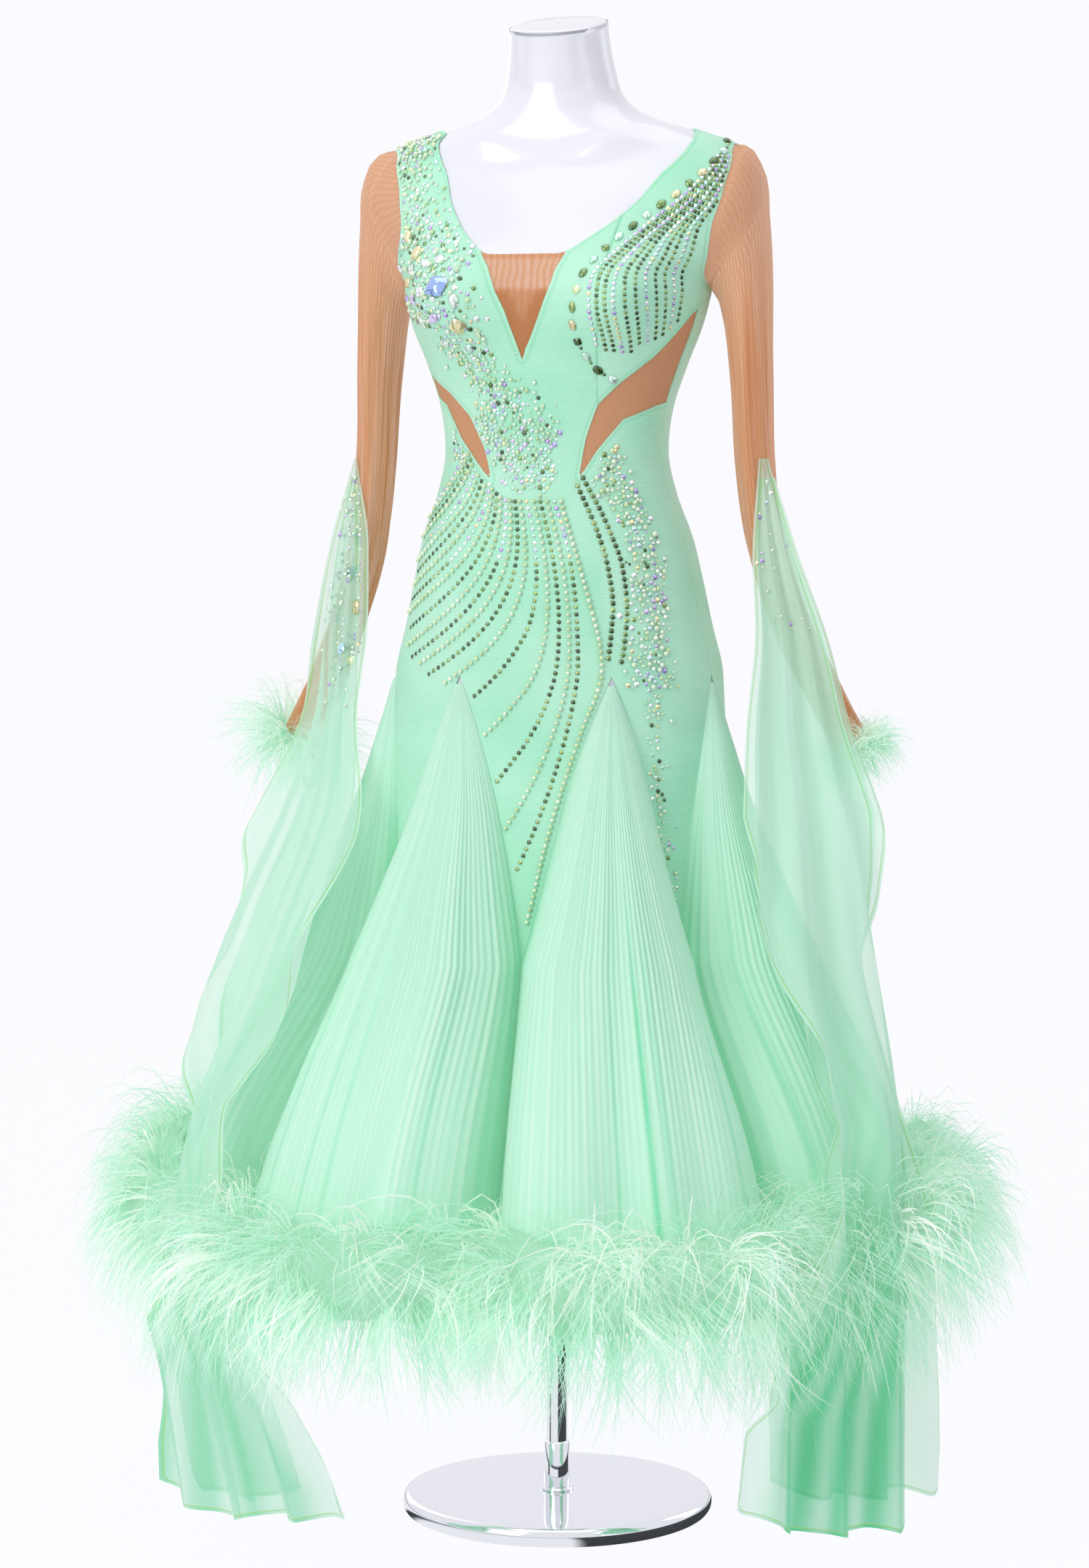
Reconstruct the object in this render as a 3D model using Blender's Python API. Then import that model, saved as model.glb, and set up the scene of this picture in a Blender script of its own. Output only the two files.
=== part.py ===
"""Ballroom dance dress with a feather hem, on a limbless dress form with a chrome stand.

Every piece is one that a maker would cut and sew, or turn and polish for the stand.
Metres, +Z up, the front towards -Y, the wearer's left towards +X.
The origin is the middle of the base's underside.
"""
import math
from collections import namedtuple

import bpy
import numpy as np

# Driving sizes of the stand and the form
BASE_RADIUS = 0.163
BASE_THICKNESS = 0.020
BASE_ROUNDING = 0.008
POLE_RADIUS = 0.01125
COLLAR_RADIUS = 0.0135
COLLAR_HEIGHT = 0.052
COLLAR_SLOPE = 0.0015
FORM_BOTTOM = 0.820
NECK_TOP = 1.549
NECK_TILT = 0.257

# Driving sizes of the cloth
SEAM_GAP = 0.0003
CLOTH_PROUD = 0.0020
CREPE_WALL = 0.0012
MESH_WALL = 0.0010
ORGANZA_WALL = 0.0015
CHIFFON_WALL = 0.0011

# The skirt: seven pleated godets let in between seven points of crepe
GODETS = 7
SECTOR = 360.0 / GODETS
FIRST_POINT = 4.0
FIRST_APEX = FIRST_POINT + SECTOR / 2
SKIRT_TOP = 0.885
POINT_TIP = 0.600
HEM = 0.300
PLEATS = 10
PLEAT_DEPTH = 0.38
COLUMNS_PER_SECTOR = 5
SEAM_APEXES = (1, 3, 5)

# The feathers: three rows of locks on a narrow strip under each godet's hem
STRIP_HEIGHT = 0.016
STRIP_THICKNESS = 0.004
STRIP_PROUD = 0.0125
LOCKS_PER_ROW = 9
CUFF_LOCKS = 9
CUFF_HEIGHT = 0.012
CUFF_THICKNESS = 0.003
LOOP_SEAT = 0.0012
LOOP_STEPS = 10
LOOP_WIDTH = 0.015
LOOP_LENGTH = 0.040
RIBBON_WIDTH = 0.004
RIBBON_THICKNESS = 0.0012
LOCK_CLEARANCE = 0.010

SLEEVE_COLUMNS = 18
SLEEVE_EASE = 0.0014
SLEEVE_LIFT = 0.0020
SLEEVE_CLEAR = 0.0055
SLEEVE_HEAD = 0.004

# The flat map of the body on which seams are drawn: its scale, and the least distance
# between a seam and a corner of the lattice
DEGREE_LENGTH = 0.0026
EDGE_NUDGE = 0.0016

BodyRow = namedtuple("BodyRow", "height half_width front back")
BODY = (
    BodyRow(0.800, 0.1720, -0.125, 0.135),
    BodyRow(0.885, 0.1695, -0.122, 0.135),
    BodyRow(0.933, 0.1580, -0.118, 0.130),
    BodyRow(0.978, 0.1490, -0.112, 0.120),
    BodyRow(1.023, 0.1390, -0.103, 0.105),
    BodyRow(1.068, 0.1230, -0.092, 0.090),
    BodyRow(1.113, 0.1145, -0.086, 0.082),
    BodyRow(1.158, 0.1200, -0.086, 0.083),
    BodyRow(1.200, 0.1340, -0.090, 0.090),
    BodyRow(1.240, 0.1500, -0.098, 0.097),
    BodyRow(1.270, 0.1580, -0.100, 0.102),
    BodyRow(1.290, 0.1620, -0.097, 0.104),
    BodyRow(1.310, 0.1780, -0.089, 0.107),
    BodyRow(1.340, 0.1970, -0.076, 0.107),
    BodyRow(1.370, 0.2095, -0.062, 0.104),
    BodyRow(1.400, 0.2030, -0.047, 0.097),
    BodyRow(1.415, 0.1900, -0.042, 0.092),
    BodyRow(1.425, 0.1780, -0.039, 0.088),
    BodyRow(1.433, 0.1550, -0.037, 0.084),
    BodyRow(1.441, 0.1320, -0.036, 0.081),
    BodyRow(1.449, 0.1050, -0.035, 0.078),
    BodyRow(1.460, 0.0800, -0.034, 0.076),
    BodyRow(1.475, 0.0640, -0.034, 0.073),
    BodyRow(1.500, 0.0560, -0.037, 0.066),
    BodyRow(1.535, 0.0510, -0.043, 0.058),
    BodyRow(1.575, 0.0490, -0.049, 0.052),
)
BODY_ROUNDNESS = 0.92
BUST_ANGLE = 33.0
BUST_HEIGHT = 1.262
BUST_SPREAD = 21.0
BUST_TALL = 0.044
BUST_FORWARD = 0.032
BUST_OUTWARD = 0.006

SkirtRow = namedtuple("SkirtRow", "height valley_width valley_depth hill_width hill_depth centre")
SKIRT = (
    SkirtRow(0.300, 0.290, 0.284, 0.398, 0.394, 0.000),
    SkirtRow(0.400, 0.254, 0.245, 0.366, 0.360, 0.000),
    SkirtRow(0.450, 0.235, 0.224, 0.346, 0.338, 0.000),
    SkirtRow(0.500, 0.215, 0.203, 0.324, 0.314, 0.001),
    SkirtRow(0.600, 0.187, 0.168, 0.278, 0.260, 0.002),
    SkirtRow(0.670, 0.180, 0.155, 0.246, 0.222, 0.003),
    SkirtRow(0.750, 0.177, 0.144, 0.212, 0.180, 0.004),
    SkirtRow(0.820, 0.175, 0.137, 0.190, 0.152, 0.005),
    SkirtRow(0.885, 0.1715, 0.1305, 0.1715, 0.1305, 0.0065),
)
HILL_POWER = 3.2
SLOPE_STEP = 0.02
SLOPE_DROP = 0.004

# Rows of the bodice in height, and rows of a godet with its columns
BODICE_ROWS = (
    0.885, 0.930, 0.975, 1.020, 1.060, 1.092, 1.120, 1.150, 1.178, 1.206, 1.234,
    1.262, 1.290, 1.318, 1.345, 1.372, 1.398, 1.415, 1.427, 1.436, 1.446,
)
NECK_ROWS = (1.458, 1.476, 1.505)
GodetRow = namedtuple("GodetRow", "height columns")
GODET_ROWS = (
    GodetRow(0.878, 2), GodetRow(0.862, 5), GodetRow(0.820, 10), GodetRow(0.750, 20),
    GodetRow(0.670, 20), GodetRow(0.603, 20), GodetRow(0.450, 20), GodetRow(0.300, 20),
)
PointRow = namedtuple("PointRow", "height columns")
POINT_ROWS = (
    PointRow(0.862, 5), PointRow(0.820, 4), PointRow(0.750, 3), PointRow(0.670, 2),
    PointRow(0.603, 0),
)

# Outlines on the body, as pairs of angle from the front in degrees and height
NECKLINE = (
    (-180, 1.352), (-150, 1.376), (-120, 1.424), (-90, 1.441), (-66, 1.4405), (-52, 1.438),
    (-38, 1.420), (-27, 1.388), (-23, 1.340), (-15, 1.309), (10, 1.309), (23, 1.344),
    (33, 1.388), (48, 1.417), (63, 1.431), (90, 1.440), (120, 1.424), (150, 1.376), (180, 1.352),
)
ARMHOLE_LEFT_ARM = (
    (90, 1.4225), (72, 1.413), (60, 1.384), (59, 1.344), (70, 1.306), (90, 1.280),
    (110, 1.300), (121, 1.344), (120, 1.384), (108, 1.412),
)
ARMHOLE_RIGHT_ARM = (
    (-90, 1.4225), (-66, 1.4190), (-51, 1.392), (-47, 1.358), (-54, 1.322), (-72, 1.294),
    (-90, 1.280), (-110, 1.300), (-121, 1.344), (-120, 1.384), (-108, 1.412),
)
NECK_INSERT = (
    (-3, 1.2035), (-7, 1.252), (-11.5, 1.284), (-15, 1.309), (-17, 1.335), (12, 1.335),
    (10, 1.309), (7.5, 1.280), (3, 1.244),
)
CUTOUT_LEFT_SIDE = (
    (22, 1.084), (26, 1.124), (31, 1.158), (41, 1.180), (58, 1.208), (75, 1.248),
    (95, 1.275), (95, 1.166), (70, 1.158), (47, 1.144), (32, 1.112),
)
CUTOUT_RIGHT_SIDE = (
    (-19, 1.080), (-26, 1.116), (-35, 1.148), (-49, 1.172), (-75, 1.196), (-95, 1.205),
    (-95, 1.180), (-75, 1.172), (-57, 1.160), (-44, 1.126), (-30, 1.100),
)
CUP = (
    (24, 1.520), (24, 1.330), (25.5, 1.270), (27, 1.216), (28.5, 1.185), (31, 1.158),
    (41, 1.180), (58, 1.208), (75, 1.248), (95, 1.275), (95, 1.520),
)
CUTOUT_MIDDLE = (
    (-180, 1.190), (-95, 1.190), (-75, 1.184), (-57, 1.170), (-44, 1.142), (-30, 1.114),
    (-19, 1.080), (22, 1.084), (30, 1.124), (44, 1.160), (60, 1.184), (75, 1.206), (180, 1.220),
)

SleeveRow = namedtuple("SleeveRow", "outer_x outer_z inner_x inner_z middle_y half_depth")
SLEEVE = (
    SleeveRow(0.2000, 1.4190, 0.165, 1.2690, 0.017, 0.052),
    SleeveRow(0.2125, 1.398, 0.168, 1.264, 0.018, 0.047),
    SleeveRow(0.2175, 1.352, 0.172, 1.248, 0.020, 0.045),
    SleeveRow(0.2220, 1.215, 0.181, 1.185, 0.020, 0.040),
    SleeveRow(0.2240, 1.110, 0.187, 1.098, 0.022, 0.034),
    SleeveRow(0.2330, 1.020, 0.199, 1.008, 0.026, 0.028),
    SleeveRow(0.2620, 0.930, 0.229, 0.917, 0.034, 0.025),
    SleeveRow(0.2960, 0.858, 0.264, 0.842, 0.045, 0.022),
    SleeveRow(0.3180, 0.818, 0.287, 0.801, 0.050, 0.020),
)

LockRow = namedtuple("LockRow", "lift length droop")
HEM_LOCKS = (
    LockRow(1.15, 0.112, 0.014), LockRow(-0.95, 0.100, 0.018), LockRow(-3.20, 0.150, 0.000),
)
CUFF_ROWS = (LockRow(0.25, 0.066, 0.000), LockRow(-0.30, 0.066, 0.000))
LOCK_SWING = 0.16
LOCK_UNEVEN = 0.10
LOCK_SLIM = 0.62
CUFF_LOCK_SLIM = 0.50

FloatRow = namedtuple("FloatRow", "height inner_x inner_y outer_x outer_y fold")
FLOAT_RIGHT_ARM = (
    FloatRow(1.104, -0.2167, -0.0097, -0.2235, 0.0025, 0.000),
    FloatRow(1.010, -0.2020, -0.0150, -0.2500, -0.0040, 0.002),
    FloatRow(0.920, -0.2040, -0.0170, -0.2650, 0.0010, 0.004),
    FloatRow(0.835, -0.2020, -0.0600, -0.2700, -0.0020, 0.007),
    FloatRow(0.745, -0.1700, -0.1400, -0.2950, -0.0400, 0.010),
    FloatRow(0.600, -0.1600, -0.2950, -0.3400, -0.1250, 0.013),
    FloatRow(0.450, -0.2120, -0.3450, -0.3820, -0.1750, 0.016),
    FloatRow(0.300, -0.2300, -0.3850, -0.4000, -0.2150, 0.016),
    FloatRow(0.180, -0.1750, -0.3750, -0.3800, -0.2300, 0.020),
    FloatRow(0.038, -0.1300, -0.3550, -0.3650, -0.2200, 0.024),
)
FLOAT_LEFT_ARM = (
    FloatRow(1.104, 0.2165, -0.0095, 0.2233, 0.0028, 0.000),
    FloatRow(1.010, 0.2120, -0.0160, 0.2520, -0.0030, 0.002),
    FloatRow(0.920, 0.2160, -0.0200, 0.2800, 0.0020, 0.004),
    FloatRow(0.835, 0.2120, -0.0400, 0.3000, 0.0000, 0.007),
    FloatRow(0.745, 0.2180, -0.0900, 0.3350, -0.0200, 0.010),
    FloatRow(0.600, 0.2400, -0.2400, 0.3750, -0.0450, 0.013),
    FloatRow(0.450, 0.2850, -0.3050, 0.4150, -0.1000, 0.016),
    FloatRow(0.300, 0.3050, -0.3400, 0.4300, -0.1350, 0.016),
    FloatRow(0.180, 0.3050, -0.3300, 0.4300, -0.1400, 0.020),
    FloatRow(0.045, 0.3000, -0.3200, 0.4300, -0.1400, 0.024),
)
FLOAT_FOLDS = 3
FLOAT_COLUMNS = 12

Finish = namedtuple("Finish", "red green blue roughness metallic")
FINISHES = {
    "crepe": Finish(0.40, 0.86, 0.58, 0.60, 0.0),
    "organza": Finish(0.52, 0.92, 0.70, 0.50, 0.0),
    "chiffon": Finish(0.38, 0.90, 0.60, 0.55, 0.0),
    "feather": Finish(0.50, 0.88, 0.68, 0.80, 0.0),
    "mesh": Finish(0.72, 0.32, 0.15, 0.60, 0.0),
    "elastic": Finish(0.42, 0.20, 0.10, 0.70, 0.0),
    "form": Finish(0.90, 0.90, 0.92, 0.12, 0.0),
    "chrome": Finish(0.72, 0.73, 0.75, 0.08, 1.0),
}


def smooth_column(rows, column, heights):
    """Cubic curve through one named column of a table, read at the given heights."""
    knots = np.array([row.height for row in rows])
    values = np.array([getattr(row, column) for row in rows])
    steps = np.diff(knots)
    slopes = np.diff(values) / steps
    inner = np.where(slopes[1:] * slopes[:-1] <= 0, 0, (slopes[1:] + slopes[:-1]) / 2)
    tangents = np.concatenate([slopes[:1], inner, slopes[-1:]])
    heights = np.asarray(heights, float)
    index = np.clip(np.searchsorted(knots, heights) - 1, 0, len(knots) - 2)
    t = (heights - knots[index]) / steps[index]
    start = (2 * t**3 - 3 * t**2 + 1) * values[index]
    start_slope = (t**3 - 2 * t**2 + t) * steps[index] * tangents[index]
    end = (-2 * t**3 + 3 * t**2) * values[index + 1]
    end_slope = (t**3 - t**2) * steps[index] * tangents[index + 1]
    return start + start_slope + end + end_slope


def superellipse(angles, half_width, half_depth, centre, power):
    """Points of a rounded section: x to the side, y back, from angles off the front."""
    sine, cosine = np.sin(np.radians(angles)), np.cos(np.radians(angles))
    x = half_width * np.sign(sine) * np.abs(sine) ** power
    y = centre - half_depth * np.sign(cosine) * np.abs(cosine) ** power
    return x, y


def body_points(angles, heights):
    """Points on the dress form's skin."""
    angles, heights = np.broadcast_arrays(np.asarray(angles, float), np.asarray(heights, float))
    half_width = smooth_column(BODY, "half_width", heights)
    front = smooth_column(BODY, "front", heights)
    back = smooth_column(BODY, "back", heights)
    x, y = superellipse(angles, half_width, (back - front) / 2, (back + front) / 2, BODY_ROUNDNESS)
    for side in (1, -1):
        across = (wrap(angles) - side * BUST_ANGLE) / BUST_SPREAD
        up = (heights - BUST_HEIGHT) / BUST_TALL
        fullness = np.exp(-across**2 - up**2)
        x = x + side * BUST_OUTWARD * fullness
        y = y - BUST_FORWARD * fullness
    return np.stack([x, y, heights], axis=-1)


def body_normals(angles, heights):
    """Outward directions of the form's skin, from small steps along it."""
    around = body_points(angles + 0.5, heights) - body_points(angles - 0.5, heights)
    up = body_points(angles, heights + 0.002) - body_points(angles, heights - 0.002)
    normals = np.cross(around, up)
    return normals / np.linalg.norm(normals, axis=-1, keepdims=True)


def point_half_angle(heights):
    """Half the angle that a point of crepe takes between two godets, in degrees."""
    t = np.clip((np.asarray(heights, float) - POINT_TIP) / (SKIRT_TOP - POINT_TIP), 0, 1)
    return SECTOR / 2 * (0.7 * t + 0.3 * t**4)


def godet_half_angle(heights):
    """Half the angle that a godet takes between two points of crepe, in degrees."""
    return SECTOR / 2 - point_half_angle(heights)


def skirt_points(angles, heights, hill):
    """Points on the skirt, from its valleys (hill 0) to the crests of its godets (hill 1)."""
    angles, heights = np.broadcast_arrays(np.asarray(angles, float), np.asarray(heights, float))
    valley_width = smooth_column(SKIRT, "valley_width", heights)
    valley_depth = smooth_column(SKIRT, "valley_depth", heights)
    width = valley_width + (smooth_column(SKIRT, "hill_width", heights) - valley_width) * hill
    depth = valley_depth + (smooth_column(SKIRT, "hill_depth", heights) - valley_depth) * hill
    centre = smooth_column(SKIRT, "centre", heights)
    round_off = np.clip((heights - POINT_TIP) / (SKIRT_TOP - POINT_TIP), 0, 1)
    power = 1 + (BODY_ROUNDNESS - 1) * round_off
    x, y = superellipse(angles, width, depth, centre, power)
    return np.stack([x, y, heights], axis=-1)


def hill_shape(across):
    """How high a godet stands over the valleys, from -1 to 1 between its two seams."""
    return 1 - np.abs(across) ** HILL_POWER


def grid_normals(step_across, step_down):
    """Unit normals from the two directions of a surface."""
    normals = np.cross(step_across, step_down)
    return normals / np.maximum(np.linalg.norm(normals, axis=-1, keepdims=True), 1e-12)


def girth_height(heights):
    """Height measured along the body's side, so that the shoulder's top isn't squeezed."""
    levels = np.linspace(BODY[0].height, BODY[-1].height, 400)
    widths = smooth_column(BODY, "half_width", levels)
    lengths = np.concatenate([[0], np.cumsum(np.hypot(np.diff(levels), np.diff(widths)))])
    return np.interp(heights, levels, lengths)


def rounded_outline(points, parts=4):
    """Closed curve through outline points, in metres of angle and of girth height."""
    corners = np.array(points, float)
    curve = []
    for index in range(len(corners)):
        before, start, end, after = (corners[(index + k) % len(corners)] for k in (-1, 0, 1, 2))
        for step in range(parts):
            t = step / parts
            slope_in, slope_out = (end - before) / 2, (after - start) / 2
            curve.append(
                (2 * t**3 - 3 * t**2 + 1) * start + (t**3 - 2 * t**2 + t) * slope_in
                + (-2 * t**3 + 3 * t**2) * end + (t**3 - t**2) * slope_out)
    curve = np.array(curve)
    return flat_map(curve[:, 0], curve[:, 1])


def sharp_outline(points):
    """Closed outline with straight sides, in the same flat map."""
    corners = np.array(points, float)
    return flat_map(corners[:, 0], corners[:, 1])


def flat_map(angles, heights):
    """Place on the body as a flat pair: metres round it and metres up its side."""
    return np.stack([np.asarray(angles) * DEGREE_LENGTH, girth_height(heights)], axis=-1)


def inside_depth(outline, places):
    """Signed distance of each place to an outline, positive inside it."""
    starts, ends = outline, np.roll(outline, -1, axis=0)
    nearest = np.full(len(places), 1e9)
    inside = np.zeros(len(places), bool)
    for start, end in zip(starts, ends):
        along = end - start
        t = np.clip((places - start) @ along / max(along @ along, 1e-12), 0, 1)
        nearest = np.minimum(nearest, np.linalg.norm(places - start - t[:, None] * along, axis=1))
        crosses = (start[1] > places[:, 1]) != (end[1] > places[:, 1])
        rise = along[1] if abs(along[1]) > 1e-12 else 1e-12
        inside ^= crosses & (places[:, 0] < start[0] + (places[:, 1] - start[1]) * along[0] / rise)
    return np.where(inside, nearest, -nearest)


def above_neckline(angles, heights):
    """How far each place lies above the neckline, measured along the body's side."""
    knots = np.array(NECKLINE, float)
    neck = np.interp(angles, knots[:, 0], girth_height(knots[:, 1]))
    return girth_height(heights) - neck


class Sheet:
    """Triangles on the body, with the depths of every place inside each outline."""

    def __init__(self):
        self.places, self.points, self.normals = [], [], []
        self.depths = []
        self.triangles, self.labels = [], []

    def add(self, place, point, normal, depths):
        """Add one corner and return its number."""
        self.places.append(place)
        self.points.append(np.asarray(point, float))
        self.normals.append(np.asarray(normal, float))
        self.depths.append(np.asarray(depths, float))
        return len(self.points) - 1

    def between(self, first, second, share):
        """Add a corner on the edge between two others."""
        def mix(values):
            """Value at the new corner."""
            return values[first] * (1 - share) + values[second] * share

        normal = mix(self.normals)
        return self.add(mix(self.places), mix(self.points), normal / np.linalg.norm(normal),
                        mix(self.depths))

    def split(self, column, level, labels):
        """Cut the triangles of some labels where a depth passes a level."""
        cuts, kept, kept_labels = {}, [], []

        def cut(a, b):
            """The shared corner where an edge passes the level."""
            key = (min(a, b), max(a, b))
            if key not in cuts:
                low, high = self.depths[key[0]][column], self.depths[key[1]][column]
                cuts[key] = self.between(*key, (level - low) / (high - low))
                self.depths[cuts[key]][column] = level
            return cuts[key]

        for triangle, label in zip(self.triangles, self.labels):
            signs = [0 if abs(self.depths[v][column] - level) < 1e-9 else
                     (1 if self.depths[v][column] > level else -1) for v in triangle]
            pieces = [triangle]
            if label in labels and min(signs) < 0 < max(signs):
                if 0 in signs:
                    turn = signs.index(0)
                    a, b, c = (triangle[(turn + k) % 3] for k in range(3))
                    middle = cut(b, c)
                    pieces = [(a, b, middle), (a, middle, c)]
                else:
                    turn = next(k for k in range(3) if signs.count(signs[k]) == 1)
                    a, b, c = (triangle[(turn + k) % 3] for k in range(3))
                    ab, ac = cut(a, b), cut(a, c)
                    pieces = [(a, ab, ac), (ab, b, c), (ab, c, ac)]
            kept += pieces
            kept_labels += [label] * len(pieces)
        self.triangles, self.labels = kept, kept_labels


def make_material(name):
    """Principled finish of a piece."""
    finish = FINISHES[name]
    material = bpy.data.materials.new(name)
    material.use_nodes = True
    shader = material.node_tree.nodes["Principled BSDF"]
    shader.inputs["Base Color"].default_value = (finish.red, finish.green, finish.blue, 1)
    shader.inputs["Roughness"].default_value = finish.roughness
    shader.inputs["Metallic"].default_value = finish.metallic
    return material


def make_object(name, points, faces, finish):
    """Object from points and faces, in its own copy of a finish."""
    mesh = bpy.data.meshes.new(name)
    mesh.from_pydata([tuple(map(float, point)) for point in points], [], faces)
    mesh.validate()
    mesh.shade_smooth()
    mesh.set_sharp_from_angle(angle=math.radians(35))
    mesh.materials.append(make_material(finish))
    piece = bpy.data.objects.new(name, mesh)
    bpy.context.collection.objects.link(piece)
    return piece


def make_wall(name, points, normals, faces, wall, finish):
    """Cloth as a wall: the given faces outside, their copy inside, and a rim round the edge."""
    points, normals = np.asarray(points, float), np.asarray(normals, float)
    used = sorted({corner for face in faces for corner in face})
    number = {corner: index for index, corner in enumerate(used)}
    outer = points[used]
    inner = outer - normals[used] * wall
    count = len(used)
    facing = sum(np.cross(points[f[1]] - points[f[0]], points[f[2]] - points[f[0]]) @ normals[f[0]]
                 for f in faces)
    faces = [[number[corner] for corner in face] for face in faces]
    if facing < 0:
        faces = [face[::-1] for face in faces]
    edges = {(face[k], face[(k + 1) % len(face)]) for face in faces for k in range(len(face))}
    rim = [(b, a, a + count, b + count) for a, b in edges if (b, a) not in edges]
    inside = [[corner + count for corner in face[::-1]] for face in faces]
    return make_object(name, np.vstack([outer, inner]), faces + inside + sorted(rim), finish)


def ladder(upper, lower):
    """Triangles between two rows of corners that may differ in number."""
    faces, i, j = [], 0, 0
    while i < len(upper) - 1 or j < len(lower) - 1:
        next_upper = (i + 1) / max(len(upper) - 1, 1)
        next_lower = (j + 1) / max(len(lower) - 1, 1)
        step_lower = j < len(lower) - 1 and (i == len(upper) - 1 or next_lower <= next_upper)
        if step_lower:
            faces.append((upper[i], lower[j], lower[j + 1]))
            j += 1
        else:
            faces.append((upper[i], lower[j], upper[i + 1]))
            i += 1
    return faces


def bodice_columns():
    """Angles of the bodice's columns; a sewn-up column is doubled, a gap apart."""
    columns = []
    half_gap = math.degrees(SEAM_GAP / 2 / 0.13)
    for index in range(GODETS * COLUMNS_PER_SECTOR):
        angle = FIRST_APEX + index * SECTOR / COLUMNS_PER_SECTOR
        apex = index // COLUMNS_PER_SECTOR
        if index % COLUMNS_PER_SECTOR == 0 and apex in SEAM_APEXES:
            columns += [(angle - half_gap, False), (angle + half_gap, True)]
        else:
            columns.append((angle, True))
    return columns


def wrap(angle):
    """Angle from the front between -180 and 180 degrees."""
    return (np.asarray(angle) + 180) % 360 - 180


OUTLINES = ("neck", "left_arm", "right_arm", "insert", "left_cut", "right_cut", "cup")
MIDDLE_LINE = len(OUTLINES)


def outline_depths(angles, heights):
    """Depths inside every outline, a column for each; near an edge they are nudged off it."""
    angles = wrap(angles)
    places = flat_map(angles, heights)
    fields = [above_neckline(angles, heights)]
    for outline in (rounded_outline(ARMHOLE_LEFT_ARM), rounded_outline(ARMHOLE_RIGHT_ARM),
                    sharp_outline(NECK_INSERT), sharp_outline(CUTOUT_LEFT_SIDE),
                    sharp_outline(CUTOUT_RIGHT_SIDE), sharp_outline(CUP)):
        fields.append(inside_depth(outline, places))
    middle = np.array(CUTOUT_MIDDLE, float)
    fields.append(np.asarray(heights) - np.interp(angles, middle[:, 0], middle[:, 1]))
    depths = np.stack(fields, axis=-1)
    nudged = np.where(depths < 0, -EDGE_NUDGE, EDGE_NUDGE)
    return np.where(np.abs(depths) < EDGE_NUDGE, nudged, depths)


def bodice_sheet():
    """The skin of the whole dress above the godets and its seven points, cut at every seam."""
    sheet = Sheet()
    columns = bodice_columns()
    angles = np.array([column[0] for column in columns])
    grid_angles, grid_heights = np.meshgrid(angles, np.array(BODICE_ROWS))
    normals = body_normals(grid_angles, grid_heights)
    points = body_points(grid_angles, grid_heights) + normals * CLOTH_PROUD
    depths = outline_depths(grid_angles.ravel(), grid_heights.ravel())
    depths = depths.reshape(grid_angles.shape + (MIDDLE_LINE + 1,))
    number = np.zeros(grid_angles.shape, int)
    for row in range(len(BODICE_ROWS)):
        for column in range(len(columns)):
            place = np.array([angles[column], BODICE_ROWS[row]])
            number[row, column] = sheet.add(
                place, points[row, column], normals[row, column], depths[row, column])
    for column, (angle, joined) in enumerate(columns):
        if not joined:
            continue
        after = (column + 1) % len(columns)
        middle = angle + SECTOR / COLUMNS_PER_SECTOR / 2
        label = panel_at(middle)
        for row in range(len(BODICE_ROWS) - 1):
            a, b = number[row, column], number[row, after]
            c, d = number[row + 1, after], number[row + 1, column]
            sheet.triangles += [(a, b, c), (a, c, d)]
            sheet.labels += [label] * 2
    add_points(sheet, columns, number[0])
    count = len(sheet.points)
    sheet.split(MIDDLE_LINE, 0.0, ("front",))
    for corner in range(count, len(sheet.points)):
        angle, height = sheet.places[corner]
        sheet.depths[corner] = outline_depths(np.array([angle]), np.array([height]))[0]
    for name in OUTLINES:
        column = OUTLINES.index(name)
        front_only = name in ("insert", "left_cut", "right_cut", "cup")
        labels = ("front",) if front_only else ("front", "back_left", "back_right")
        levels = (0.0,) if name == "neck" else (SEAM_GAP / 2, -SEAM_GAP / 2)
        for level in levels:
            sheet.split(column, level, labels)
    return sheet


def panel_at(angle):
    """Which panel a column of cells belongs to, between the sewn-up columns."""
    seams = [FIRST_APEX + apex * SECTOR for apex in SEAM_APEXES]
    if seams[0] < angle < seams[1]:
        return "back_left"
    if seams[1] < angle < seams[2]:
        return "back_right"
    return "front"


def add_points(sheet, columns, top_row):
    """Add the seven points of crepe that run down between the godets."""
    apexes = [i for i, (angle, joined) in enumerate(columns) if joined and is_apex(angle)]
    no_depth = sheet.depths[top_row[0]] * 0 - 1
    gap = math.degrees(SEAM_GAP / 2 / 0.18)
    for order, start in enumerate(apexes):
        centre = FIRST_APEX + order * SECTOR + SECTOR / 2
        upper = [top_row[(start + k) % len(columns)] for k in range(COLUMNS_PER_SECTOR + 1)]
        for row in POINT_ROWS:
            half = point_half_angle(row.height) - gap if row.columns else 0
            angles = centre + np.linspace(half if not row.columns else -half, half, row.columns + 1)
            points = skirt_points(angles, row.height, 0)
            around = skirt_points(angles + 0.5, row.height, 0) - points
            down = skirt_points(angles, row.height - 0.002, 0) - points
            normals = -grid_normals(around, down)
            lower = [sheet.add(np.array([angle, row.height]), point, normal, no_depth)
                     for angle, point, normal in zip(angles, points, normals)]
            faces = ladder(upper, lower)
            sheet.triangles += faces
            sheet.labels += [panel_at(centre if centre < 360 else centre - 360)] * len(faces)
            upper = lower


def is_apex(angle):
    """Whether a column stands over the apex of a godet."""
    steps = (angle - FIRST_APEX) / SECTOR
    return abs(steps - round(steps)) < 0.01


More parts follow.
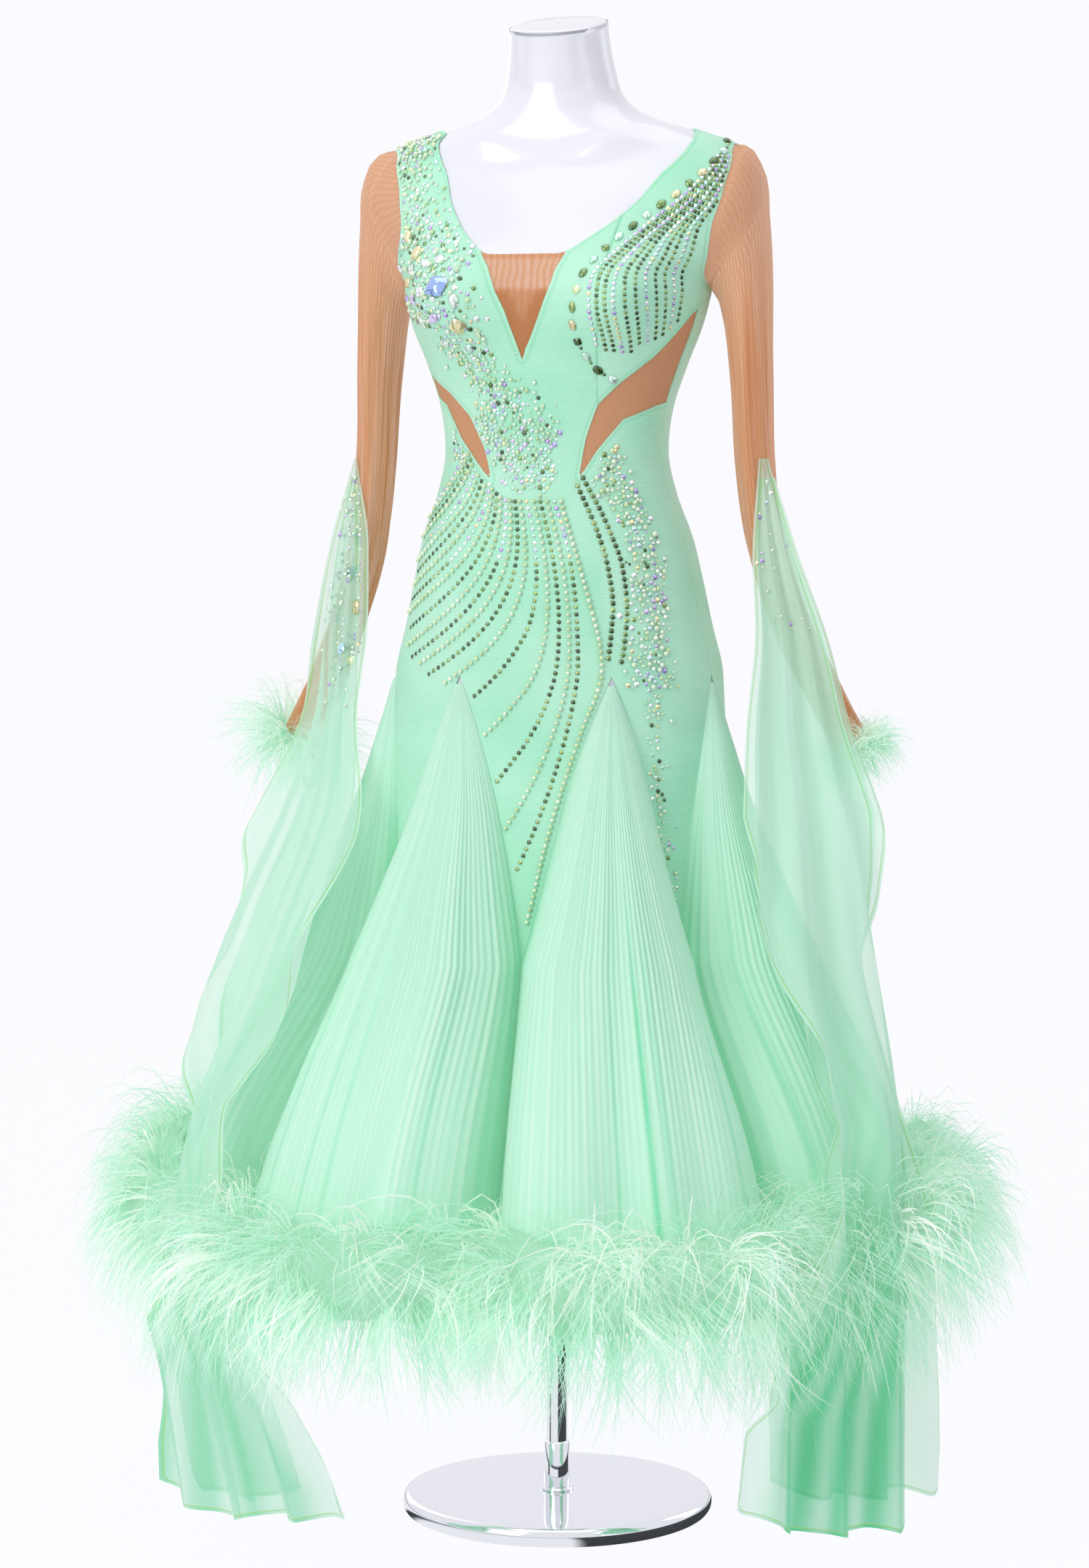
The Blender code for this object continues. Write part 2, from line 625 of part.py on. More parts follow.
def assign_pieces(sheet):
    """Sort the cut triangles into the pieces of the dress."""
    half = SEAM_GAP / 2
    pieces = {name: [] for name in (
        "dress_front_crepe", "bust_cup_left", "dress_back_left", "dress_back_right",
        "neck_insert", "waist_insert_left", "waist_insert_right")}
    for triangle, label in zip(sheet.triangles, sheet.labels):
        depth = dict(zip(OUTLINES, np.mean([sheet.depths[v] for v in triangle], axis=0)))
        if depth["neck"] > 0 or depth["left_arm"] > -half or depth["right_arm"] > -half:
            continue
        if label == "back_left":
            pieces["dress_back_left"].append(triangle)
            continue
        if label == "back_right":
            pieces["dress_back_right"].append(triangle)
            continue
        inner = [name for name in OUTLINES[3:] if depth[name] > half]
        edge = [name for name in OUTLINES[3:] if abs(depth[name]) <= half]
        if edge:
            continue
        target = "dress_front_crepe"
        for name, piece in (("cup", "bust_cup_left"), ("insert", "neck_insert"),
                            ("left_cut", "waist_insert_left"),
                            ("right_cut", "waist_insert_right")):
            if name in inner:
                target = piece
        pieces[target].append(triangle)
    return pieces


def make_bodice(sheet):
    """Crepe panels and nude mesh inserts of the dress."""
    for name, triangles in assign_pieces(sheet).items():
        mesh = "insert" in name
        make_wall(name, sheet.points, sheet.normals, triangles,
                  MESH_WALL if mesh else CREPE_WALL, "mesh" if mesh else "crepe")


def armhole_loop(sheet, side):
    """Corners of the sleeve's top edge, in order round the armhole, just inside the cloth's."""
    column = OUTLINES.index("left_arm" if side > 0 else "right_arm")
    level = SEAM_GAP / 2
    corners = [v for v in range(len(sheet.points))
               if abs(sheet.depths[v][column] - level) < 1e-9]
    points = np.array([sheet.points[v] for v in corners])
    centre = points.mean(axis=0)
    outward = points - centre
    normals = outward / np.linalg.norm(outward, axis=1, keepdims=True)
    skin = np.array([sheet.normals[v] for v in corners])
    points = points - normals * SLEEVE_EASE + skin * SLEEVE_LIFT
    turn = np.arctan2(points[:, 1] - centre[1], points[:, 2] - centre[2])
    order = np.argsort(turn)
    closed = np.append(order, order[0])
    steps = np.linalg.norm(np.diff(points[closed], axis=0), axis=1)
    travelled = np.concatenate([[0], np.cumsum(steps)])
    stops = np.arange(SLEEVE_COLUMNS) * travelled[-1] / SLEEVE_COLUMNS
    loop = np.stack([np.interp(stops, travelled, points[closed, k]) for k in range(3)], axis=-1)
    outward = loop - centre
    normals = outward / np.linalg.norm(outward, axis=1, keepdims=True)
    return loop, normals, np.arctan2(loop[:, 1] - centre[1], loop[:, 2] - centre[2])


def clear_of_body(points, gap):
    """Move the points that lie inside the form, or too close to it, sideways out of it."""
    x, y, z = points.T
    heights = np.clip(z, BODY[0].height, BODY[-1].height)
    front = smooth_column(BODY, "front", heights)
    back = smooth_column(BODY, "back", heights)
    width = smooth_column(BODY, "half_width", heights) + gap
    depth, centre = (back - front) / 2 + gap, (back + front) / 2
    power = 2 / BODY_ROUNDNESS
    share = (np.abs(x) / width) ** power + (np.abs(y - centre) / depth) ** power
    scale = np.where(share < 1, np.maximum(share, 1e-6) ** (-1 / power), 1)
    return np.stack([x * scale, centre + (y - centre) * scale, z], axis=-1)


def make_sleeve(sheet, side, name):
    """Long sleeve of nude mesh, a flattened empty tube, as its front and its back half."""
    loop, loop_normals, turn = armhole_loop(sheet, side)
    rings, normals = [loop], [loop_normals]
    for row in SLEEVE:
        outer = np.array([side * row.outer_x, row.middle_y, row.outer_z])
        inner = np.array([side * row.inner_x, row.middle_y, row.inner_z])
        long_way = (outer - inner) / 2
        depth_way = np.array([0, row.half_depth, 0])
        ring = (outer + inner) / 2 + np.outer(np.cos(turn), long_way)
        ring = ring + np.outer(np.sin(turn), depth_way)
        unit = np.outer(np.cos(turn), long_way / np.linalg.norm(long_way) ** 2)
        unit = unit + np.outer(np.sin(turn), depth_way / np.linalg.norm(depth_way) ** 2)
        normals.append(unit / np.linalg.norm(unit, axis=1, keepdims=True))
        rings.append(clear_of_body(ring, SLEEVE_CLEAR))
    normals.insert(1, (normals[0] + normals[1]) / 2)
    head = (rings[0] + rings[1]) / 2 + normals[1] * SLEEVE_HEAD
    rings.insert(1, clear_of_body(head, SLEEVE_CLEAR))
    half = SLEEVE_COLUMNS // 2
    for part, first in (("front", 0), ("back", half)):
        columns = (first + np.arange(half + 1)) % SLEEVE_COLUMNS
        points = np.array([half_ring(ring[columns]) for ring in rings])
        normal = np.array([unit[columns] for unit in normals])
        make_wall("%s_%s" % (name, part), points.reshape(-1, 3), normal.reshape(-1, 3),
                  lattice(len(rings), half + 1), MESH_WALL, "mesh")


def half_ring(points):
    """Half of a ring, with its two end points moved in from the seams."""
    points = points.copy()
    for end, inner in ((0, 1), (-1, -2)):
        inward = points[inner] - points[end]
        points[end] += inward / np.linalg.norm(inward) * SEAM_GAP / 2
    return points


def lattice(rows, columns):
    """Triangles of an open lattice of corners."""
    faces = []
    for row in range(rows - 1):
        for column in range(columns - 1):
            a = row * columns + column
            faces += [(a, a + 1, a + columns + 1), (a, a + columns + 1, a + columns)]
    return faces


def cuff_axis(side):
    """Direction in which the sleeve runs out at the cuff."""
    ends = [np.array([side * (row.outer_x + row.inner_x) / 2, row.middle_y,
                      (row.outer_z + row.inner_z) / 2]) for row in SLEEVE[-2:]]
    return (ends[1] - ends[0]) / np.linalg.norm(ends[1] - ends[0])


def make_cuff(side, name):
    """Feather cuff: a narrow band below the sleeve's end with two rows of locks."""
    last = SLEEVE[-1]
    outer = np.array([side * last.outer_x, last.middle_y, last.outer_z])
    inner = np.array([side * last.inner_x, last.middle_y, last.inner_z])
    centre = (outer + inner) / 2
    axis = cuff_axis(side)
    long_way, depth_way = (outer - inner) / 2, np.array([0, last.half_depth, 0])
    turns = np.arange(CUFF_LOCKS) * 2 * math.pi / CUFF_LOCKS
    start = centre + axis * SEAM_GAP * 1.5
    levels = (0, CUFF_HEIGHT / 2, CUFF_HEIGHT)
    ring = np.outer(np.cos(turns), long_way) + np.outer(np.sin(turns), depth_way)
    unit = ring / np.linalg.norm(ring, axis=1, keepdims=True)
    wall = unit * CUFF_THICKNESS
    inside = [start + axis * level + ring - wall / 3 for level in (levels[0], levels[-1])]
    outside = [start + axis * level + ring + wall * 2 / 3 for level in levels]
    points = list(np.vstack(inside + outside))
    count = CUFF_LOCKS
    inner_top, inner_low, top, middle, low = (k * count for k in range(5))
    faces = []
    for k in range(count):
        n = (k + 1) % count
        faces.append((inner_top + k, inner_top + n, inner_low + n, inner_low + k))
        faces.append((top + n, inner_top + n, inner_top + k, top + k))
        faces.append((low + k, inner_low + k, inner_low + n, low + n))
        direction = unit[k] + unit[n]
        direction = direction / np.linalg.norm(direction)
        roots = ((top + k, top + n, middle + n, middle + k),
                 (middle + k, middle + n, low + n, low + k))
        towards_float = direction[0] * side < -0.2 or direction[1] < -0.25
        for root, row in zip(roots, CUFF_ROWS):
            if towards_float:
                faces.append(root[::-1])
                continue
            way = direction + np.array([0, 0, row.lift]) + axis * 0.2
            way = way / np.linalg.norm(way)
            faces += add_lock(points, root[::-1], way, row.length, CUFF_LOCK_SLIM, row.droop)
    if side < 0:
        faces = [face[::-1] for face in faces]
    make_object(name, points, faces, "feather")


def add_lock(points, root, way, length, slimming, droop):
    """Grow one four-sided lock from a root face, bending down, and return its faces."""
    corners = [np.asarray(points[v]) for v in root]
    centre = sum(corners) / 4
    faces, ring = [], list(root)
    sections = ((0.45, 1.0, 0.25), (0.78, 0.7, 0.6)) if droop else ((0.55, 0.8, 0.0),)
    for along, scale, fall in sections:
        shift = way * length * along - np.array([0, 0, droop * fall])
        following = []
        for corner in corners:
            points.append(centre + (corner - centre) * slimming * scale + shift)
            following.append(len(points) - 1)
        for k in range(4):
            n = (k + 1) % 4
            faces.append((ring[k], ring[n], following[n], following[k]))
        ring = following
    points.append(centre + way * length - np.array([0, 0, droop]))
    tip = len(points) - 1
    faces += [(ring[k], ring[(k + 1) % 4], tip) for k in range(4)]
    return faces


def make_godet(index):
    """One pleated godet of organza, from its narrow apex to the hem."""
    apex = FIRST_APEX + index * SECTOR
    points, normals, rows = [], [], []
    gap = math.degrees(SEAM_GAP / 2 / 0.17)
    for row in GODET_ROWS:
        across = np.linspace(-1, 1, row.columns + 1)
        half = godet_half_angle(row.height)
        if row.height > GODET_ROWS[1].height:
            below = godet_half_angle(GODET_ROWS[1].height)
            half = below * (SKIRT_TOP - row.height) / (SKIRT_TOP - GODET_ROWS[1].height)
        angles = apex + across * (half - gap)
        hill = hill_shape(across)
        smooth = skirt_points(angles, row.height, hill)
        ahead = skirt_points(angles + SLOPE_STEP * half, row.height, hill_shape(across + SLOPE_STEP))
        behind = skirt_points(angles - SLOPE_STEP * half, row.height, hill_shape(across - SLOPE_STEP))
        around = ahead - behind
        lower = row.height - SLOPE_DROP
        down = skirt_points(apex + across * godet_half_angle(lower), lower, hill) - smooth
        unit = -grid_normals(around, down)
        if row.height == HEM:
            unit[:, 2] = 0
            unit = unit / np.linalg.norm(unit, axis=1, keepdims=True)
        pleat = np.zeros(row.columns + 1)
        if row.columns == 2 * PLEATS:
            width = np.linalg.norm(np.diff(smooth, axis=0), axis=1).mean()
            pleat[1::2] = PLEAT_DEPTH * width
            pleat[[1, -2]] /= 2
        ring = smooth + unit * pleat[:, None]
        rows.append(list(range(len(points), len(points) + len(ring))))
        points += list(ring)
        normals += list(unit)
    faces = []
    for upper, lower in zip(rows, rows[1:]):
        faces += ladder(upper, lower)
    make_wall("godet_%d" % (index + 1), points, normals, faces, ORGANZA_WALL, "organza")


def float_points(rows, across, heights):
    """Points of a sleeve float: a straight run between its two edges, laid in soft folds."""
    columns = {name: smooth_column(rows[::-1], name, heights)
               for name in ("inner_x", "inner_y", "outer_x", "outer_y", "fold")}
    x = columns["inner_x"] + (columns["outer_x"] - columns["inner_x"]) * across
    y = columns["inner_y"] + (columns["outer_y"] - columns["inner_y"]) * across
    run = np.stack([columns["outer_x"] - columns["inner_x"],
                    columns["outer_y"] - columns["inner_y"]], axis=-1)
    run = run / np.linalg.norm(run, axis=-1, keepdims=True)
    wave = columns["fold"] * np.sin(2 * np.pi * FLOAT_FOLDS * across)
    sign = np.sign(columns["outer_x"])
    x = x + sign * run[..., 1] * wave
    y = y - sign * run[..., 0] * wave
    return np.stack([x, y, np.asarray(heights, float) + 0 * across], axis=-1)


def float_heights(rows):
    """Levels at which a float is cut into rows."""
    return np.array([row.height for row in rows])


def make_float(rows, name):
    """One chiffon float that hangs from the forearm to just above the floor."""
    heights = float_heights(rows)
    across = np.linspace(0, 1, FLOAT_COLUMNS + 1)
    grid_across, grid_heights = np.meshgrid(across, heights)
    points = float_points(rows, grid_across, grid_heights)
    along = np.gradient(points, axis=1)
    down = np.gradient(points, axis=0)
    normals = grid_normals(along, down)
    if normals[..., 1].mean() > 0:
        normals = -normals
    make_wall(name, points.reshape(-1, 3), normals.reshape(-1, 3),
              lattice(len(heights), FLOAT_COLUMNS + 1), CHIFFON_WALL, "chiffon")


def float_samples():
    """Close points on both floats, to keep the feather locks clear of them."""
    samples = []
    for rows in (FLOAT_RIGHT_ARM, FLOAT_LEFT_ARM):
        across, heights = np.meshgrid(np.linspace(0, 1, 40), np.linspace(0.05, 0.60, 60))
        samples.append(float_points(rows, across, heights).reshape(-1, 3))
    return np.vstack(samples)


def make_hem_feathers(index, samples):
    """Feathers of one godet's hem: a strip just below the cloth with three rows of locks."""
    apex = FIRST_APEX + index * SECTOR
    columns = LOCKS_PER_ROW + 2
    across = np.linspace(-1, 1, columns + 1)
    half = SECTOR / 2 - math.degrees(SEAM_GAP / 2 / 0.3)
    outer = skirt_points(apex + across * half, HEM, hill_shape(across))
    ahead, behind = across + SLOPE_STEP, across - SLOPE_STEP
    tangent = skirt_points(apex + ahead * half, HEM, hill_shape(ahead))
    tangent = tangent - skirt_points(apex + behind * half, HEM, hill_shape(behind))
    tangent[:, 2] = 0
    unit = tangent / np.linalg.norm(tangent, axis=1, keepdims=True)
    out = np.stack([unit[:, 1], -unit[:, 0], 0 * unit[:, 0]], axis=-1)
    top = HEM - SEAM_GAP
    levels = (top, top - STRIP_HEIGHT / 2, top - STRIP_HEIGHT)
    proud = out * (STRIP_PROUD * (1 - across**8))[:, None]
    rings = []
    for level in levels:
        ring = outer + proud
        ring[:, 2] = level
        rings.append(ring)
    for level in (levels[0], levels[-1]):
        ring = outer - out * STRIP_THICKNESS
        ring[:, 2] = level
        rings.append(ring)
    points = list(np.vstack(rings))
    width = columns + 1
    high, middle, low, inner_high, inner_low = (k * width for k in range(5))
    faces = []
    for k in range(columns):
        n = k + 1
        faces.append((high + k, high + n, inner_high + n, inner_high + k))
        faces.append((inner_high + k, inner_high + n, inner_low + n, inner_low + k))
        angle = math.radians(apex + (across[k] + across[n]) / 2 * half)
        radial = np.array([math.sin(angle), -math.cos(angle), 0])
        swing = LOCK_SWING * math.sin(9.1 * (k + 1) + 5.3 * index)
        sideways = np.array([-radial[1], radial[0], 0]) * swing
        roots = (
            (high + k, high + n, middle + n, middle + k),
            (middle + k, middle + n, low + n, low + k),
            (low + k, low + n, inner_low + n, inner_low + k),
        )
        for root, row in zip(roots, HEM_LOCKS):
            way = radial + sideways + np.array([0, 0, row.lift])
            way = way / np.linalg.norm(way)
            uneven = 1 + LOCK_UNEVEN * math.sin(4.7 * k + 2.9 * index + row.lift)
            if 0 < k < columns - 1:
                trial = list(points)
                lock = add_lock(trial, root[::-1], way, row.length * uneven, LOCK_SLIM, row.droop)
                fresh = np.array([np.mean([trial[a], trial[b]], axis=0)
                                  for face in lock for a in face for b in face])
                clear = np.min(np.linalg.norm(fresh[:, None] - samples[None], axis=2))
                if clear > LOCK_CLEARANCE:
                    points = trial
                    faces += lock
                    continue
            faces.append(root[::-1])
    for k, backwards in ((0, True), (columns, False)):
        end = (high + k, middle + k, low + k, inner_low + k, inner_high + k)
        faces.append(end[::-1] if backwards else end)
    make_object("hem_feathers_%d" % (index + 1), points, faces, "feather")


def make_form():
    """The form's torso: neck, shoulders and bust on the same rows as the dress, closed."""
    angles = FIRST_APEX + np.arange(GODETS * COLUMNS_PER_SECTOR) * SECTOR / COLUMNS_PER_SECTOR
    heights = (FORM_BOTTOM,) + BODICE_ROWS + NECK_ROWS
    rings = [body_points(angles, height) for height in heights]
    top = body_points(angles, NECK_TOP)
    tilted = NECK_TOP + NECK_TILT * (top[:, 1] - top[:, 1].mean())
    rings.append(np.array([body_points(a, h) for a, h in zip(angles, tilted)]))
    count = len(angles)
    faces = []
    for row in range(len(rings) - 1):
        for column in range(count):
            after = (column + 1) % count
            a, b = row * count + column, row * count + after
            c, d = (row + 1) * count + after, (row + 1) * count + column
            faces += [(a, b, c), (a, c, d)]
    faces.append(tuple(range(count))[::-1])
    faces.append(tuple(range((len(rings) - 1) * count, len(rings) * count)))
    make_object("form_torso", np.vstack(rings), faces, "form")


def turned(name, profile, sides, finish):
    """Solid turned about the upright axis from pairs of radius and height, bottom to top."""
    points, faces = [], []
    for radius, height in profile:
        for k in range(sides):
            angle = 2 * math.pi * k / sides
            points.append((radius * math.cos(angle), radius * math.sin(angle), height))
    for row in range(len(profile) - 1):
        for k in range(sides):
            n = (k + 1) % sides
            faces.append((row * sides + k, row * sides + n,
                          (row + 1) * sides + n, (row + 1) * sides + k))
    faces.append(tuple(range(sides))[::-1])
    last = (len(profile) - 1) * sides
    faces.append(tuple(range(last, last + sides)))
    return make_object(name, points, faces, finish)


def make_stand():
    """Chrome stand: a round base with a rounded rim, a pole and the collar at its foot."""
    rim = []
    for step in range(5):
        turn = math.radians(-90 + 45 * step)
        reach = BASE_RADIUS - BASE_ROUNDING + BASE_ROUNDING * math.cos(turn)
        height = BASE_THICKNESS / 2 + (BASE_THICKNESS / 2) * math.sin(turn)
        rim.append((reach, height))
    turned("form_base", rim, 48, "chrome")
    foot = BASE_THICKNESS + SEAM_GAP
    pole = [(COLLAR_RADIUS, foot), (COLLAR_RADIUS, foot + COLLAR_HEIGHT - COLLAR_SLOPE),
            (POLE_RADIUS, foot + COLLAR_HEIGHT), (POLE_RADIUS, FORM_BOTTOM - SEAM_GAP)]
    turned("form_pole", pole, 20, "chrome")


def make_loop(side, name):
    """Finger loop: a narrow elastic ribbon that hangs in a loop from the cuff's band."""
    last = SLEEVE[-1]
    inner = np.array([side * last.inner_x, last.middle_y, last.inner_z])
    top = inner + cuff_axis(side) * (CUFF_HEIGHT + LOOP_SEAT)
    points, faces = [], []
    for k in range(LOOP_STEPS):
        turn = 2 * math.pi * k / LOOP_STEPS
        way = np.array([side * math.sin(turn), 0, math.cos(turn)])
        spot = top + np.array([side * LOOP_WIDTH / 2 * math.sin(turn), 0,
                               LOOP_LENGTH / 2 * (math.cos(turn) - 1)])
        for inward in (0, RIBBON_THICKNESS):
            for depth in (-RIBBON_WIDTH / 2, RIBBON_WIDTH / 2):
                points.append(spot - way * inward + np.array([0, depth, 0]))
    for k in range(LOOP_STEPS):
        a, b = 4 * k, 4 * ((k + 1) % LOOP_STEPS)
        faces += [(a, a + 1, b + 1, b), (a + 3, a + 2, b + 2, b + 3),
                  (a + 1, a + 3, b + 3, b + 1), (a + 2, a, b, b + 2)]
    if side < 0:
        faces = [face[::-1] for face in faces]
    make_object(name, points, [face[::-1] for face in faces], "elastic")


def main():
    """Clear the scene and make every piece."""
    for old in list(bpy.data.objects):
        bpy.data.objects.remove(old, do_unlink=True)
    make_stand()
    make_form()
    sheet = bodice_sheet()
    make_bodice(sheet)
    for side, arm in ((1, "left"), (-1, "right")):
        make_sleeve(sheet, side, "sleeve_" + arm)
        make_cuff(side, "cuff_feathers_" + arm)
        make_loop(side, "finger_loop_" + arm)
    make_float(FLOAT_LEFT_ARM, "float_left")
    make_float(FLOAT_RIGHT_ARM, "float_right")
    samples = float_samples()
    for index in range(GODETS):
        make_godet(index)
        make_hem_feathers(index, samples)


main()
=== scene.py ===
"""Ballroom dance dress with sleeve floats and a feather hem, on a gloss dress form.

The form stands on a chrome pole and base. Metres, +Z up, the front towards -Y and the
wearer's left towards +X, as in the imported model, whose nodes these finer pieces replace.
"""
import logging
import math
from dataclasses import dataclass
from enum import Enum
from typing import Any, NamedTuple, Optional, Sequence

import bpy
import numpy as np
from bpy.types import Material, NodeSocket, NodeTree, Object
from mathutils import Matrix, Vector
from numpy.linalg import norm


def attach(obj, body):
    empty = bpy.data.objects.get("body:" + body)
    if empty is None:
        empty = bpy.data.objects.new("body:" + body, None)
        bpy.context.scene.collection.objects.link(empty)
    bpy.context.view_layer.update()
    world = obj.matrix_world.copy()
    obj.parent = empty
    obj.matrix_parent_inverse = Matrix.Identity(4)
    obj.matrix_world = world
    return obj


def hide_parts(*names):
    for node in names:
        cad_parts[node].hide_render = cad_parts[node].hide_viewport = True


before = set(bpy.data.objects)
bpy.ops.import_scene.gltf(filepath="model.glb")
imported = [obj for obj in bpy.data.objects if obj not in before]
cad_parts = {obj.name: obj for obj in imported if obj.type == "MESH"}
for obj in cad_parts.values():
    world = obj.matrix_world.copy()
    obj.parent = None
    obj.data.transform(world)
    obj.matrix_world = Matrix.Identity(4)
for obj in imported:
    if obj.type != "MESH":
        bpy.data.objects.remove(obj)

Array = np.ndarray

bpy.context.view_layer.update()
LOG = logging.getLogger("dress")

# The stand and the form
BASE_RADIUS = 0.163
BASE_THICKNESS = 0.020
BASE_ROUNDING = 0.008
POLE_RADIUS = 0.01125
COLLAR_RADIUS = 0.0135
COLLAR_HEIGHT = 0.052
FORM_BOTTOM = 0.820
NECK_TOP = 1.549
NECK_TILT = 0.257

# The cloth: how far its outside stands off the form, and how far its edge turns in
CLOTH_PROUD = 0.0020
MESH_PROUD = 0.0013
CREPE_WALL = 0.0012
SEAM_GAP = 0.0003
EDGE_NUDGE = 0.0004

# The skirt: seven pleated godets let in between seven points of crepe
GODETS = 7
SECTOR = 360.0 / GODETS
FIRST_POINT = 4.0
FIRST_APEX = FIRST_POINT + SECTOR / 2
SKIRT_TOP = 0.885
POINT_TIP = 0.600
HEM = 0.300
SEAM_APEXES = (1, 3, 5)
HILL_POWER = 3.2

BODY_ROUNDNESS = 0.92
BUST_ANGLE = 33.0
BUST_HEIGHT = 1.262
BUST_SPREAD = 21.0
BUST_TALL = 0.044
BUST_FORWARD = 0.032
BUST_OUTWARD = 0.006

SLEEVE_EASE = 0.0012
SLEEVE_CLEAR = 0.0050
SLEEVE_HEAD = 0.0015
CUFF_HEIGHT = 0.012

# Feathers: no barb reaches further from the middle than this, in x and in y
BARB_LIMITS = (0.511, 0.501)
# How far plumes, and single barbs in them, lean and curl to the side
PLUME_LEAN = 0.60
PLUME_CURL = 0.55
BARB_LEAN = 0.15
BARB_CURL = 0.28
CURL_BEND = 1.9

HEM_SEED = 4100
CUFF_SEED = 5200
GODET_SEED = 7300

# Width of a degree on a crepe point, and how high a pearl's middle stands for its radius
POINT_DEGREE = 0.0030
PEARL_RISE = 0.72

# The flat map of the body on which seams are drawn: metres per degree round it
DEGREE_LENGTH = 0.0026


class BodyRow(NamedTuple):
    """Section of the form at one height: half its width, and its front and back in y."""

    height: float
    half_width: float
    front: float
    back: float


class SkirtRow(NamedTuple):
    """Section of the skirt at one height, through its valleys and through its crests."""

    height: float
    valley_width: float
    valley_depth: float
    hill_width: float
    hill_depth: float
    centre: float


class SleeveRow(NamedTuple):
    """Ring of a sleeve: its outer and inner edge, and its middle and half depth in y."""

    outer_x: float
    outer_z: float
    inner_x: float
    inner_z: float
    middle_y: float
    half_depth: float


class FloatRow(NamedTuple):
    """Level of a sleeve float: its two edges seen from above, and the depth of its folds."""

    height: float
    inner_x: float
    inner_y: float
    outer_x: float
    outer_y: float
    fold: float


BODY = tuple(BodyRow(*row) for row in (
    (0.8, 0.172, -0.125, 0.135), (0.885, 0.1695, -0.122, 0.135), (0.933, 0.158, -0.118, 0.13),
    (0.978, 0.149, -0.112, 0.12), (1.023, 0.139, -0.103, 0.105), (1.068, 0.123, -0.092, 0.09),
    (1.113, 0.1145, -0.086, 0.082), (1.158, 0.12, -0.086, 0.083), (1.2, 0.134, -0.09, 0.09),
    (1.24, 0.15, -0.098, 0.097), (1.27, 0.158, -0.1, 0.102), (1.29, 0.162, -0.097, 0.104),
    (1.31, 0.178, -0.089, 0.107), (1.34, 0.197, -0.076, 0.107), (1.37, 0.2095, -0.062, 0.104),
    (1.4, 0.203, -0.047, 0.097), (1.415, 0.19, -0.042, 0.092), (1.425, 0.178, -0.039, 0.088),
    (1.433, 0.155, -0.037, 0.084), (1.441, 0.132, -0.036, 0.081), (1.449, 0.105, -0.035, 0.078),
    (1.46, 0.08, -0.034, 0.076), (1.475, 0.064, -0.034, 0.073), (1.5, 0.056, -0.037, 0.066),
    (1.535, 0.051, -0.043, 0.058), (1.575, 0.049, -0.049, 0.052),
))

SKIRT = tuple(SkirtRow(*row) for row in (
    (0.3, 0.29, 0.284, 0.398, 0.394, 0), (0.4, 0.254, 0.245, 0.366, 0.36, 0),
    (0.45, 0.235, 0.224, 0.346, 0.338, 0), (0.5, 0.215, 0.203, 0.324, 0.314, 0.001),
    (0.6, 0.187, 0.168, 0.278, 0.26, 0.002), (0.67, 0.18, 0.155, 0.246, 0.222, 0.003),
    (0.75, 0.177, 0.144, 0.212, 0.18, 0.004), (0.82, 0.175, 0.137, 0.19, 0.152, 0.005),
    (0.885, 0.1715, 0.1305, 0.1715, 0.1305, 0.0065),
))

# Outlines on the body, as pairs of angle from the front in degrees and height
NECKLINE = (
    (-180, 1.352), (-150, 1.376), (-120, 1.424), (-90, 1.441), (-66, 1.4405), (-52, 1.438),
    (-38, 1.420), (-27, 1.388), (-23, 1.340), (-15, 1.309), (10, 1.309), (23, 1.344),
    (33, 1.388), (48, 1.417), (63, 1.431), (90, 1.440), (120, 1.424), (150, 1.376), (180, 1.352),
)
ARMHOLE_LEFT_ARM = (
    (90, 1.4225), (72, 1.413), (60, 1.384), (59, 1.344), (70, 1.306), (90, 1.280),
    (110, 1.300), (121, 1.344), (120, 1.384), (108, 1.412),
)
ARMHOLE_RIGHT_ARM = (
    (-90, 1.4225), (-66, 1.4190), (-51, 1.392), (-47, 1.358), (-54, 1.322), (-72, 1.294),
    (-90, 1.280), (-110, 1.300), (-121, 1.344), (-120, 1.384), (-108, 1.412),
)
NECK_INSERT = (
    (-3, 1.2035), (-7, 1.252), (-11.5, 1.284), (-15, 1.309), (-17, 1.335), (12, 1.335),
    (10, 1.309), (7.5, 1.280), (3, 1.244),
)
CUTOUT_LEFT_SIDE = (
    (22, 1.084), (26, 1.124), (31, 1.158), (41, 1.180), (58, 1.208), (75, 1.248),
    (95, 1.275), (95, 1.166), (70, 1.158), (47, 1.144), (32, 1.112),
)
CUTOUT_RIGHT_SIDE = (
    (-19, 1.080), (-26, 1.116), (-35, 1.148), (-49, 1.172), (-75, 1.196), (-95, 1.205),
    (-95, 1.180), (-75, 1.172), (-57, 1.160), (-44, 1.126), (-30, 1.100),
)
CUP = (
    (24, 1.520), (24, 1.330), (25.5, 1.270), (27, 1.216), (28.5, 1.185), (31, 1.158),
    (41, 1.180), (58, 1.208), (75, 1.248), (95, 1.275), (95, 1.520),
)

SLEEVE = tuple(SleeveRow(*row) for row in (
    (0.2, 1.419, 0.165, 1.269, 0.017, 0.052), (0.2125, 1.398, 0.168, 1.264, 0.018, 0.047),
    (0.2175, 1.352, 0.172, 1.248, 0.02, 0.045), (0.222, 1.215, 0.181, 1.185, 0.02, 0.04),
    (0.224, 1.11, 0.187, 1.098, 0.022, 0.034), (0.233, 1.02, 0.199, 1.008, 0.026, 0.028),
    (0.262, 0.93, 0.229, 0.917, 0.034, 0.025), (0.296, 0.858, 0.264, 0.842, 0.045, 0.022),
    (0.318, 0.818, 0.287, 0.801, 0.05, 0.02),
))

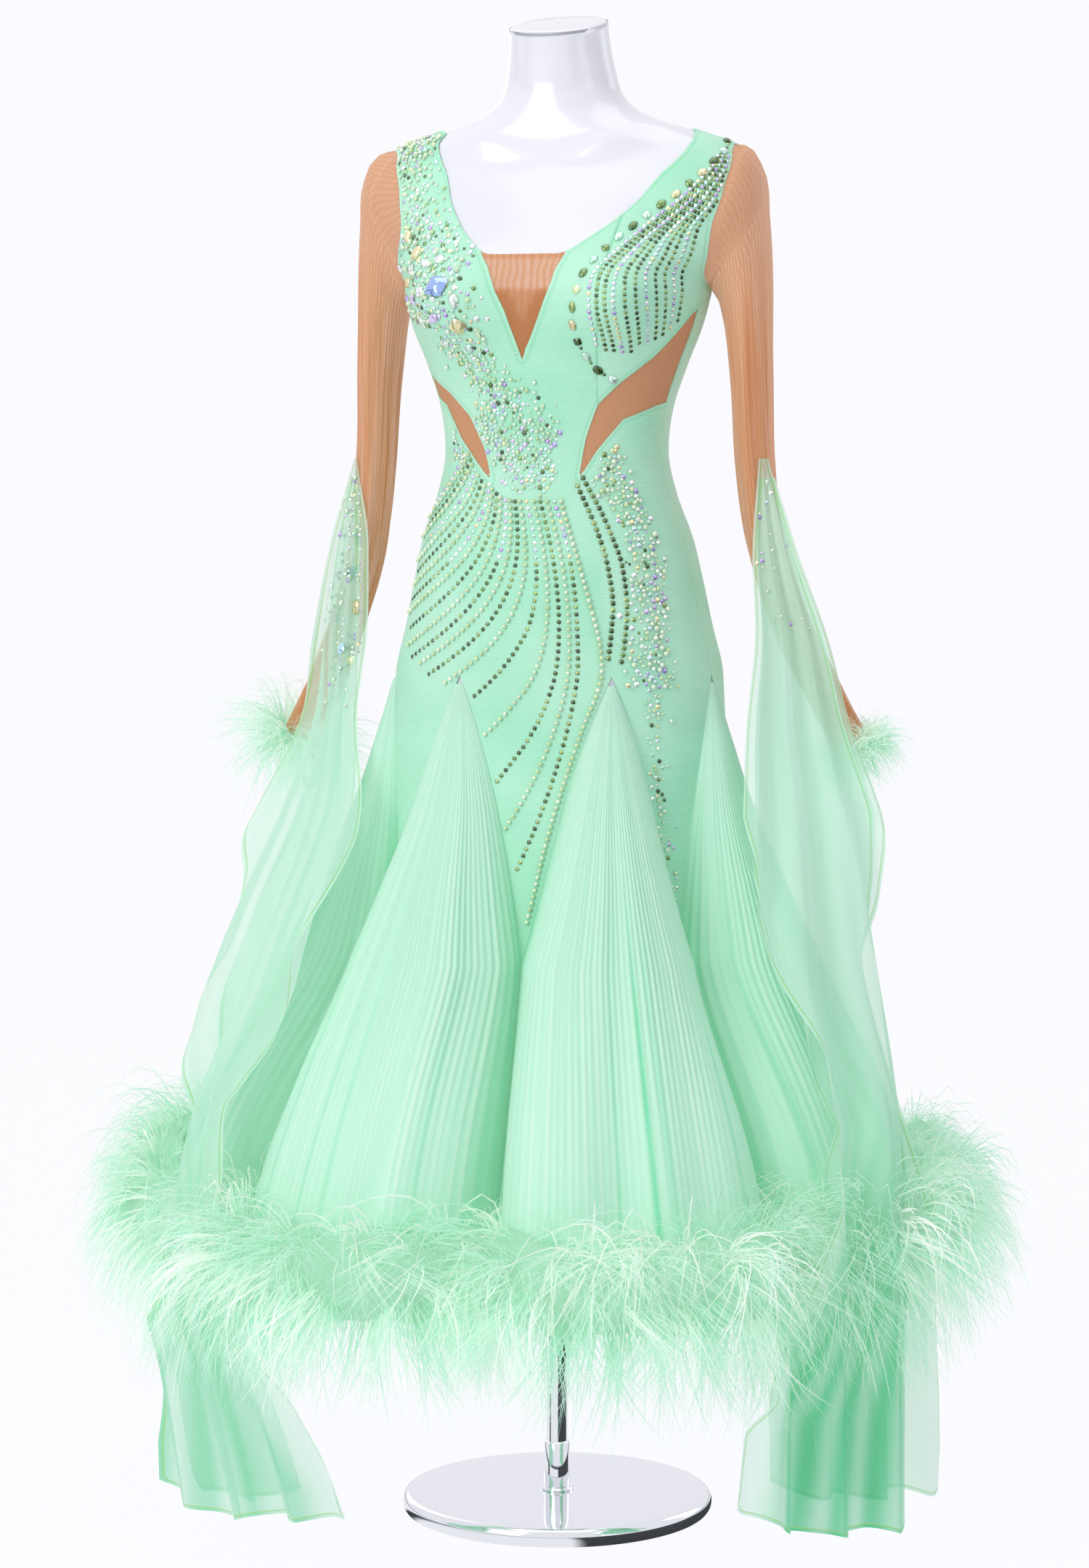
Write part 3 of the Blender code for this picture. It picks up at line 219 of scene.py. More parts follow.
FLOAT_RIGHT_ARM = tuple(FloatRow(*row) for row in (
    (1.104, -0.2167, -0.0097, -0.2235, 0.0025, 0), (1.01, -0.202, -0.015, -0.25, -0.004, 0.002),
    (0.92, -0.204, -0.017, -0.265, 0.001, 0.004), (0.835, -0.202, -0.06, -0.27, -0.002, 0.007),
    (0.745, -0.17, -0.14, -0.295, -0.04, 0.01), (0.6, -0.16, -0.295, -0.34, -0.125, 0.013),
    (0.45, -0.212, -0.345, -0.382, -0.175, 0.016), (0.3, -0.23, -0.385, -0.4, -0.215, 0.016),
    (0.18, -0.175, -0.375, -0.38, -0.23, 0.02), (0.038, -0.13, -0.355, -0.365, -0.22, 0.024),
))
FLOAT_LEFT_ARM = tuple(FloatRow(*row) for row in (
    (1.104, 0.2165, -0.0095, 0.2233, 0.0028, 0), (1.01, 0.212, -0.016, 0.252, -0.003, 0.002),
    (0.92, 0.216, -0.02, 0.28, 0.002, 0.004), (0.835, 0.212, -0.04, 0.3, 0, 0.007),
    (0.745, 0.218, -0.09, 0.335, -0.02, 0.01), (0.6, 0.24, -0.24, 0.375, -0.045, 0.013),
    (0.45, 0.285, -0.305, 0.415, -0.1, 0.016), (0.3, 0.305, -0.34, 0.43, -0.135, 0.016),
    (0.18, 0.305, -0.33, 0.43, -0.14, 0.02), (0.045, 0.3, -0.32, 0.43, -0.14, 0.024),
))


def hermite(t: Any, start: Any, start_slope: Any, end: Any, end_slope: Any) -> Any:
    """Cubic curve between two values, from its slope at each, at a share t of the way."""
    return ((2 * t**3 - 3 * t**2 + 1) * start + (t**3 - 2 * t**2 + t) * start_slope
            + (3 * t**2 - 2 * t**3) * end + (t**3 - t**2) * end_slope)


def smooth_columns(rows: Sequence[Any], heights: Any, *names: str) -> list[Array]:
    """Cubic curves through named columns of a table.

    Args:
        rows: Rows of the table, in rising height.
        heights: Heights at which they are read.
        names: Names of the columns.

    Returns:
        For each column its value at each height.
    """
    knots = np.array([row.height for row in rows])
    heights = np.asarray(heights, float)
    steps = np.diff(knots)
    index = np.clip(np.searchsorted(knots, heights) - 1, 0, len(knots) - 2)
    step = steps[index]
    t = (heights - knots[index]) / step
    columns = []
    for name in names:
        values = np.array([getattr(row, name) for row in rows])
        slopes = np.diff(values) / steps
        inner = np.where(slopes[1:] * slopes[:-1] <= 0, 0, (slopes[1:] + slopes[:-1]) / 2)
        tangents = np.concatenate([slopes[:1], inner, slopes[-1:]])
        columns.append(hermite(t, values[index], step * tangents[index],
                               values[index + 1], step * tangents[index + 1]))
    return columns


def superellipse(angles: Array, half_width: Array, half_depth: Array,
                 centre: Array, power: Any) -> tuple[Array, Array]:
    """Points of a rounded section, as x to the side and y to the back.

    Args:
        angles: Degrees off the front, towards the wearer's left.
        half_width: Half the section's width.
        half_depth: Half its depth.
        centre: Its middle in y.
        power: 1 for an ellipse, less for a fuller section.
    """
    sine, cosine = np.sin(np.radians(angles)), np.cos(np.radians(angles))
    x = half_width * np.sign(sine) * np.abs(sine) ** power
    return x, centre - half_depth * np.sign(cosine) * np.abs(cosine) ** power


def body_points(angles: Any, heights: Any) -> Array:
    """Points on the dress form's skin, from degrees off the front and heights."""
    angles, heights = np.broadcast_arrays(np.asarray(angles, float), np.asarray(heights, float))
    half_width, front, back = smooth_columns(BODY, heights, "half_width", "front", "back")
    x, y = superellipse(angles, half_width, (back - front) / 2, (back + front) / 2, BODY_ROUNDNESS)
    for side in (1, -1):
        across = (wrap(angles) - side * BUST_ANGLE) / BUST_SPREAD
        up = (heights - BUST_HEIGHT) / BUST_TALL
        fullness = np.exp(-across**2 - up**2)
        x = x + side * BUST_OUTWARD * fullness
        y = y - BUST_FORWARD * fullness
    return np.stack([x, y, heights], axis=-1)


def body_normals(angles: Any, heights: Any) -> Array:
    """Outward directions of the form's skin, from small steps along it."""
    around = body_points(angles + 0.5, heights) - body_points(angles - 0.5, heights)
    up = body_points(angles, heights + 0.002) - body_points(angles, heights - 0.002)
    return unit(np.cross(around, up))


def unit(vectors: Array) -> Array:
    """Vectors brought to length one."""
    return vectors / np.maximum(norm(vectors, axis=-1, keepdims=True), 1e-12)


def travelled(path: Array) -> Array:
    """Way covered along a path at each of its points."""
    return np.concatenate([[0], np.cumsum(norm(np.diff(path, axis=0), axis=1))])


def along_path(stops: Array, way: Array, values: Array) -> Array:
    """Values that belong to the points of a path, read at stops along it."""
    return np.stack([np.interp(stops, way, column) for column in values.T], axis=-1)


def point_half_angle(heights: Any) -> Array:
    """Half the angle that a point of crepe takes between two godets, in degrees."""
    t = np.clip((np.asarray(heights, float) - POINT_TIP) / (SKIRT_TOP - POINT_TIP), 0, 1)
    return SECTOR / 2 * (0.7 * t + 0.3 * t**4)


def godet_half_angle(heights: Any) -> Array:
    """Half the angle that a godet takes between two points of crepe, in degrees."""
    return SECTOR / 2 - point_half_angle(heights)


def skirt_points(angles: Any, heights: Any, hill: Any) -> Array:
    """Points on the skirt, from its valleys (hill 0) to the crests of its godets (hill 1)."""
    angles, heights = np.broadcast_arrays(np.asarray(angles, float), np.asarray(heights, float))
    width, depth, hill_width, hill_depth, centre = smooth_columns(
        SKIRT, heights, "valley_width", "valley_depth", "hill_width", "hill_depth", "centre")
    width, depth = width + (hill_width - width) * hill, depth + (hill_depth - depth) * hill
    round_off = np.clip((heights - POINT_TIP) / (SKIRT_TOP - POINT_TIP), 0, 1)
    x, y = superellipse(angles, width, depth, centre, 1 + (BODY_ROUNDNESS - 1) * round_off)
    return np.stack([x, y, heights], axis=-1)


def crepe_surface(angles: Any, heights: Any) -> tuple[Array, Array]:
    """Outside of the crepe, over the form and down its points, and its outward directions."""
    angles, heights = np.broadcast_arrays(np.asarray(angles, float), np.asarray(heights, float))
    upper = body_normals(angles, np.maximum(heights, SKIRT_TOP))
    on_body = body_points(angles, np.maximum(heights, SKIRT_TOP)) + upper * CLOTH_PROUD
    below = np.minimum(heights, SKIRT_TOP)
    on_skirt = skirt_points(angles, below, 0)
    around = skirt_points(angles + 0.5, below, 0) - skirt_points(angles - 0.5, below, 0)
    lower = unit(np.cross(around, on_skirt - skirt_points(angles, below - 0.004, 0)))
    body = (heights >= SKIRT_TOP)[..., None]
    return np.where(body, on_body, on_skirt), np.where(body, upper, lower)


def girth_height(heights: Any) -> Array:
    """Height measured along the body's side, so that the shoulder's top isn't squeezed."""
    levels = np.linspace(BODY[0].height, BODY[-1].height, 400)
    widths = smooth_columns(BODY, levels, "half_width")[0]
    lengths = np.concatenate([[0], np.cumsum(np.hypot(np.diff(levels), np.diff(widths)))])
    below = np.minimum(np.asarray(heights, float) - levels[0], 0)
    return np.interp(heights, levels, lengths) + below


def height_of_girth(girths: Any) -> Array:
    """Height of a place from its girth height."""
    levels = np.linspace(BODY[0].height, BODY[-1].height, 400)
    return np.interp(girths, girth_height(levels), levels) + np.minimum(girths, 0)


def flat_map(angles: Any, heights: Any) -> Array:
    """Place on the body as a flat pair: metres round it and metres up its side."""
    return np.stack([np.asarray(angles) * DEGREE_LENGTH, girth_height(heights)], axis=-1)


def flat_outline(corners: Sequence[tuple[float, float]], parts: int = 1) -> Array:
    """Closed outline in the flat map: straight from corner to corner, or curved in parts."""
    before, start, end, after = (np.roll(np.array(corners, float), -k, axis=0)[:, None]
                                 for k in (-1, 0, 1, 2))
    t = (np.arange(parts) / parts)[:, None]
    curve = hermite(t, start, (end - before) / 2, end, (after - start) / 2)
    return flat_map(*curve.reshape(-1, 2).T)


def inside_depth(outline: Array, places: Array) -> Array:
    """Signed distance of each place to an outline, positive inside it."""
    nearest = np.full(len(places), 1e9)
    inside = np.zeros(len(places), bool)
    for start, end in zip(outline, np.roll(outline, -1, axis=0)):
        along = end - start
        t = np.clip((places - start) @ along / max(along @ along, 1e-12), 0, 1)
        nearest = np.minimum(nearest, norm(places - start - t[:, None] * along, axis=1))
        crosses = (start[1] > places[:, 1]) != (end[1] > places[:, 1])
        rise = along[1] if abs(along[1]) > 1e-12 else 1e-12
        inside ^= crosses & (places[:, 0] < start[0] + (places[:, 1] - start[1]) * along[0] / rise)
    return np.where(inside, nearest, -nearest)


def above_neckline(angles: Array, heights: Array) -> Array:
    """How far each place lies above the neckline, measured along the body's side."""
    knots = np.array(NECKLINE, float)
    line = sum(np.interp(angles + turn, knots[:, 0], girth_height(knots[:, 1]))
               for turn in (-2.4, -1.2, 0, 1.2, 2.4)) / 5
    return girth_height(heights) - line


def wrap(angle: Any) -> Array:
    """Angle from the front between -180 and 180 degrees."""
    return (np.asarray(angle) + 180) % 360 - 180


class Edge(Enum):
    """Outlines on the dress, as columns of the table of depths."""

    NECK = 0
    LEFT_ARM = 1
    RIGHT_ARM = 2
    INSERT = 3
    LEFT_CUT = 4
    RIGHT_CUT = 5
    CUP = 6


def outline_depths(angles: Array, heights: Array, nudge: float = EDGE_NUDGE) -> Array:
    """Depths inside every outline.

    Args:
        angles: Degrees off the front, one for each place.
        heights: Heights of the places.
        nudge: Least distance that a place keeps from an edge.

    Returns:
        A row for each place, with a column for each Edge.
    """
    angles = wrap(angles)
    places = flat_map(angles, heights)
    outlines = [flat_outline(corners, 6) for corners in (ARMHOLE_LEFT_ARM, ARMHOLE_RIGHT_ARM)]
    outlines += [flat_outline(corners) for corners in (
        NECK_INSERT, CUTOUT_LEFT_SIDE, CUTOUT_RIGHT_SIDE, CUP)]
    depths = np.stack([above_neckline(angles, heights)]
                      + [inside_depth(outline, places) for outline in outlines], axis=-1)
    return np.where(np.abs(depths) < nudge, np.where(depths < 0, -nudge, nudge), depths)


def linear(colour: str) -> tuple[float, float, float, float]:
    """Scene-linear colour with full alpha from an sRGB hex value."""
    values = (int(colour[start:start + 2], 16) / 255 for start in (1, 3, 5))
    red, green, blue = (value / 12.92 if value <= 0.04045 else ((value + 0.055) / 1.055) ** 2.4
                        for value in values)
    return red, green, blue, 1.0


def add_node(tree: NodeTree, kind: str, settings: Optional[dict] = None,
             out: Any = 0) -> Optional[NodeSocket]:
    """Add a node with its settings and links.

    Args:
        tree: Node tree that it joins.
        kind: Type of the node, without the ShaderNode that every type starts with.
        settings: Its properties, and by name or number what its inputs get: a value, an sRGB
            hex colour or the socket that feeds it.
        out: Name or number of the output that is given back.

    Returns:
        That output, or nothing for a node that ends a tree.
    """
    node = tree.nodes.new("ShaderNode" + kind)
    for key, value in (settings or {}).items():
        if isinstance(value, NodeSocket):
            tree.links.new(value, node.inputs[key])
        elif isinstance(key, int) or key in node.inputs:
            is_colour = isinstance(value, str) and value.startswith("#")
            node.inputs[key].default_value = linear(value) if is_colour else value
        else:
            setattr(node, key, value)
    return node.outputs[out] if len(node.outputs) else None


def span(low: float, high: float, start: float = 0.0, end: float = 1.0) -> dict[str, Any]:
    """Settings that bring values smoothly from one range, low to high, to another."""
    return {"interpolation_type": "SMOOTHSTEP", "From Min": low, "From Max": high,
            "To Min": start, "To Max": end}


def lay_over(tree: NodeTree, colour: Any, *layers: tuple) -> NodeSocket:
    """Lay colours over another.

    Args:
        tree: Node tree.
        colour: Colour that lies lowest, as a hex value or a socket.
        layers: For each its colour and the socket that says how much of it shows, and where
            that share comes from a range of values, what span gets.

    Returns:
        Socket of the colour that results.
    """
    for over, share, *ranges in layers:
        if ranges:
            share = add_node(tree, "MapRange", {"Value": share, **span(*ranges)})
        colour = add_node(tree, "Mix", {"data_type": "RGBA", 0: share, 6: colour, 7: over}, 2)
    return colour


def line_by_edge(tree: NodeTree, distance: float, *ranges: float) -> NodeSocket:
    """Mask of a line that runs at a distance from the cloth's edge and fades to its sides."""
    edge = add_node(tree, "Attribute", {"attribute_name": "edge"}, "Fac")
    beside = add_node(tree, "Math", {"operation": "SUBTRACT", 0: edge, 1: distance})
    beside = add_node(tree, "Math", {"operation": "ABSOLUTE", 0: beside})
    return add_node(tree, "MapRange", {"Value": beside, **span(*ranges)})


def cloth_shader(tree: NodeTree, colour: NodeSocket, face: dict, through: float,
                 cover: Optional[NodeSocket] = None) -> NodeSocket:
    """Shader of something thin that light also comes through.

    Args:
        tree: Node tree.
        colour: Its colour.
        face: Settings of its surface.
        through: Share of the light that comes through its threads.
        cover: Share of it that threads take up, if it is open between them.

    Returns:
        Socket of the shader.
    """
    threads = add_node(tree, "MixShader", {
        0: through, 1: add_node(tree, "BsdfPrincipled", {"Base Color": colour, **face}),
        2: add_node(tree, "BsdfTranslucent", {"Color": colour})})
    if cover is None:
        return threads
    return add_node(tree, "MixShader", {0: cover, 1: add_node(tree, "BsdfTransparent"), 2: threads})


def band_scale(pitch: float) -> float:
    """Scale of a wave texture whose bands repeat at a pitch in metres."""
    return math.pi / 10 / pitch


@dataclass(frozen=True)
class Finish:
    """What every finish has: a name, and a material made from its own shader."""

    name: str

    def build(self) -> Material:
        """Make the material."""
        material = bpy.data.materials.new(self.name)
        material.use_nodes = True
        tree = material.node_tree
        tree.nodes.clear()
        add_node(tree, "OutputMaterial", {"Surface": self.shader(tree)})
        return material

    def shader(self, tree: NodeTree) -> NodeSocket:
        """Add the finish's nodes and give back its shader."""
        raise NotImplementedError


@dataclass(frozen=True)
class CrepeFinish(Finish):
    """Stretch crepe of polyester and elastane, warp-knitted and piece-dyed mint.

    It is matt and even, with fine crosswise knit lines and a turned, stitched edge.
    """

    name: str = "stretch_crepe_mint"
    colour: str = "#C0F1D8"
    shade: str = "#ACEACB"
    thread: str = "#74D6A0"
    # Knit courses are 0.5 mm apart; they are drawn at 2.2 mm so that they show
    course_pitch: float = 0.0022
    stitch_from_edge: float = 0.0042
    stitch_width: float = 0.0007
    thread_share: float = 0.32
    groove_depth: float = 2.2

    def shader(self, tree: NodeTree) -> NodeSocket:
        """Knit lines and a soft mottle, with grooves at the stitches and the seams."""
        place = add_node(tree, "Attribute", {"attribute_name": "cloth"}, "Vector")
        courses = add_node(tree, "TexWave", {
            "bands_direction": "Y", "Scale": band_scale(self.course_pitch), "Distortion": 0.6,
            "Detail": 1.0, "Detail Scale": 0.4, "Vector": place}, "Fac")
        mottle = add_node(tree, "TexNoise", {"Scale": 9.0, "Detail": 3.0, "Vector": place}, "Fac")
        stitch = line_by_edge(
            tree, self.stitch_from_edge, self.stitch_width, self.stitch_width * 2.4, 1.0, 0.0)
        off_seam = add_node(tree, "Attribute", {"attribute_name": "seam"}, "Fac")
        seam = add_node(tree, "MapRange", {"Value": off_seam, **span(0.0006, 0.0030, 1.0, 0.0)})
        groove = add_node(tree, "Math", {"operation": "MAXIMUM", 0: stitch, 1: seam})
        marked = add_node(tree, "Math", {"operation": "MULTIPLY", 0: groove, 1: self.thread_share})
        colour = lay_over(tree, self.colour, (self.shade, mottle, 0.35, 0.75),
                          (self.thread, courses, 0.2, 0.9, 0.0, 0.22), (self.thread, marked))
        height = add_node(tree, "Math", {
            "operation": "MULTIPLY_ADD", 0: groove, 1: -self.groove_depth, 2: courses})
        bump = add_node(tree, "Bump", {"Strength": 0.32, "Distance": 0.0006, "Height": height})
        return cloth_shader(tree, colour, {
            "Roughness": 0.62, "Sheen Weight": 0.25, "Sheen Roughness": 0.5, "Normal": bump,
            "Specular IOR Level": 0.35, "Subsurface Weight": 0.05, "Subsurface Scale": 0.01}, 0.08)


@dataclass(frozen=True)
class MeshFinish(Finish):
    """Power mesh of nylon and elastane in a tan nude, knitted with open holes.

    One layer lets the form or the background show through, and two look clearly darker.
    """

    name: str = "power_mesh_nude"
    colour: str = "#F2B98C"
    dark: str = "#C98550"
    cover: float = 0.58
    double_cover: float = 0.42
    # Holes are 0.8 mm apart and only show as a faint streaking, so that is what is drawn
    streak_pitch: float = 0.0055
    streak_shade: float = 0.34
    streak_cover: float = 0.22

    def shader(self, tree: NodeTree) -> NodeSocket:
        """Streaks and double layers, both darker and closer than a single layer, and on the sleeves a
        little painted shade in the hollows of their folds.
        """
        place = add_node(tree, "Attribute", {"attribute_name": "cloth"}, "Vector")
        double = add_node(tree, "Attribute", {"attribute_name": "double"}, "Fac")
        streaks = add_node(tree, "TexWave", {
            "bands_direction": "X", "Scale": band_scale(self.streak_pitch), "Distortion": 3.5,
            "Detail": 2.0, "Detail Scale": 0.8, "Vector": place}, "Fac")
        shade = add_node(tree, "Math", {"operation": "MULTIPLY", 0: streaks, 1: self.streak_shade})
        colour = lay_over(tree, self.colour, (self.dark, double), (self.dark, shade))
        cover = self.cover
        for mask, share in ((double, self.double_cover), (streaks, self.streak_cover)):
            cover = add_node(tree, "Math", {
                "operation": "MULTIPLY_ADD", "use_clamp": True, 0: mask, 1: share, 2: cover})
        return cloth_shader(tree, colour, {
            "Roughness": 0.55, "Sheen Weight": 0.2, "Specular IOR Level": 0.3}, 0.35, cover)


@dataclass(frozen=True)
class OrganzaFinish(Finish):
    """Polyester organza over satin, heat-set in fine sunray pleats.

    Pale lines on the crests are a painted highlight, and the deep green at the godets' sides and in
    their folds is painted shade.
    """

    name: str = "pleated_organza_mint"
    # Colours of the painted crest highlight, of the face, and of the painted shade in the folds
    crest: str = "#E4FDEF"
    face: str = "#CEF9E2"
    deep: str = "#7FE4B4"
    through: float = 0.30
    # Threads are 0.25 mm apart, drawn at 1.4 mm so that the sheen breaks up
    thread_pitch: float = 0.0014

    def shader(self, tree: NodeTree) -> NodeSocket:
        """Painted highlight on the crests and painted shade in the folds, on a fine weave."""
        place = add_node(tree, "Attribute", {"attribute_name": "cloth"}, "Vector")
        crest, fold = (add_node(tree, "Attribute", {"attribute_name": name}, "Fac")
                       for name in ("crest", "fold"))
        mottle = add_node(tree, "TexNoise", {"Scale": 14.0, "Detail": 2.0, "Vector": place}, "Fac")
        threads = add_node(tree, "TexWave", {
            "bands_direction": "Y", "Scale": band_scale(self.thread_pitch), "Distortion": 0.4,
            "Vector": place}, "Fac")
        colour = lay_over(tree, self.face, (self.crest, crest, 0.15, 1.0), (self.deep, fold),
                          (self.face, mottle, 0.4, 0.8, 0.0, 0.25))
        bump = add_node(tree, "Bump", {"Strength": 0.12, "Distance": 0.0003, "Height": threads})
        return cloth_shader(tree, colour, {
            "Roughness": 0.42, "Sheen Weight": 0.3, "Sheen Roughness": 0.35,
            "Specular IOR Level": 0.4, "Normal": bump}, self.through)


@dataclass(frozen=True)
class ChiffonFinish(Finish):
    """Silk chiffon, plain-woven and sheer, with a rolled hem in a yellower thread.

    One layer is pale and see-through, and where layers lie over each other it goes deep.
    """

    name: str = "silk_chiffon_mint"
    colour: str = "#E4FBF0"
    cloud: str = "#DBFBEC"
    doubled: str = "#62DBA4"
    thread: str = "#A6E08F"
    cover: float = 0.62
    double_cover: float = 0.30
    hem_from_edge: float = 0.0035
    hem_width: float = 0.0009

    def shader(self, tree: NodeTree) -> NodeSocket:
        """Deep where the cloth lies double, with a closer turned edge and its thread."""
        place = add_node(tree, "Attribute", {"attribute_name": "cloth"}, "Vector")
        edge, deep = (add_node(tree, "Attribute", {"attribute_name": name}, "Fac")
                      for name in ("edge", "deep"))
        hem = line_by_edge(
            tree, self.hem_from_edge, self.hem_width * 0.6, self.hem_width * 1.6, 0.75, 0.0)
        mottle = add_node(tree, "TexNoise", {"Scale": 6.0, "Detail": 3.0, "Vector": place}, "Fac")
        colour = lay_over(tree, self.colour, (self.cloud, mottle, 0.35, 0.75, 0.0, 0.35),
                          (self.doubled, deep), (self.thread, hem))
        turned = add_node(tree, "MapRange", {"Value": edge, **span(0.0036, 0.0046, 0.16, 0.0)})
        closer = add_node(tree, "Math", {
            "operation": "MULTIPLY_ADD", 0: deep, 1: self.double_cover, 2: turned})
        cover = add_node(tree, "Math", {
            "operation": "ADD", "use_clamp": True, 0: closer, 1: self.cover})
        return cloth_shader(tree, colour, {
            "Roughness": 0.6, "Sheen Weight": 0.3, "Specular IOR Level": 0.3}, 0.45, cover)


@dataclass(frozen=True)
class FeatherFinish(Finish):
    """Ostrich feather, dyed mint: long limp barbs that pale towards their tips, deeper at the roots as
    painted shade inside the trim.
    """

    name: str = "ostrich_feather_mint"
    # The deeper mint at the roots is painted shade inside the trim
    root: str = "#66D8A7"
    middle: str = "#C2F2DC"
    tip: str = "#FFFFFC"
    # Painted glow: an emission in this colour and strength that stands in for the light that the down
    # passes on from barb to barb
    down: str = "#F6F2EE"
    lift: float = 0.18
    through: float = 0.50

    def shader(self, tree: NodeTree) -> NodeSocket:
        """Deeper at the roots as painted shade, with some barbs paler than others, in part as painted
        highlight, and a faint painted glow.
        """
        along, tone = (add_node(tree, "Attribute", {"attribute_name": name}, "Fac")
                       for name in ("along", "tone"))
        colour = lay_over(tree, self.root, (self.middle, along, 0.0, 0.6), (self.tip, tone))
        return cloth_shader(tree, colour, {
            "Roughness": 0.85, "Specular IOR Level": 0.15, "Sheen Weight": 0.2,
            "Emission Color": self.down, "Emission Strength": self.lift}, self.through)


@dataclass(frozen=True)
class LacquerFinish(Finish):
    """Glass fibre torso sprayed in white gloss lacquer: a hard, clear reflection over white."""

    name: str = "white_gloss_lacquer"
    colour: str = "#DEDEE5"
    cloud: str = "#D8D9E1"

    def shader(self, tree: NodeTree) -> NodeSocket:
        """White under a clear coat."""
        place = add_node(tree, "TexCoord", out="Object")
        # The sprayed skin has a faint orange peel, about 12 mm across
        peel = add_node(tree, "TexNoise", {"Scale": 80.0, "Detail": 1.0, "Vector": place}, "Fac")
        cloud = add_node(tree, "TexNoise", {"Scale": 3.0, "Vector": place}, "Fac")
        return add_node(tree, "BsdfPrincipled", {
            "Base Color": lay_over(tree, self.colour, (self.cloud, cloud, 0.3, 0.7, 0.0, 0.25)),
            "Roughness": 0.22, "Coat Weight": 0.45, "Coat Roughness": 0.06,
            "Normal": add_node(tree, "Bump", {"Strength": 0.02, "Distance": 0.0005, "Height": peel})})


@dataclass(frozen=True)
class ChromeFinish(Finish):
    """Polished steel with bright chrome plate: a mirror that takes its look from the room."""

    name: str = "bright_chrome"
    colour: str = "#E9EAEE"

    def shader(self, tree: NodeTree) -> NodeSocket:
        """A mirror with a faint haze."""
        place = add_node(tree, "TexCoord", out="Object")
        haze = add_node(tree, "TexNoise", {"Scale": 25.0, "Detail": 4.0, "Vector": place}, "Fac")
        rough = add_node(tree, "MapRange", {"Value": haze, **span(0.3, 0.8, 0.05, 0.10)})
        return add_node(tree, "BsdfPrincipled", {
            "Base Color": self.colour, "Metallic": 1.0, "Roughness": rough})


@dataclass(frozen=True)
class ElasticFinish(Finish):
    """Covered elastic in a dark tan, woven with ribs across it every 1.2 mm."""

    name: str = "woven_elastic_tan"
    colour: str = "#A5602F"
    rib: str = "#7C4421"
    rib_pitch: float = 0.0012

    def shader(self, tree: NodeTree) -> NodeSocket:
        """Ribs that show in colour and in relief."""
        place = add_node(tree, "Attribute", {"attribute_name": "cloth"}, "Vector")
        ribs = add_node(tree, "TexWave", {
            "bands_direction": "X", "Scale": band_scale(self.rib_pitch), "Vector": place}, "Fac")
        return add_node(tree, "BsdfPrincipled", {
            "Base Color": lay_over(tree, self.colour, (self.rib, ribs, 0.0, 1.0, 0.0, 0.4)),
            "Roughness": 0.6, "Sheen Weight": 0.2,
            "Normal": add_node(tree, "Bump", {"Strength": 0.3, "Distance": 0.0003, "Height": ribs})})


@dataclass(frozen=True)
class PearlFinish(Finish):
    """Glass pearls in a pale green lacquer: a soft highlight over a silky body."""

    name: str = "glass_pearl_green"
    pooled: str = "#9DBE7C"

    def shader(self, tree: NodeTree) -> NodeSocket:
        """Each pearl's tint under a soft coat."""
        tint = add_node(tree, "Attribute", {"attribute_name": "tint"}, "Color")
        # The lacquer pools a little thicker here and there, about 3 mm across
        pool = add_node(tree, "TexNoise", {
            "Scale": 330.0, "Detail": 1.0, "Vector": add_node(tree, "TexCoord", out="Object")}, "Fac")
        return add_node(tree, "BsdfPrincipled", {
            "Base Color": lay_over(tree, tint, (self.pooled, pool, 0.35, 0.75, 0.0, 0.35)),
            "Roughness": 0.24, "Coat Weight": 0.6, "Coat Roughness": 0.08, "Metallic": 0.12})


@dataclass(frozen=True)
class CrystalFinish(Finish):
    """Machine-cut lead-free crystal with a foiled back, so each facet throws back the light."""

    name: str = "foiled_crystal"
    coating: float = 0.30

    def shader(self, tree: NodeTree) -> NodeSocket:
        """Each stone's tint with a coating that plays over its facets."""
        tint = add_node(tree, "Attribute", {"attribute_name": "tint"}, "Color")
        # The coating changes hue from facet to facet, a few millimetres across
        fire = add_node(tree, "TexNoise", {
            "Scale": 420.0, "Detail": 0.0, "Vector": add_node(tree, "TexCoord", out="Object")}, "Color")
        colour = add_node(tree, "Mix", {
            "data_type": "RGBA", "blend_type": "SOFT_LIGHT", 0: self.coating, 6: tint, 7: fire}, 2)
        return add_node(tree, "BsdfPrincipled", {
            "Base Color": colour, "Roughness": 0.07, "Metallic": 0.55, "IOR": 1.6,
            "Coat Weight": 1.0, "Coat Roughness": 0.02})


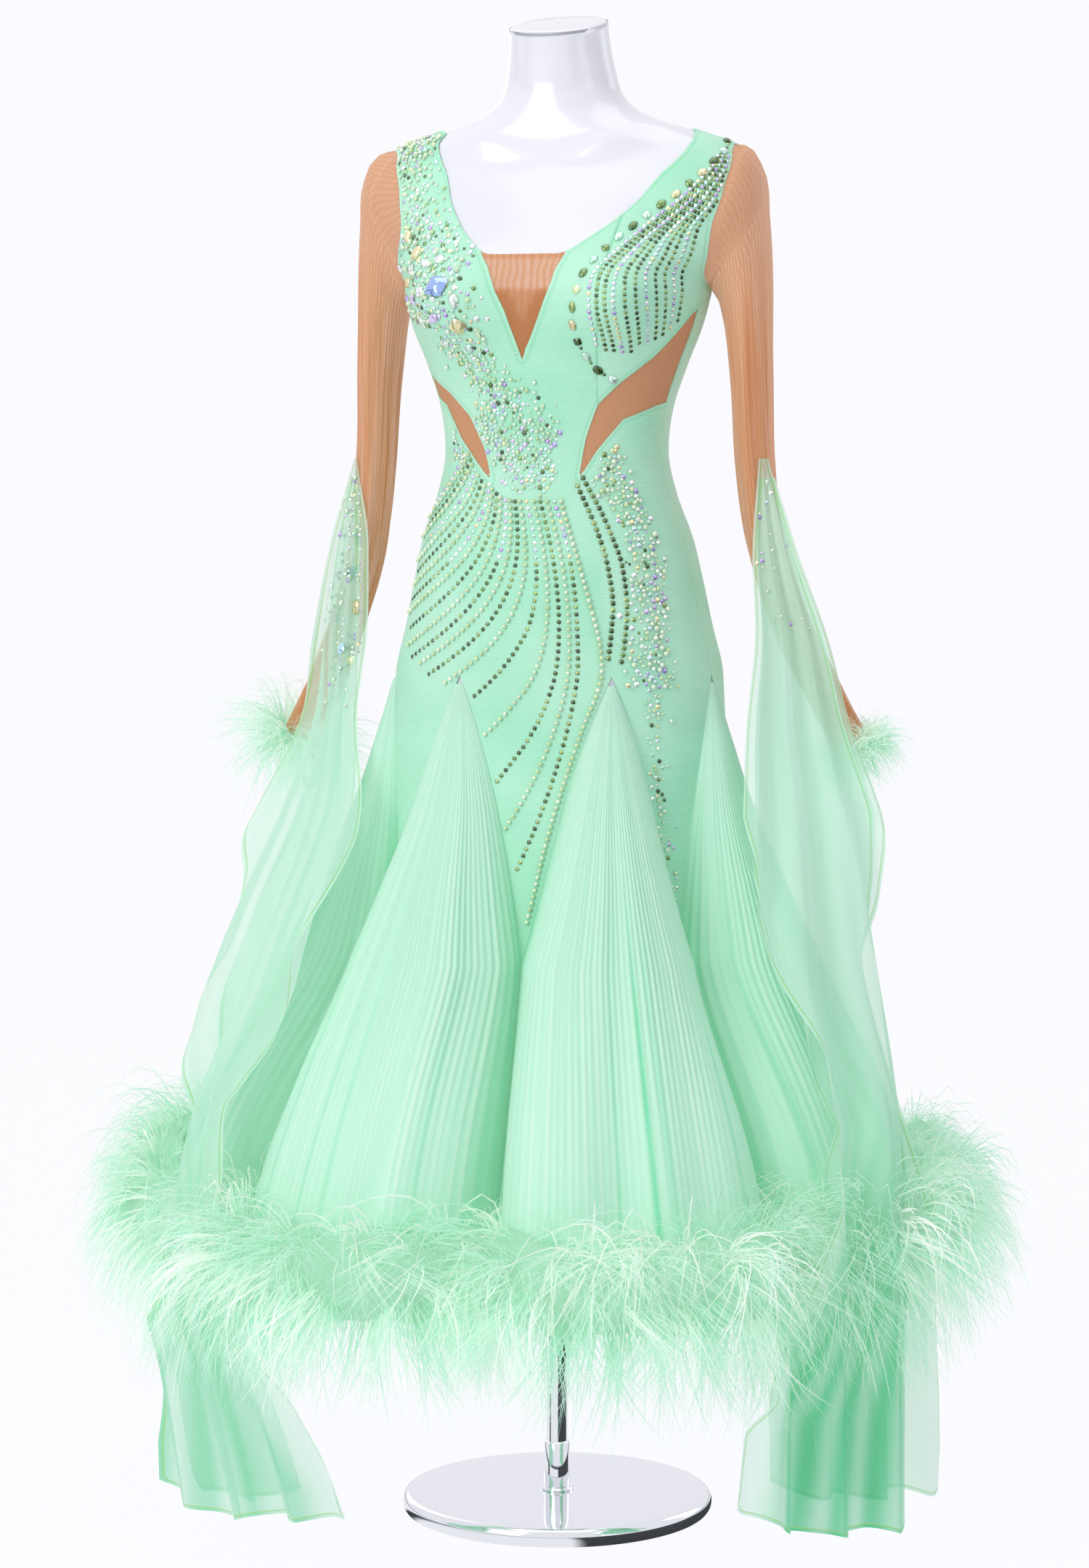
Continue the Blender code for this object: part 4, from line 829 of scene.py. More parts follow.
@dataclass(frozen=True)
class FloorFinish(Finish):
    """Matt white studio paper."""

    name: str = "studio_paper_white"
    white: str = "#FBFBFF"
    # Colour of the painted reflection stripes
    stripe: str = "#3A3B40"
    # Where each painted reflection stripe lies round the stand, as shares of a turn from behind on the
    # left
    stripes: tuple[tuple[float, float], ...] = ((0.320, 0.615), (0.060, 0.105))
    softness: tuple[float, float] = (0.01, 0.015)

    def shader(self, tree: NodeTree) -> NodeSocket:
        """Lit paper that takes a faint shadow, and dark stripes painted for what mirrors it: a painted
        reflection.
        """
        place = add_node(tree, "TexCoord", out="Object")
        grain = add_node(tree, "TexNoise", {"Scale": 2.0, "Vector": place}, "Fac")
        colour = lay_over(tree, "#303032", ("#2C2C2E", grain, 0.3, 0.7, 0.0, 0.2))
        paper = add_node(tree, "BsdfDiffuse", {"Roughness": 0.9, "Color": colour})
        # Painted reflection: dark stripes on the paper, seen only by glossy rays, that the polished
        # stand mirrors as if the room's dark stands stood round it
        around = add_node(tree, "TexGradient", {"gradient_type": "RADIAL", "Vector": place}, "Fac")
        first, last = self.softness
        masks = []
        for start, end in self.stripes:
            opening = span(start - first, start + first)
            closing = span(end - last, end + last, 1.0, 0.0)
            masks.append(add_node(tree, "Math", {
                "operation": "MULTIPLY", 0: add_node(tree, "MapRange", {"Value": around, **opening}),
                1: add_node(tree, "MapRange", {"Value": around, **closing})}))
        striped = add_node(tree, "Math", {"operation": "MAXIMUM", 0: masks[0], 1: masks[1]})
        painted_reflection = add_node(tree, "Math", {
            "operation": "MULTIPLY", 0: striped, 1: add_node(tree, "LightPath", out="Is Glossy Ray")})
        lit = add_node(tree, "Emission", {
            "Strength": 0.985, "Color": lay_over(tree, self.white, (self.stripe, painted_reflection))})
        return add_node(tree, "AddShader", {0: paper, 1: lit})


def make_piece(name: str, points: Array, faces: Any, material: Material,
               fields: Optional[dict] = None, smooth: bool = True) -> Object:
    """Object from arrays of points and faces.

    Args:
        name: Name of the piece.
        points: Corners, a row each.
        faces: Array of faces by corner number, or a list of such arrays.
        material: Its finish.
        fields: Named values for each corner: numbers, vectors of three or colours of four.
        smooth: Whether it is shaded smooth.

    Returns:
        The new object, with corners that no face uses left out.
    """
    groups = faces if isinstance(faces, list) else [faces]
    groups = [np.asarray(group, int) for group in groups if len(group)]
    loops = np.concatenate([group.ravel() for group in groups])
    totals = np.concatenate([np.full(len(group), group.shape[1]) for group in groups])
    used, loops = np.unique(loops, return_inverse=True)
    mesh = bpy.data.meshes.new(name)
    mesh.vertices.add(len(used))
    mesh.vertices.foreach_set("co", np.asarray(points, np.float32)[used].ravel())
    mesh.loops.add(len(loops))
    mesh.loops.foreach_set("vertex_index", loops.ravel().astype(np.int32))
    mesh.polygons.add(len(totals))
    starts = np.concatenate([[0], np.cumsum(totals)[:-1]])
    mesh.polygons.foreach_set("loop_start", starts.astype(np.int32))
    mesh.update(calc_edges=True)
    kinds = {1: ("FLOAT", "value"), 3: ("FLOAT_VECTOR", "vector"), 4: ("FLOAT_COLOR", "color")}
    for key, values in (fields or {}).items():
        values = np.asarray(values, np.float32)[used]
        kind, channel = kinds[1 if values.ndim == 1 else values.shape[1]]
        mesh.attributes.new(key, kind, "POINT").data.foreach_set(channel, values.ravel())
    mesh.validate()
    if smooth:
        mesh.shade_smooth()
    mesh.materials.append(material)
    piece = bpy.data.objects.new(name, mesh)
    bpy.context.scene.collection.objects.link(piece)
    return piece


def settle(piece: Object, slot: Optional[str], *nodes: str) -> Object:
    """Let a piece ride on the part's one body, and hide the nodes that it replaces."""
    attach(piece, "root")
    if nodes:
        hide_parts(*nodes)
    LOG.info("%s: %d faces", piece.name, len(piece.data.polygons))
    return piece


def lattice(rows: int, columns: int, closed: bool = False) -> Array:
    """Faces of a grid of corners, row after row, open or closed round."""
    spots = np.arange(rows * columns).reshape(rows, columns)
    if closed:
        spots = np.hstack([spots, spots[:, :1]])
    return np.stack([spots[:-1, :-1], spots[:-1, 1:], spots[1:, 1:], spots[1:, :-1]],
                    axis=-1).reshape(-1, 4)


def smooth_step(values: Any, low: float, high: float) -> Array:
    """0 below the range, 1 above it and smooth between."""
    t = np.clip((np.asarray(values, float) - low) / (high - low), 0, 1)
    return t * t * (3 - 2 * t)


def arm_name(side: int) -> str:
    """Name of the wearer's arm on a side of +X (1) or -X (-1)."""
    return "left" if side > 0 else "right"


def turned_rings(sides: int, profile: Sequence[tuple[float, float]]) -> Array:
    """Rings of corners about the z axis, from pairs of radius and height."""
    turns = np.arange(sides) * 2 * math.pi / sides
    return np.vstack([np.stack([radius * np.cos(turns), radius * np.sin(turns), np.full(sides, height)],
                               axis=-1) for radius, height in profile])


@dataclass
class DressForm:
    """Limbless torso in gloss lacquer on a chrome pole and base."""

    columns: int = 144
    row_height: float = 0.006
    neck_rounding: float = 0.0045
    neck_bottom: float = 1.47
    collar_bone: float = 0.0022
    bone_angle: float = 26.0
    bone_spread: float = 15.0
    bone_height: float = 1.409
    stand_sides: int = 128
    rim_steps: int = 17
    # How the base rises inside its rim: shares of its radius, and rises
    crown: tuple[tuple[float, float], ...] = ((0.8, 0.00025), (0.3, 0.0004))
    # The collar's foot, as steps out and up, and its lip, as steps in and down
    foot: tuple[tuple[float, float], ...] = (
        (0.0035, 0.0), (0.0035, 0.0022), (0.0028, 0.0030), (0.0, 0.0034))
    lip: tuple[tuple[float, float], ...] = ((0.0, 0.0012), (0.0006, 0.0003), (0.0014, 0.0))
    sharp_angle: float = 40.0

    def build(self, lacquer: Material, chrome: Material) -> None:
        """Make the torso and the stand."""
        self.torso(lacquer)
        self.stand(chrome)

    def torso(self, lacquer: Material) -> None:
        """Make the torso, with soft collar bones and a slanting neck top."""
        angles = np.arange(self.columns) * 360.0 / self.columns
        off_front = np.abs(wrap(angles))
        girths = np.arange(girth_height(FORM_BOTTOM), girth_height(NECK_TOP), self.row_height)
        top = body_points(angles, NECK_TOP)
        slant = NECK_TILT * (top[:, 1] - top[:, 1].mean())
        bone = np.exp(-((off_front - self.bone_angle) / self.bone_spread) ** 2)
        line = self.bone_height + 0.0009 * off_front
        rings = []
        for level in np.append(height_of_girth(girths), NECK_TOP - self.neck_rounding):
            share = smooth_step(level, self.neck_bottom, NECK_TOP - self.neck_rounding)
            heights = level + share * slant
            lift = self.collar_bone * bone * np.exp(-((heights - line) / 0.010) ** 2)
            dip = 0.6 * self.collar_bone * bone * np.exp(-((heights - line + 0.020) / 0.012) ** 2)
            rings.append(body_points(angles, heights)
                         + body_normals(angles, heights) * (lift - dip)[:, None])
        rim = body_points(angles, NECK_TOP + slant)
        middle = rim.mean(axis=0)
        for share, drop in ((0.985, 0.0022), (0.955, 0.0006), (0.91, 0.0), (0.5, 0.0), (0.02, 0.0)):
            rings.append(middle + (rim - middle) * share - np.array([0, 0, drop]))
        bottom = rings[0].mean(axis=0)
        rings.insert(0, bottom + (rings[0] - bottom) * 0.02)
        piece = make_piece("form_torso_gloss", np.vstack(rings),
                           lattice(len(rings), self.columns, closed=True), lacquer)
        settle(piece, "form_gloss", "form_torso")

    def turned(self, name: str, profile: Sequence[tuple[float, float]],
               chrome: Material, node: str) -> None:
        """Make a piece turned about the pole from pairs of radius and height, bottom to top."""
        piece = make_piece(name, turned_rings(self.stand_sides, profile),
                           lattice(len(profile), self.stand_sides, closed=True), chrome)
        piece.data.set_sharp_from_angle(angle=math.radians(self.sharp_angle))
        settle(piece, "chrome", node)

    def stand(self, chrome: Material) -> None:
        """Make the round base with its rolled rim, and the pole in its collar."""
        rim = [(0.001, 0.0)]
        for turn in np.radians(np.linspace(-90, 90, self.rim_steps)):
            rim.append((BASE_RADIUS - BASE_ROUNDING + BASE_ROUNDING * math.cos(turn),
                        BASE_THICKNESS / 2 * (1 + math.sin(turn))))
        rim += [(BASE_RADIUS * share, BASE_THICKNESS + up) for share, up in self.crown]
        rim.append((0.001, rim[-1][1]))
        self.turned("stand_base", rim, chrome, "form_base")
        low = BASE_THICKNESS + 0.0006
        high = low + COLLAR_HEIGHT
        pole = [(COLLAR_RADIUS + out, low + up) for out, up in self.foot]
        pole += [(COLLAR_RADIUS - back, high - down) for back, down in self.lip]
        pole += [(POLE_RADIUS, high + 0.0003), (POLE_RADIUS, FORM_BOTTOM - 0.0003)]
        self.turned("stand_pole", pole, chrome, "form_pole")


class Panel(Enum):
    """Panels of crepe between the sewn-up seams."""

    FRONT = 0
    BACK_LEFT = 1
    BACK_RIGHT = 2


class CutSheet:
    """Triangles of cloth on the body that can be cut along outlines."""

    def __init__(self, angles: Array, heights: Array, points: Array,
                 normals: Array, depths: Array, triangles: Array,
                 labels: Array) -> None:
        """Keep the corners with their places and depths, and the labelled triangles."""
        self.values = np.hstack([angles[:, None], heights[:, None], points, normals, depths])
        self.triangles, self.labels = triangles, labels

    @property
    def places(self) -> Array:
        """Angle and height of each corner."""
        return self.values[:, :2]

    @property
    def points(self) -> Array:
        """Corners."""
        return self.values[:, 2:5]

    @property
    def normals(self) -> Array:
        """Outward directions at the corners."""
        return unit(self.values[:, 5:8])

    def depth(self, edge: Edge) -> Array:
        """Depth of each corner inside one outline."""
        return self.values[:, 8 + edge.value]

    def cloth_places(self) -> Array:
        """Place of each corner in the flat cloth."""
        return np.hstack([flat_map(*self.places.T), np.zeros((len(self.values), 1))])

    def cut(self, edge: Edge, level: float, *chosen: Panel) -> None:
        """Cut the triangles of the chosen panels where a depth passes a level."""
        depth = self.depth(edge) - level
        side = np.where(np.abs(depth) < 1e-9, 0, np.sign(depth))
        corner = side[self.triangles]
        crossed = np.isin(self.labels, [panel.value for panel in chosen])
        crossed &= (corner.min(1) < 0) & (corner.max(1) > 0)
        triangles, corner, labels = self.triangles[crossed], corner[crossed], self.labels[crossed]
        level_corner = (corner == 0).any(axis=1)
        alone = np.where(level_corner[:, None], corner == 0, corner == -np.sign(corner.sum(1))[:, None])
        order = (alone.argmax(1)[:, None] + np.arange(3)) % 3
        triangles = np.take_along_axis(triangles, order, 1)
        halves, thirds = triangles[level_corner], triangles[~level_corner]
        edges = np.vstack([halves[:, [1, 2]], thirds[:, [0, 1]], thirds[:, [0, 2]]])
        keys, index = np.unique(np.sort(edges, axis=1), axis=0, return_inverse=True)
        low, high = depth[keys[:, 0]], depth[keys[:, 1]]
        share = (low / np.where(low == high, 1, low - high))[:, None]
        fresh = self.values[keys[:, 0]] * (1 - share) + self.values[keys[:, 1]] * share
        fresh[:, 8 + edge.value] = level
        number = len(self.values) + index.ravel()
        self.values = np.vstack([self.values, fresh])
        split, first, second = np.split(number, [len(halves), len(halves) + len(thirds)])
        a, b, c = halves.T
        p, q, r = thirds.T
        pieces = [np.stack(corners, axis=-1) for corners in (
            (a, b, split), (a, split, c), (p, first, second), (first, q, r), (first, r, second))]
        tags = [labels[level_corner]] * 2 + [labels[~level_corner]] * 3
        self.triangles = np.vstack([self.triangles[~crossed]] + pieces)
        self.labels = np.concatenate([self.labels[~crossed]] + tags)


def ladder(upper: Sequence[int], lower: Sequence[int]) -> list[tuple[int, int, int]]:
    """Triangles between two rows of corners that may differ in number."""
    faces, i, j = [], 0, 0
    while i < len(upper) - 1 or j < len(lower) - 1:
        next_upper = (i + 1) / max(len(upper) - 1, 1)
        next_lower = (j + 1) / max(len(lower) - 1, 1)
        if j < len(lower) - 1 and (i == len(upper) - 1 or next_lower <= next_upper):
            faces.append((upper[i], lower[j], lower[j + 1]))
            j += 1
        else:
            faces.append((upper[i], lower[j], upper[i + 1]))
            i += 1
    return faces


@dataclass
class Bodice:
    """Crepe panels of the dress, with the nude mesh let into them."""

    columns_per_sector: int = 30
    row_length: float = 0.0045
    point_row: float = 0.0060
    tuck: float = 0.003
    # Radii at the back seams and at the points, where a seam's gap is turned into an angle
    seam_radius: float = 0.13
    point_radius: float = 0.18
    # How far round from the front the cup's seam is drawn, in degrees
    cup_reach: float = 110.0
    fold_angle: float = 50.0
    # The insert's share of double mesh: all over and at the top hem; below a height it is darker towards
    # its sides
    single: float = 0.30
    darker_sides_below: tuple[float, float] = (1.270, 1.276)
    darker_sides_width: tuple[float, float] = (0.008, 0.012)
    hem_width: tuple[float, float] = (0.004, 0.005)
    cloth_top: float = 1.446

    def build(self, crepe: Material, mesh: Material) -> None:
        """Cut the cloth along its outlines and make every panel and insert."""
        sheet = self.cloth()
        half = SEAM_GAP / 2
        sheet.cut(Edge.NECK, 0.0, *Panel)
        for edge in (Edge.LEFT_ARM, Edge.RIGHT_ARM):
            sheet.cut(edge, -half, *Panel)
        inserts = (Edge.INSERT, Edge.LEFT_CUT, Edge.RIGHT_CUT)
        for edge in inserts:
            sheet.cut(edge, -half, Panel.FRONT)
        for level in (half, -half):
            sheet.cut(Edge.CUP, level, Panel.FRONT)
        depth = {edge: sheet.depth(edge)[sheet.triangles].mean(axis=1) for edge in Edge}
        arms = (depth[Edge.LEFT_ARM] < -half) & (depth[Edge.RIGHT_ARM] < -half)
        kept = (depth[Edge.NECK] < 0) & arms
        left, right = (kept & (sheet.labels == panel.value)
                       for panel in (Panel.BACK_LEFT, Panel.BACK_RIGHT))
        front = kept & (sheet.labels == Panel.FRONT.value)
        covered = front & np.all([depth[edge] < -half for edge in inserts], axis=0)
        for name, chosen, flat, node in (
                ("front", covered & (depth[Edge.CUP] < -half), (0.56, 0.86, 0.185), "dress_front_crepe"),
                ("cup_left", covered & (depth[Edge.CUP] > half), (0.20, 0.30, 0.0285), "bust_cup_left"),
                ("back_left", left, (0.36, 0.84, 0.168), "dress_back_left"),
                ("back_right", right, (0.36, 0.84, 0.168), "dress_back_right")):
            self.panel("crepe_" + name, sheet, chosen, crepe, flat, node)
        for edge, name, flat in ((Edge.INSERT, "neck_insert", (0.09, 0.12, 0.0058)),
                                 (Edge.LEFT_CUT, "waist_insert_left", (0.13, 0.17, 0.0075)),
                                 (Edge.RIGHT_CUT, "waist_insert_right", (0.11, 0.09, 0.0034))):
            self.insert(name, sheet, front & (depth[edge] > -self.tuck), mesh, flat)

    def cloth(self) -> CutSheet:
        """Uncut cloth over the form, with its seven points between the godets."""
        angles, joined = [], []
        half_gap = math.degrees(SEAM_GAP / 2 / self.seam_radius)
        for index in range(GODETS * self.columns_per_sector):
            angle = FIRST_APEX + index * SECTOR / self.columns_per_sector
            sector, column = divmod(index, self.columns_per_sector)
            split = column == 0 and sector in SEAM_APEXES
            angles += [angle - half_gap, angle + half_gap] if split else [angle]
            joined += [False, True] if split else [True]
        angles, joined = np.array(angles), np.array(joined)
        heights = height_of_girth(
            np.arange(girth_height(SKIRT_TOP), girth_height(self.cloth_top), self.row_length))
        heights[0] = SKIRT_TOP
        grid_angles, grid_heights = np.meshgrid(angles, heights)
        points, normals = crepe_surface(grid_angles, grid_heights)
        depths = outline_depths(grid_angles.ravel(), grid_heights.ravel())
        number = np.arange(grid_angles.size).reshape(grid_angles.shape)
        after = (np.arange(len(angles)) + 1) % len(angles)
        a, b = number[:-1, joined], number[:-1, after][:, joined]
        c, d = number[1:, after][:, joined], number[1:, joined]
        triangles = np.vstack([np.stack(corners, -1).reshape(-1, 3)
                               for corners in ((a, b, c), (a, c, d))])
        labels = self.panel_at(angles[joined] + SECTOR / self.columns_per_sector / 2)
        labels = np.tile(labels, (len(heights) - 1) * 2)
        sheet = CutSheet(grid_angles.ravel(), grid_heights.ravel(), points.reshape(-1, 3),
                         normals.reshape(-1, 3), depths, triangles, labels)
        self.add_points(sheet, angles, joined)
        return sheet

    def panel_at(self, angles: Array) -> Array:
        """Label of the panel in which each angle lies."""
        first, centre, last = (FIRST_APEX + apex * SECTOR for apex in SEAM_APEXES)
        return np.select([(first < angles) & (angles < centre), (centre < angles) & (angles < last)],
                         [Panel.BACK_LEFT.value, Panel.BACK_RIGHT.value], Panel.FRONT.value)

    def add_points(self, sheet: CutSheet, angles: Array, joined: Array) -> None:
        """Add the seven points of crepe that run down between the godets."""
        steps = (angles - FIRST_APEX) / SECTOR
        apexes = np.flatnonzero(joined & (np.abs(steps - np.round(steps)) < 0.003))
        levels = np.arange(SKIRT_TOP - self.point_row, POINT_TIP + 0.002, -self.point_row)
        gap = math.degrees(SEAM_GAP / 2 / self.point_radius)
        values, faces, labels = [], [], []
        count = len(sheet.values)
        for order, start in enumerate(apexes):
            centre = FIRST_APEX + order * SECTOR + SECTOR / 2
            upper = [(start + k) % len(angles) for k in range(self.columns_per_sector + 1)]
            for level in np.append(levels, POINT_TIP):
                half = max(float(point_half_angle(level)) - gap, 0.0)
                cells = math.ceil(self.columns_per_sector * half / (SECTOR / 2))
                turns = centre + np.linspace(-half, half, cells + 1)
                points, normals = crepe_surface(turns, np.full(cells + 1, level))
                lower = list(range(count, count + cells + 1))
                count += cells + 1
                values.append(np.hstack([turns[:, None], np.full((cells + 1, 1), level), points, normals,
                                         np.full((cells + 1, len(Edge)), -1.0)]))
                fresh = ladder(upper, lower)
                faces += fresh
                labels += [self.panel_at(np.array([centre % 360]))[0]] * len(fresh)
                upper = lower
        sheet.values = np.vstack([sheet.values] + values)
        sheet.triangles = np.vstack([sheet.triangles, np.array(faces)])
        sheet.labels = np.concatenate([sheet.labels, np.array(labels)])

    def panel(self, name: str, sheet: CutSheet, chosen: Array, crepe: Material,
              flat: tuple[float, float, float], node: str) -> None:
        """Make one panel of crepe, whose open edges turn in towards the form.

        Args:
            name: Name of the piece.
            sheet: Cut cloth.
            chosen: Triangles of the panel.
            crepe: Its finish.
            flat: Width, length and area of the flat cut; not used.
            node: Node that it replaces.
        """
        faces, count = sheet.triangles[chosen], len(sheet.points)
        edges = np.vstack([faces[:, [0, 1]], faces[:, [1, 2]], faces[:, [2, 0]]])
        single, counts = np.unique(np.sort(edges, axis=1), axis=0, return_counts=True)
        open_keys = {tuple(key) for key in single[counts == 1]}
        rim = np.array([edge for edge in edges if (min(edge), max(edge)) in open_keys])
        walls = np.stack([rim[:, 1], rim[:, 0], rim[:, 0] + count, rim[:, 1] + count], axis=-1)
        edged = (Edge.NECK, Edge.LEFT_ARM, Edge.RIGHT_ARM)
        if "back" not in name:
            edged += (Edge.INSERT, Edge.LEFT_CUT, Edge.RIGHT_CUT)
        edge_gap = np.min([np.abs(sheet.depth(edge)) for edge in edged], axis=0)
        by_cup = np.abs(wrap(sheet.places[:, 0])) < self.cup_reach
        seam_gap = np.where(by_cup, np.abs(sheet.depth(Edge.CUP)), 1.0)
        fields = {"edge": np.tile(edge_gap, 2), "seam": np.tile(seam_gap, 2),
                  "cloth": np.tile(sheet.cloth_places(), (2, 1))}
        corners = np.vstack([sheet.points, sheet.points - sheet.normals * CREPE_WALL])
        piece = make_piece(name, corners, [faces, walls], crepe, fields)
        piece.data.set_sharp_from_angle(angle=math.radians(self.fold_angle))
        settle(piece, "crepe", node)

    def insert(self, node: str, sheet: CutSheet, chosen: Array, mesh: Material,
               flat: tuple[float, float, float]) -> None:
        """Make one insert of nude mesh, which runs a little way under the crepe round it."""
        points = sheet.points - sheet.normals * (CLOTH_PROUD - MESH_PROUD)
        double = np.full(len(points), self.single)
        if node == "neck_insert":
            # Below a height the neck insert is darker towards its sides
            lower = 1 - smooth_step(sheet.places[:, 1], *self.darker_sides_below)
            sides = lower * (0.85 - 0.40 * smooth_step(sheet.depth(Edge.INSERT), *self.darker_sides_width))
            hem = 1 - smooth_step(-sheet.depth(Edge.NECK), *self.hem_width)
            double = np.maximum(sides, 0.45 * hem)
        piece = make_piece("mesh_" + node, points, sheet.triangles[chosen], mesh,
                           {"cloth": sheet.cloth_places(), "double": double})
        settle(piece, "nude_mesh", node)


def clear_of_body(points: Array, gap: float) -> Array:
    """Move the points that lie inside the form, or closer to it than a gap, out of it."""
    x, y, z = points.T
    heights = np.clip(z, BODY[0].height, BODY[-1].height)
    width, front, back = smooth_columns(BODY, heights, "half_width", "front", "back")
    width = width + gap
    depth, centre = (back - front) / 2 + gap, (back + front) / 2
    power = 2 / BODY_ROUNDNESS
    share = (np.abs(x) / width) ** power + (np.abs(y - centre) / depth) ** power
    scale = np.where(share < 1, np.maximum(share, 1e-6) ** (-1 / power), 1)
    return np.stack([x * scale, centre + (y - centre) * scale, z], axis=-1)


def sleeve_ring(side: int, row: SleeveRow) -> tuple[Array, Array, Array]:
    """Centre of a sleeve's ring, half its width towards its outer edge, and half its depth."""
    outer = np.array([side * row.outer_x, row.middle_y, row.outer_z])
    inner = np.array([side * row.inner_x, row.middle_y, row.inner_z])
    return (outer + inner) / 2, (outer - inner) / 2, np.array([0, row.half_depth, 0])


def cuff_frame(side: int) -> tuple[Array, Array, Array, Array]:
    """Centre of the sleeve's end, its direction out, and its half width and half depth."""
    centre, long_way, depth_way = sleeve_ring(side, SLEEVE[-1])
    return centre, unit(centre - sleeve_ring(side, SLEEVE[-2])[0]), long_way, depth_way


@dataclass
class Sleeve:
    """Long sleeve of nude mesh: an empty, flattened tube that hangs from the armhole.

    Its streaks are shallow folds: how many lie round it, how deep and with how much twist.
    """

    side: int
    columns: int = 96
    row_length: float = 0.008
    girth_per_turn: float = 0.045
    streaks: tuple[tuple[float, float, float], ...] = (
        (5, 0.0011, 7.0), (9, 0.0007, -11.0), (14, 0.0004, 17.0))

    def loop(self) -> tuple[Array, Array]:
        """Sleeve's top edge round the armhole, and the turn of each of its corners."""
        outline = flat_outline(ARMHOLE_LEFT_ARM if self.side > 0 else ARMHOLE_RIGHT_ARM, 12)
        angles, heights = outline[:, 0] / DEGREE_LENGTH, height_of_girth(outline[:, 1])
        normals = body_normals(angles, heights)
        points = body_points(angles, heights) + normals * MESH_PROUD
        centre = points.mean(axis=0)
        points = points - unit(points - centre) * SLEEVE_EASE + normals * 0.0012
        order = np.argsort(np.arctan2(points[:, 1] - centre[1], points[:, 2] - centre[2]))
        closed = points[np.append(order, order[0])]
        way = travelled(closed)
        ring = along_path(np.arange(self.columns) * way[-1] / self.columns, way, closed)
        return ring, np.arctan2(ring[:, 1] - centre[1], ring[:, 2] - centre[2])

    def build(self, mesh: Material) -> None:
        """Make the sleeve."""
        loop, turn = self.loop()
        rings, normals = [loop], [unit(loop - loop.mean(axis=0))]
        for row in SLEEVE:
            centre, long_way, depth_way = sleeve_ring(self.side, row)
            ring = centre + np.outer(np.cos(turn), long_way) + np.outer(np.sin(turn), depth_way)
            rings.append(clear_of_body(ring, SLEEVE_CLEAR))
            normals.append(unit(np.outer(np.cos(turn), long_way / (long_way @ long_way))
                                + np.outer(np.sin(turn), depth_way / (depth_way @ depth_way))))
        normals.insert(1, unit(normals[0] + normals[1]))
        head = (rings[0] + rings[1]) / 2 + normals[1] * SLEEVE_HEAD
        rings.insert(1, clear_of_body(head, SLEEVE_CLEAR))
        rings, normals = np.array(rings), np.array(normals)
        stations = travelled(rings.mean(axis=1))
        levels = np.linspace(0, stations[-1], int(stations[-1] / self.row_length) + 1)
        rings, normals = (self.between(values, stations, levels) for values in (rings, normals))
        down = levels[:, None] / levels[-1]
        wave = sum(depth * np.sin(count * turn[None] + drift * down)
                   for count, depth, drift in self.streaks)
        wave = wave * smooth_step(levels, 0.03, 0.14)[:, None] * (0.6 + 1.1 * down**2)
        rings = rings + unit(normals) * wave[..., None]
        around, along = np.broadcast_arrays(turn[None] * self.girth_per_turn, levels[:, None])
        # The double field holds where the gathered mesh lies double, and a little painted shade in the
        # hollows of the folds
        fields = {"cloth": np.stack([around, along, 0 * along], -1).reshape(-1, 3),
                  "double": np.clip(0.06 + self.streaking(turn[None], down) - wave * 60, 0, 0.9).ravel()}
        arm = arm_name(self.side)
        piece = make_piece("sleeve_" + arm, rings.reshape(-1, 3),
                           lattice(len(levels), self.columns, closed=True), mesh, fields)
        settle(piece, "nude_mesh", "sleeve_%s_front" % arm, "sleeve_%s_back" % arm)

    def streaking(self, turn: Array, down: Array) -> Array:
        """Share by which gathered mesh lies double, in streaks that run down the sleeve."""
        broad = np.sin(5 * turn + 2.3 * down + self.side) * np.sin(3 * turn - 1.7 * down)
        fine = np.sin(17 * turn + 5.1 * down) * np.sin(11 * turn - 4.3 * down + 1.1)
        streaks = 0.50 * np.maximum(broad, 0) + 0.60 * np.maximum(fine, 0) ** 1.5
        return smooth_step(down, 0.05, 0.3) * streaks

    def between(self, values: Array, stations: Array, levels: Array) -> Array:
        """Smooth run of rings between the given ones."""
        slopes = np.gradient(values, stations, axis=0)
        index = np.clip(np.searchsorted(stations, levels) - 1, 0, len(stations) - 2)
        step = (stations[index + 1] - stations[index])[:, None, None]
        t = (levels - stations[index])[:, None, None] / step
        return hermite(t, values[index], step * slopes[index],
                       values[index + 1], step * slopes[index + 1])


@dataclass(frozen=True)
class Barbs:
    """One kind of feather barb, as it grows along a cord.

    The counts are plumes for each metre and barbs in each; lengths are in metres, and
    rise is the angle over the horizontal at the root, in degrees.
    """

    plumes: float
    barbs: int
    length: tuple[float, float]
    rise: tuple[float, float]
    fall: tuple[float, float]
    width: float
    tone: tuple[float, float]
    scatter: float = 12.0
    segments: int = 5
    start: float = 0.0


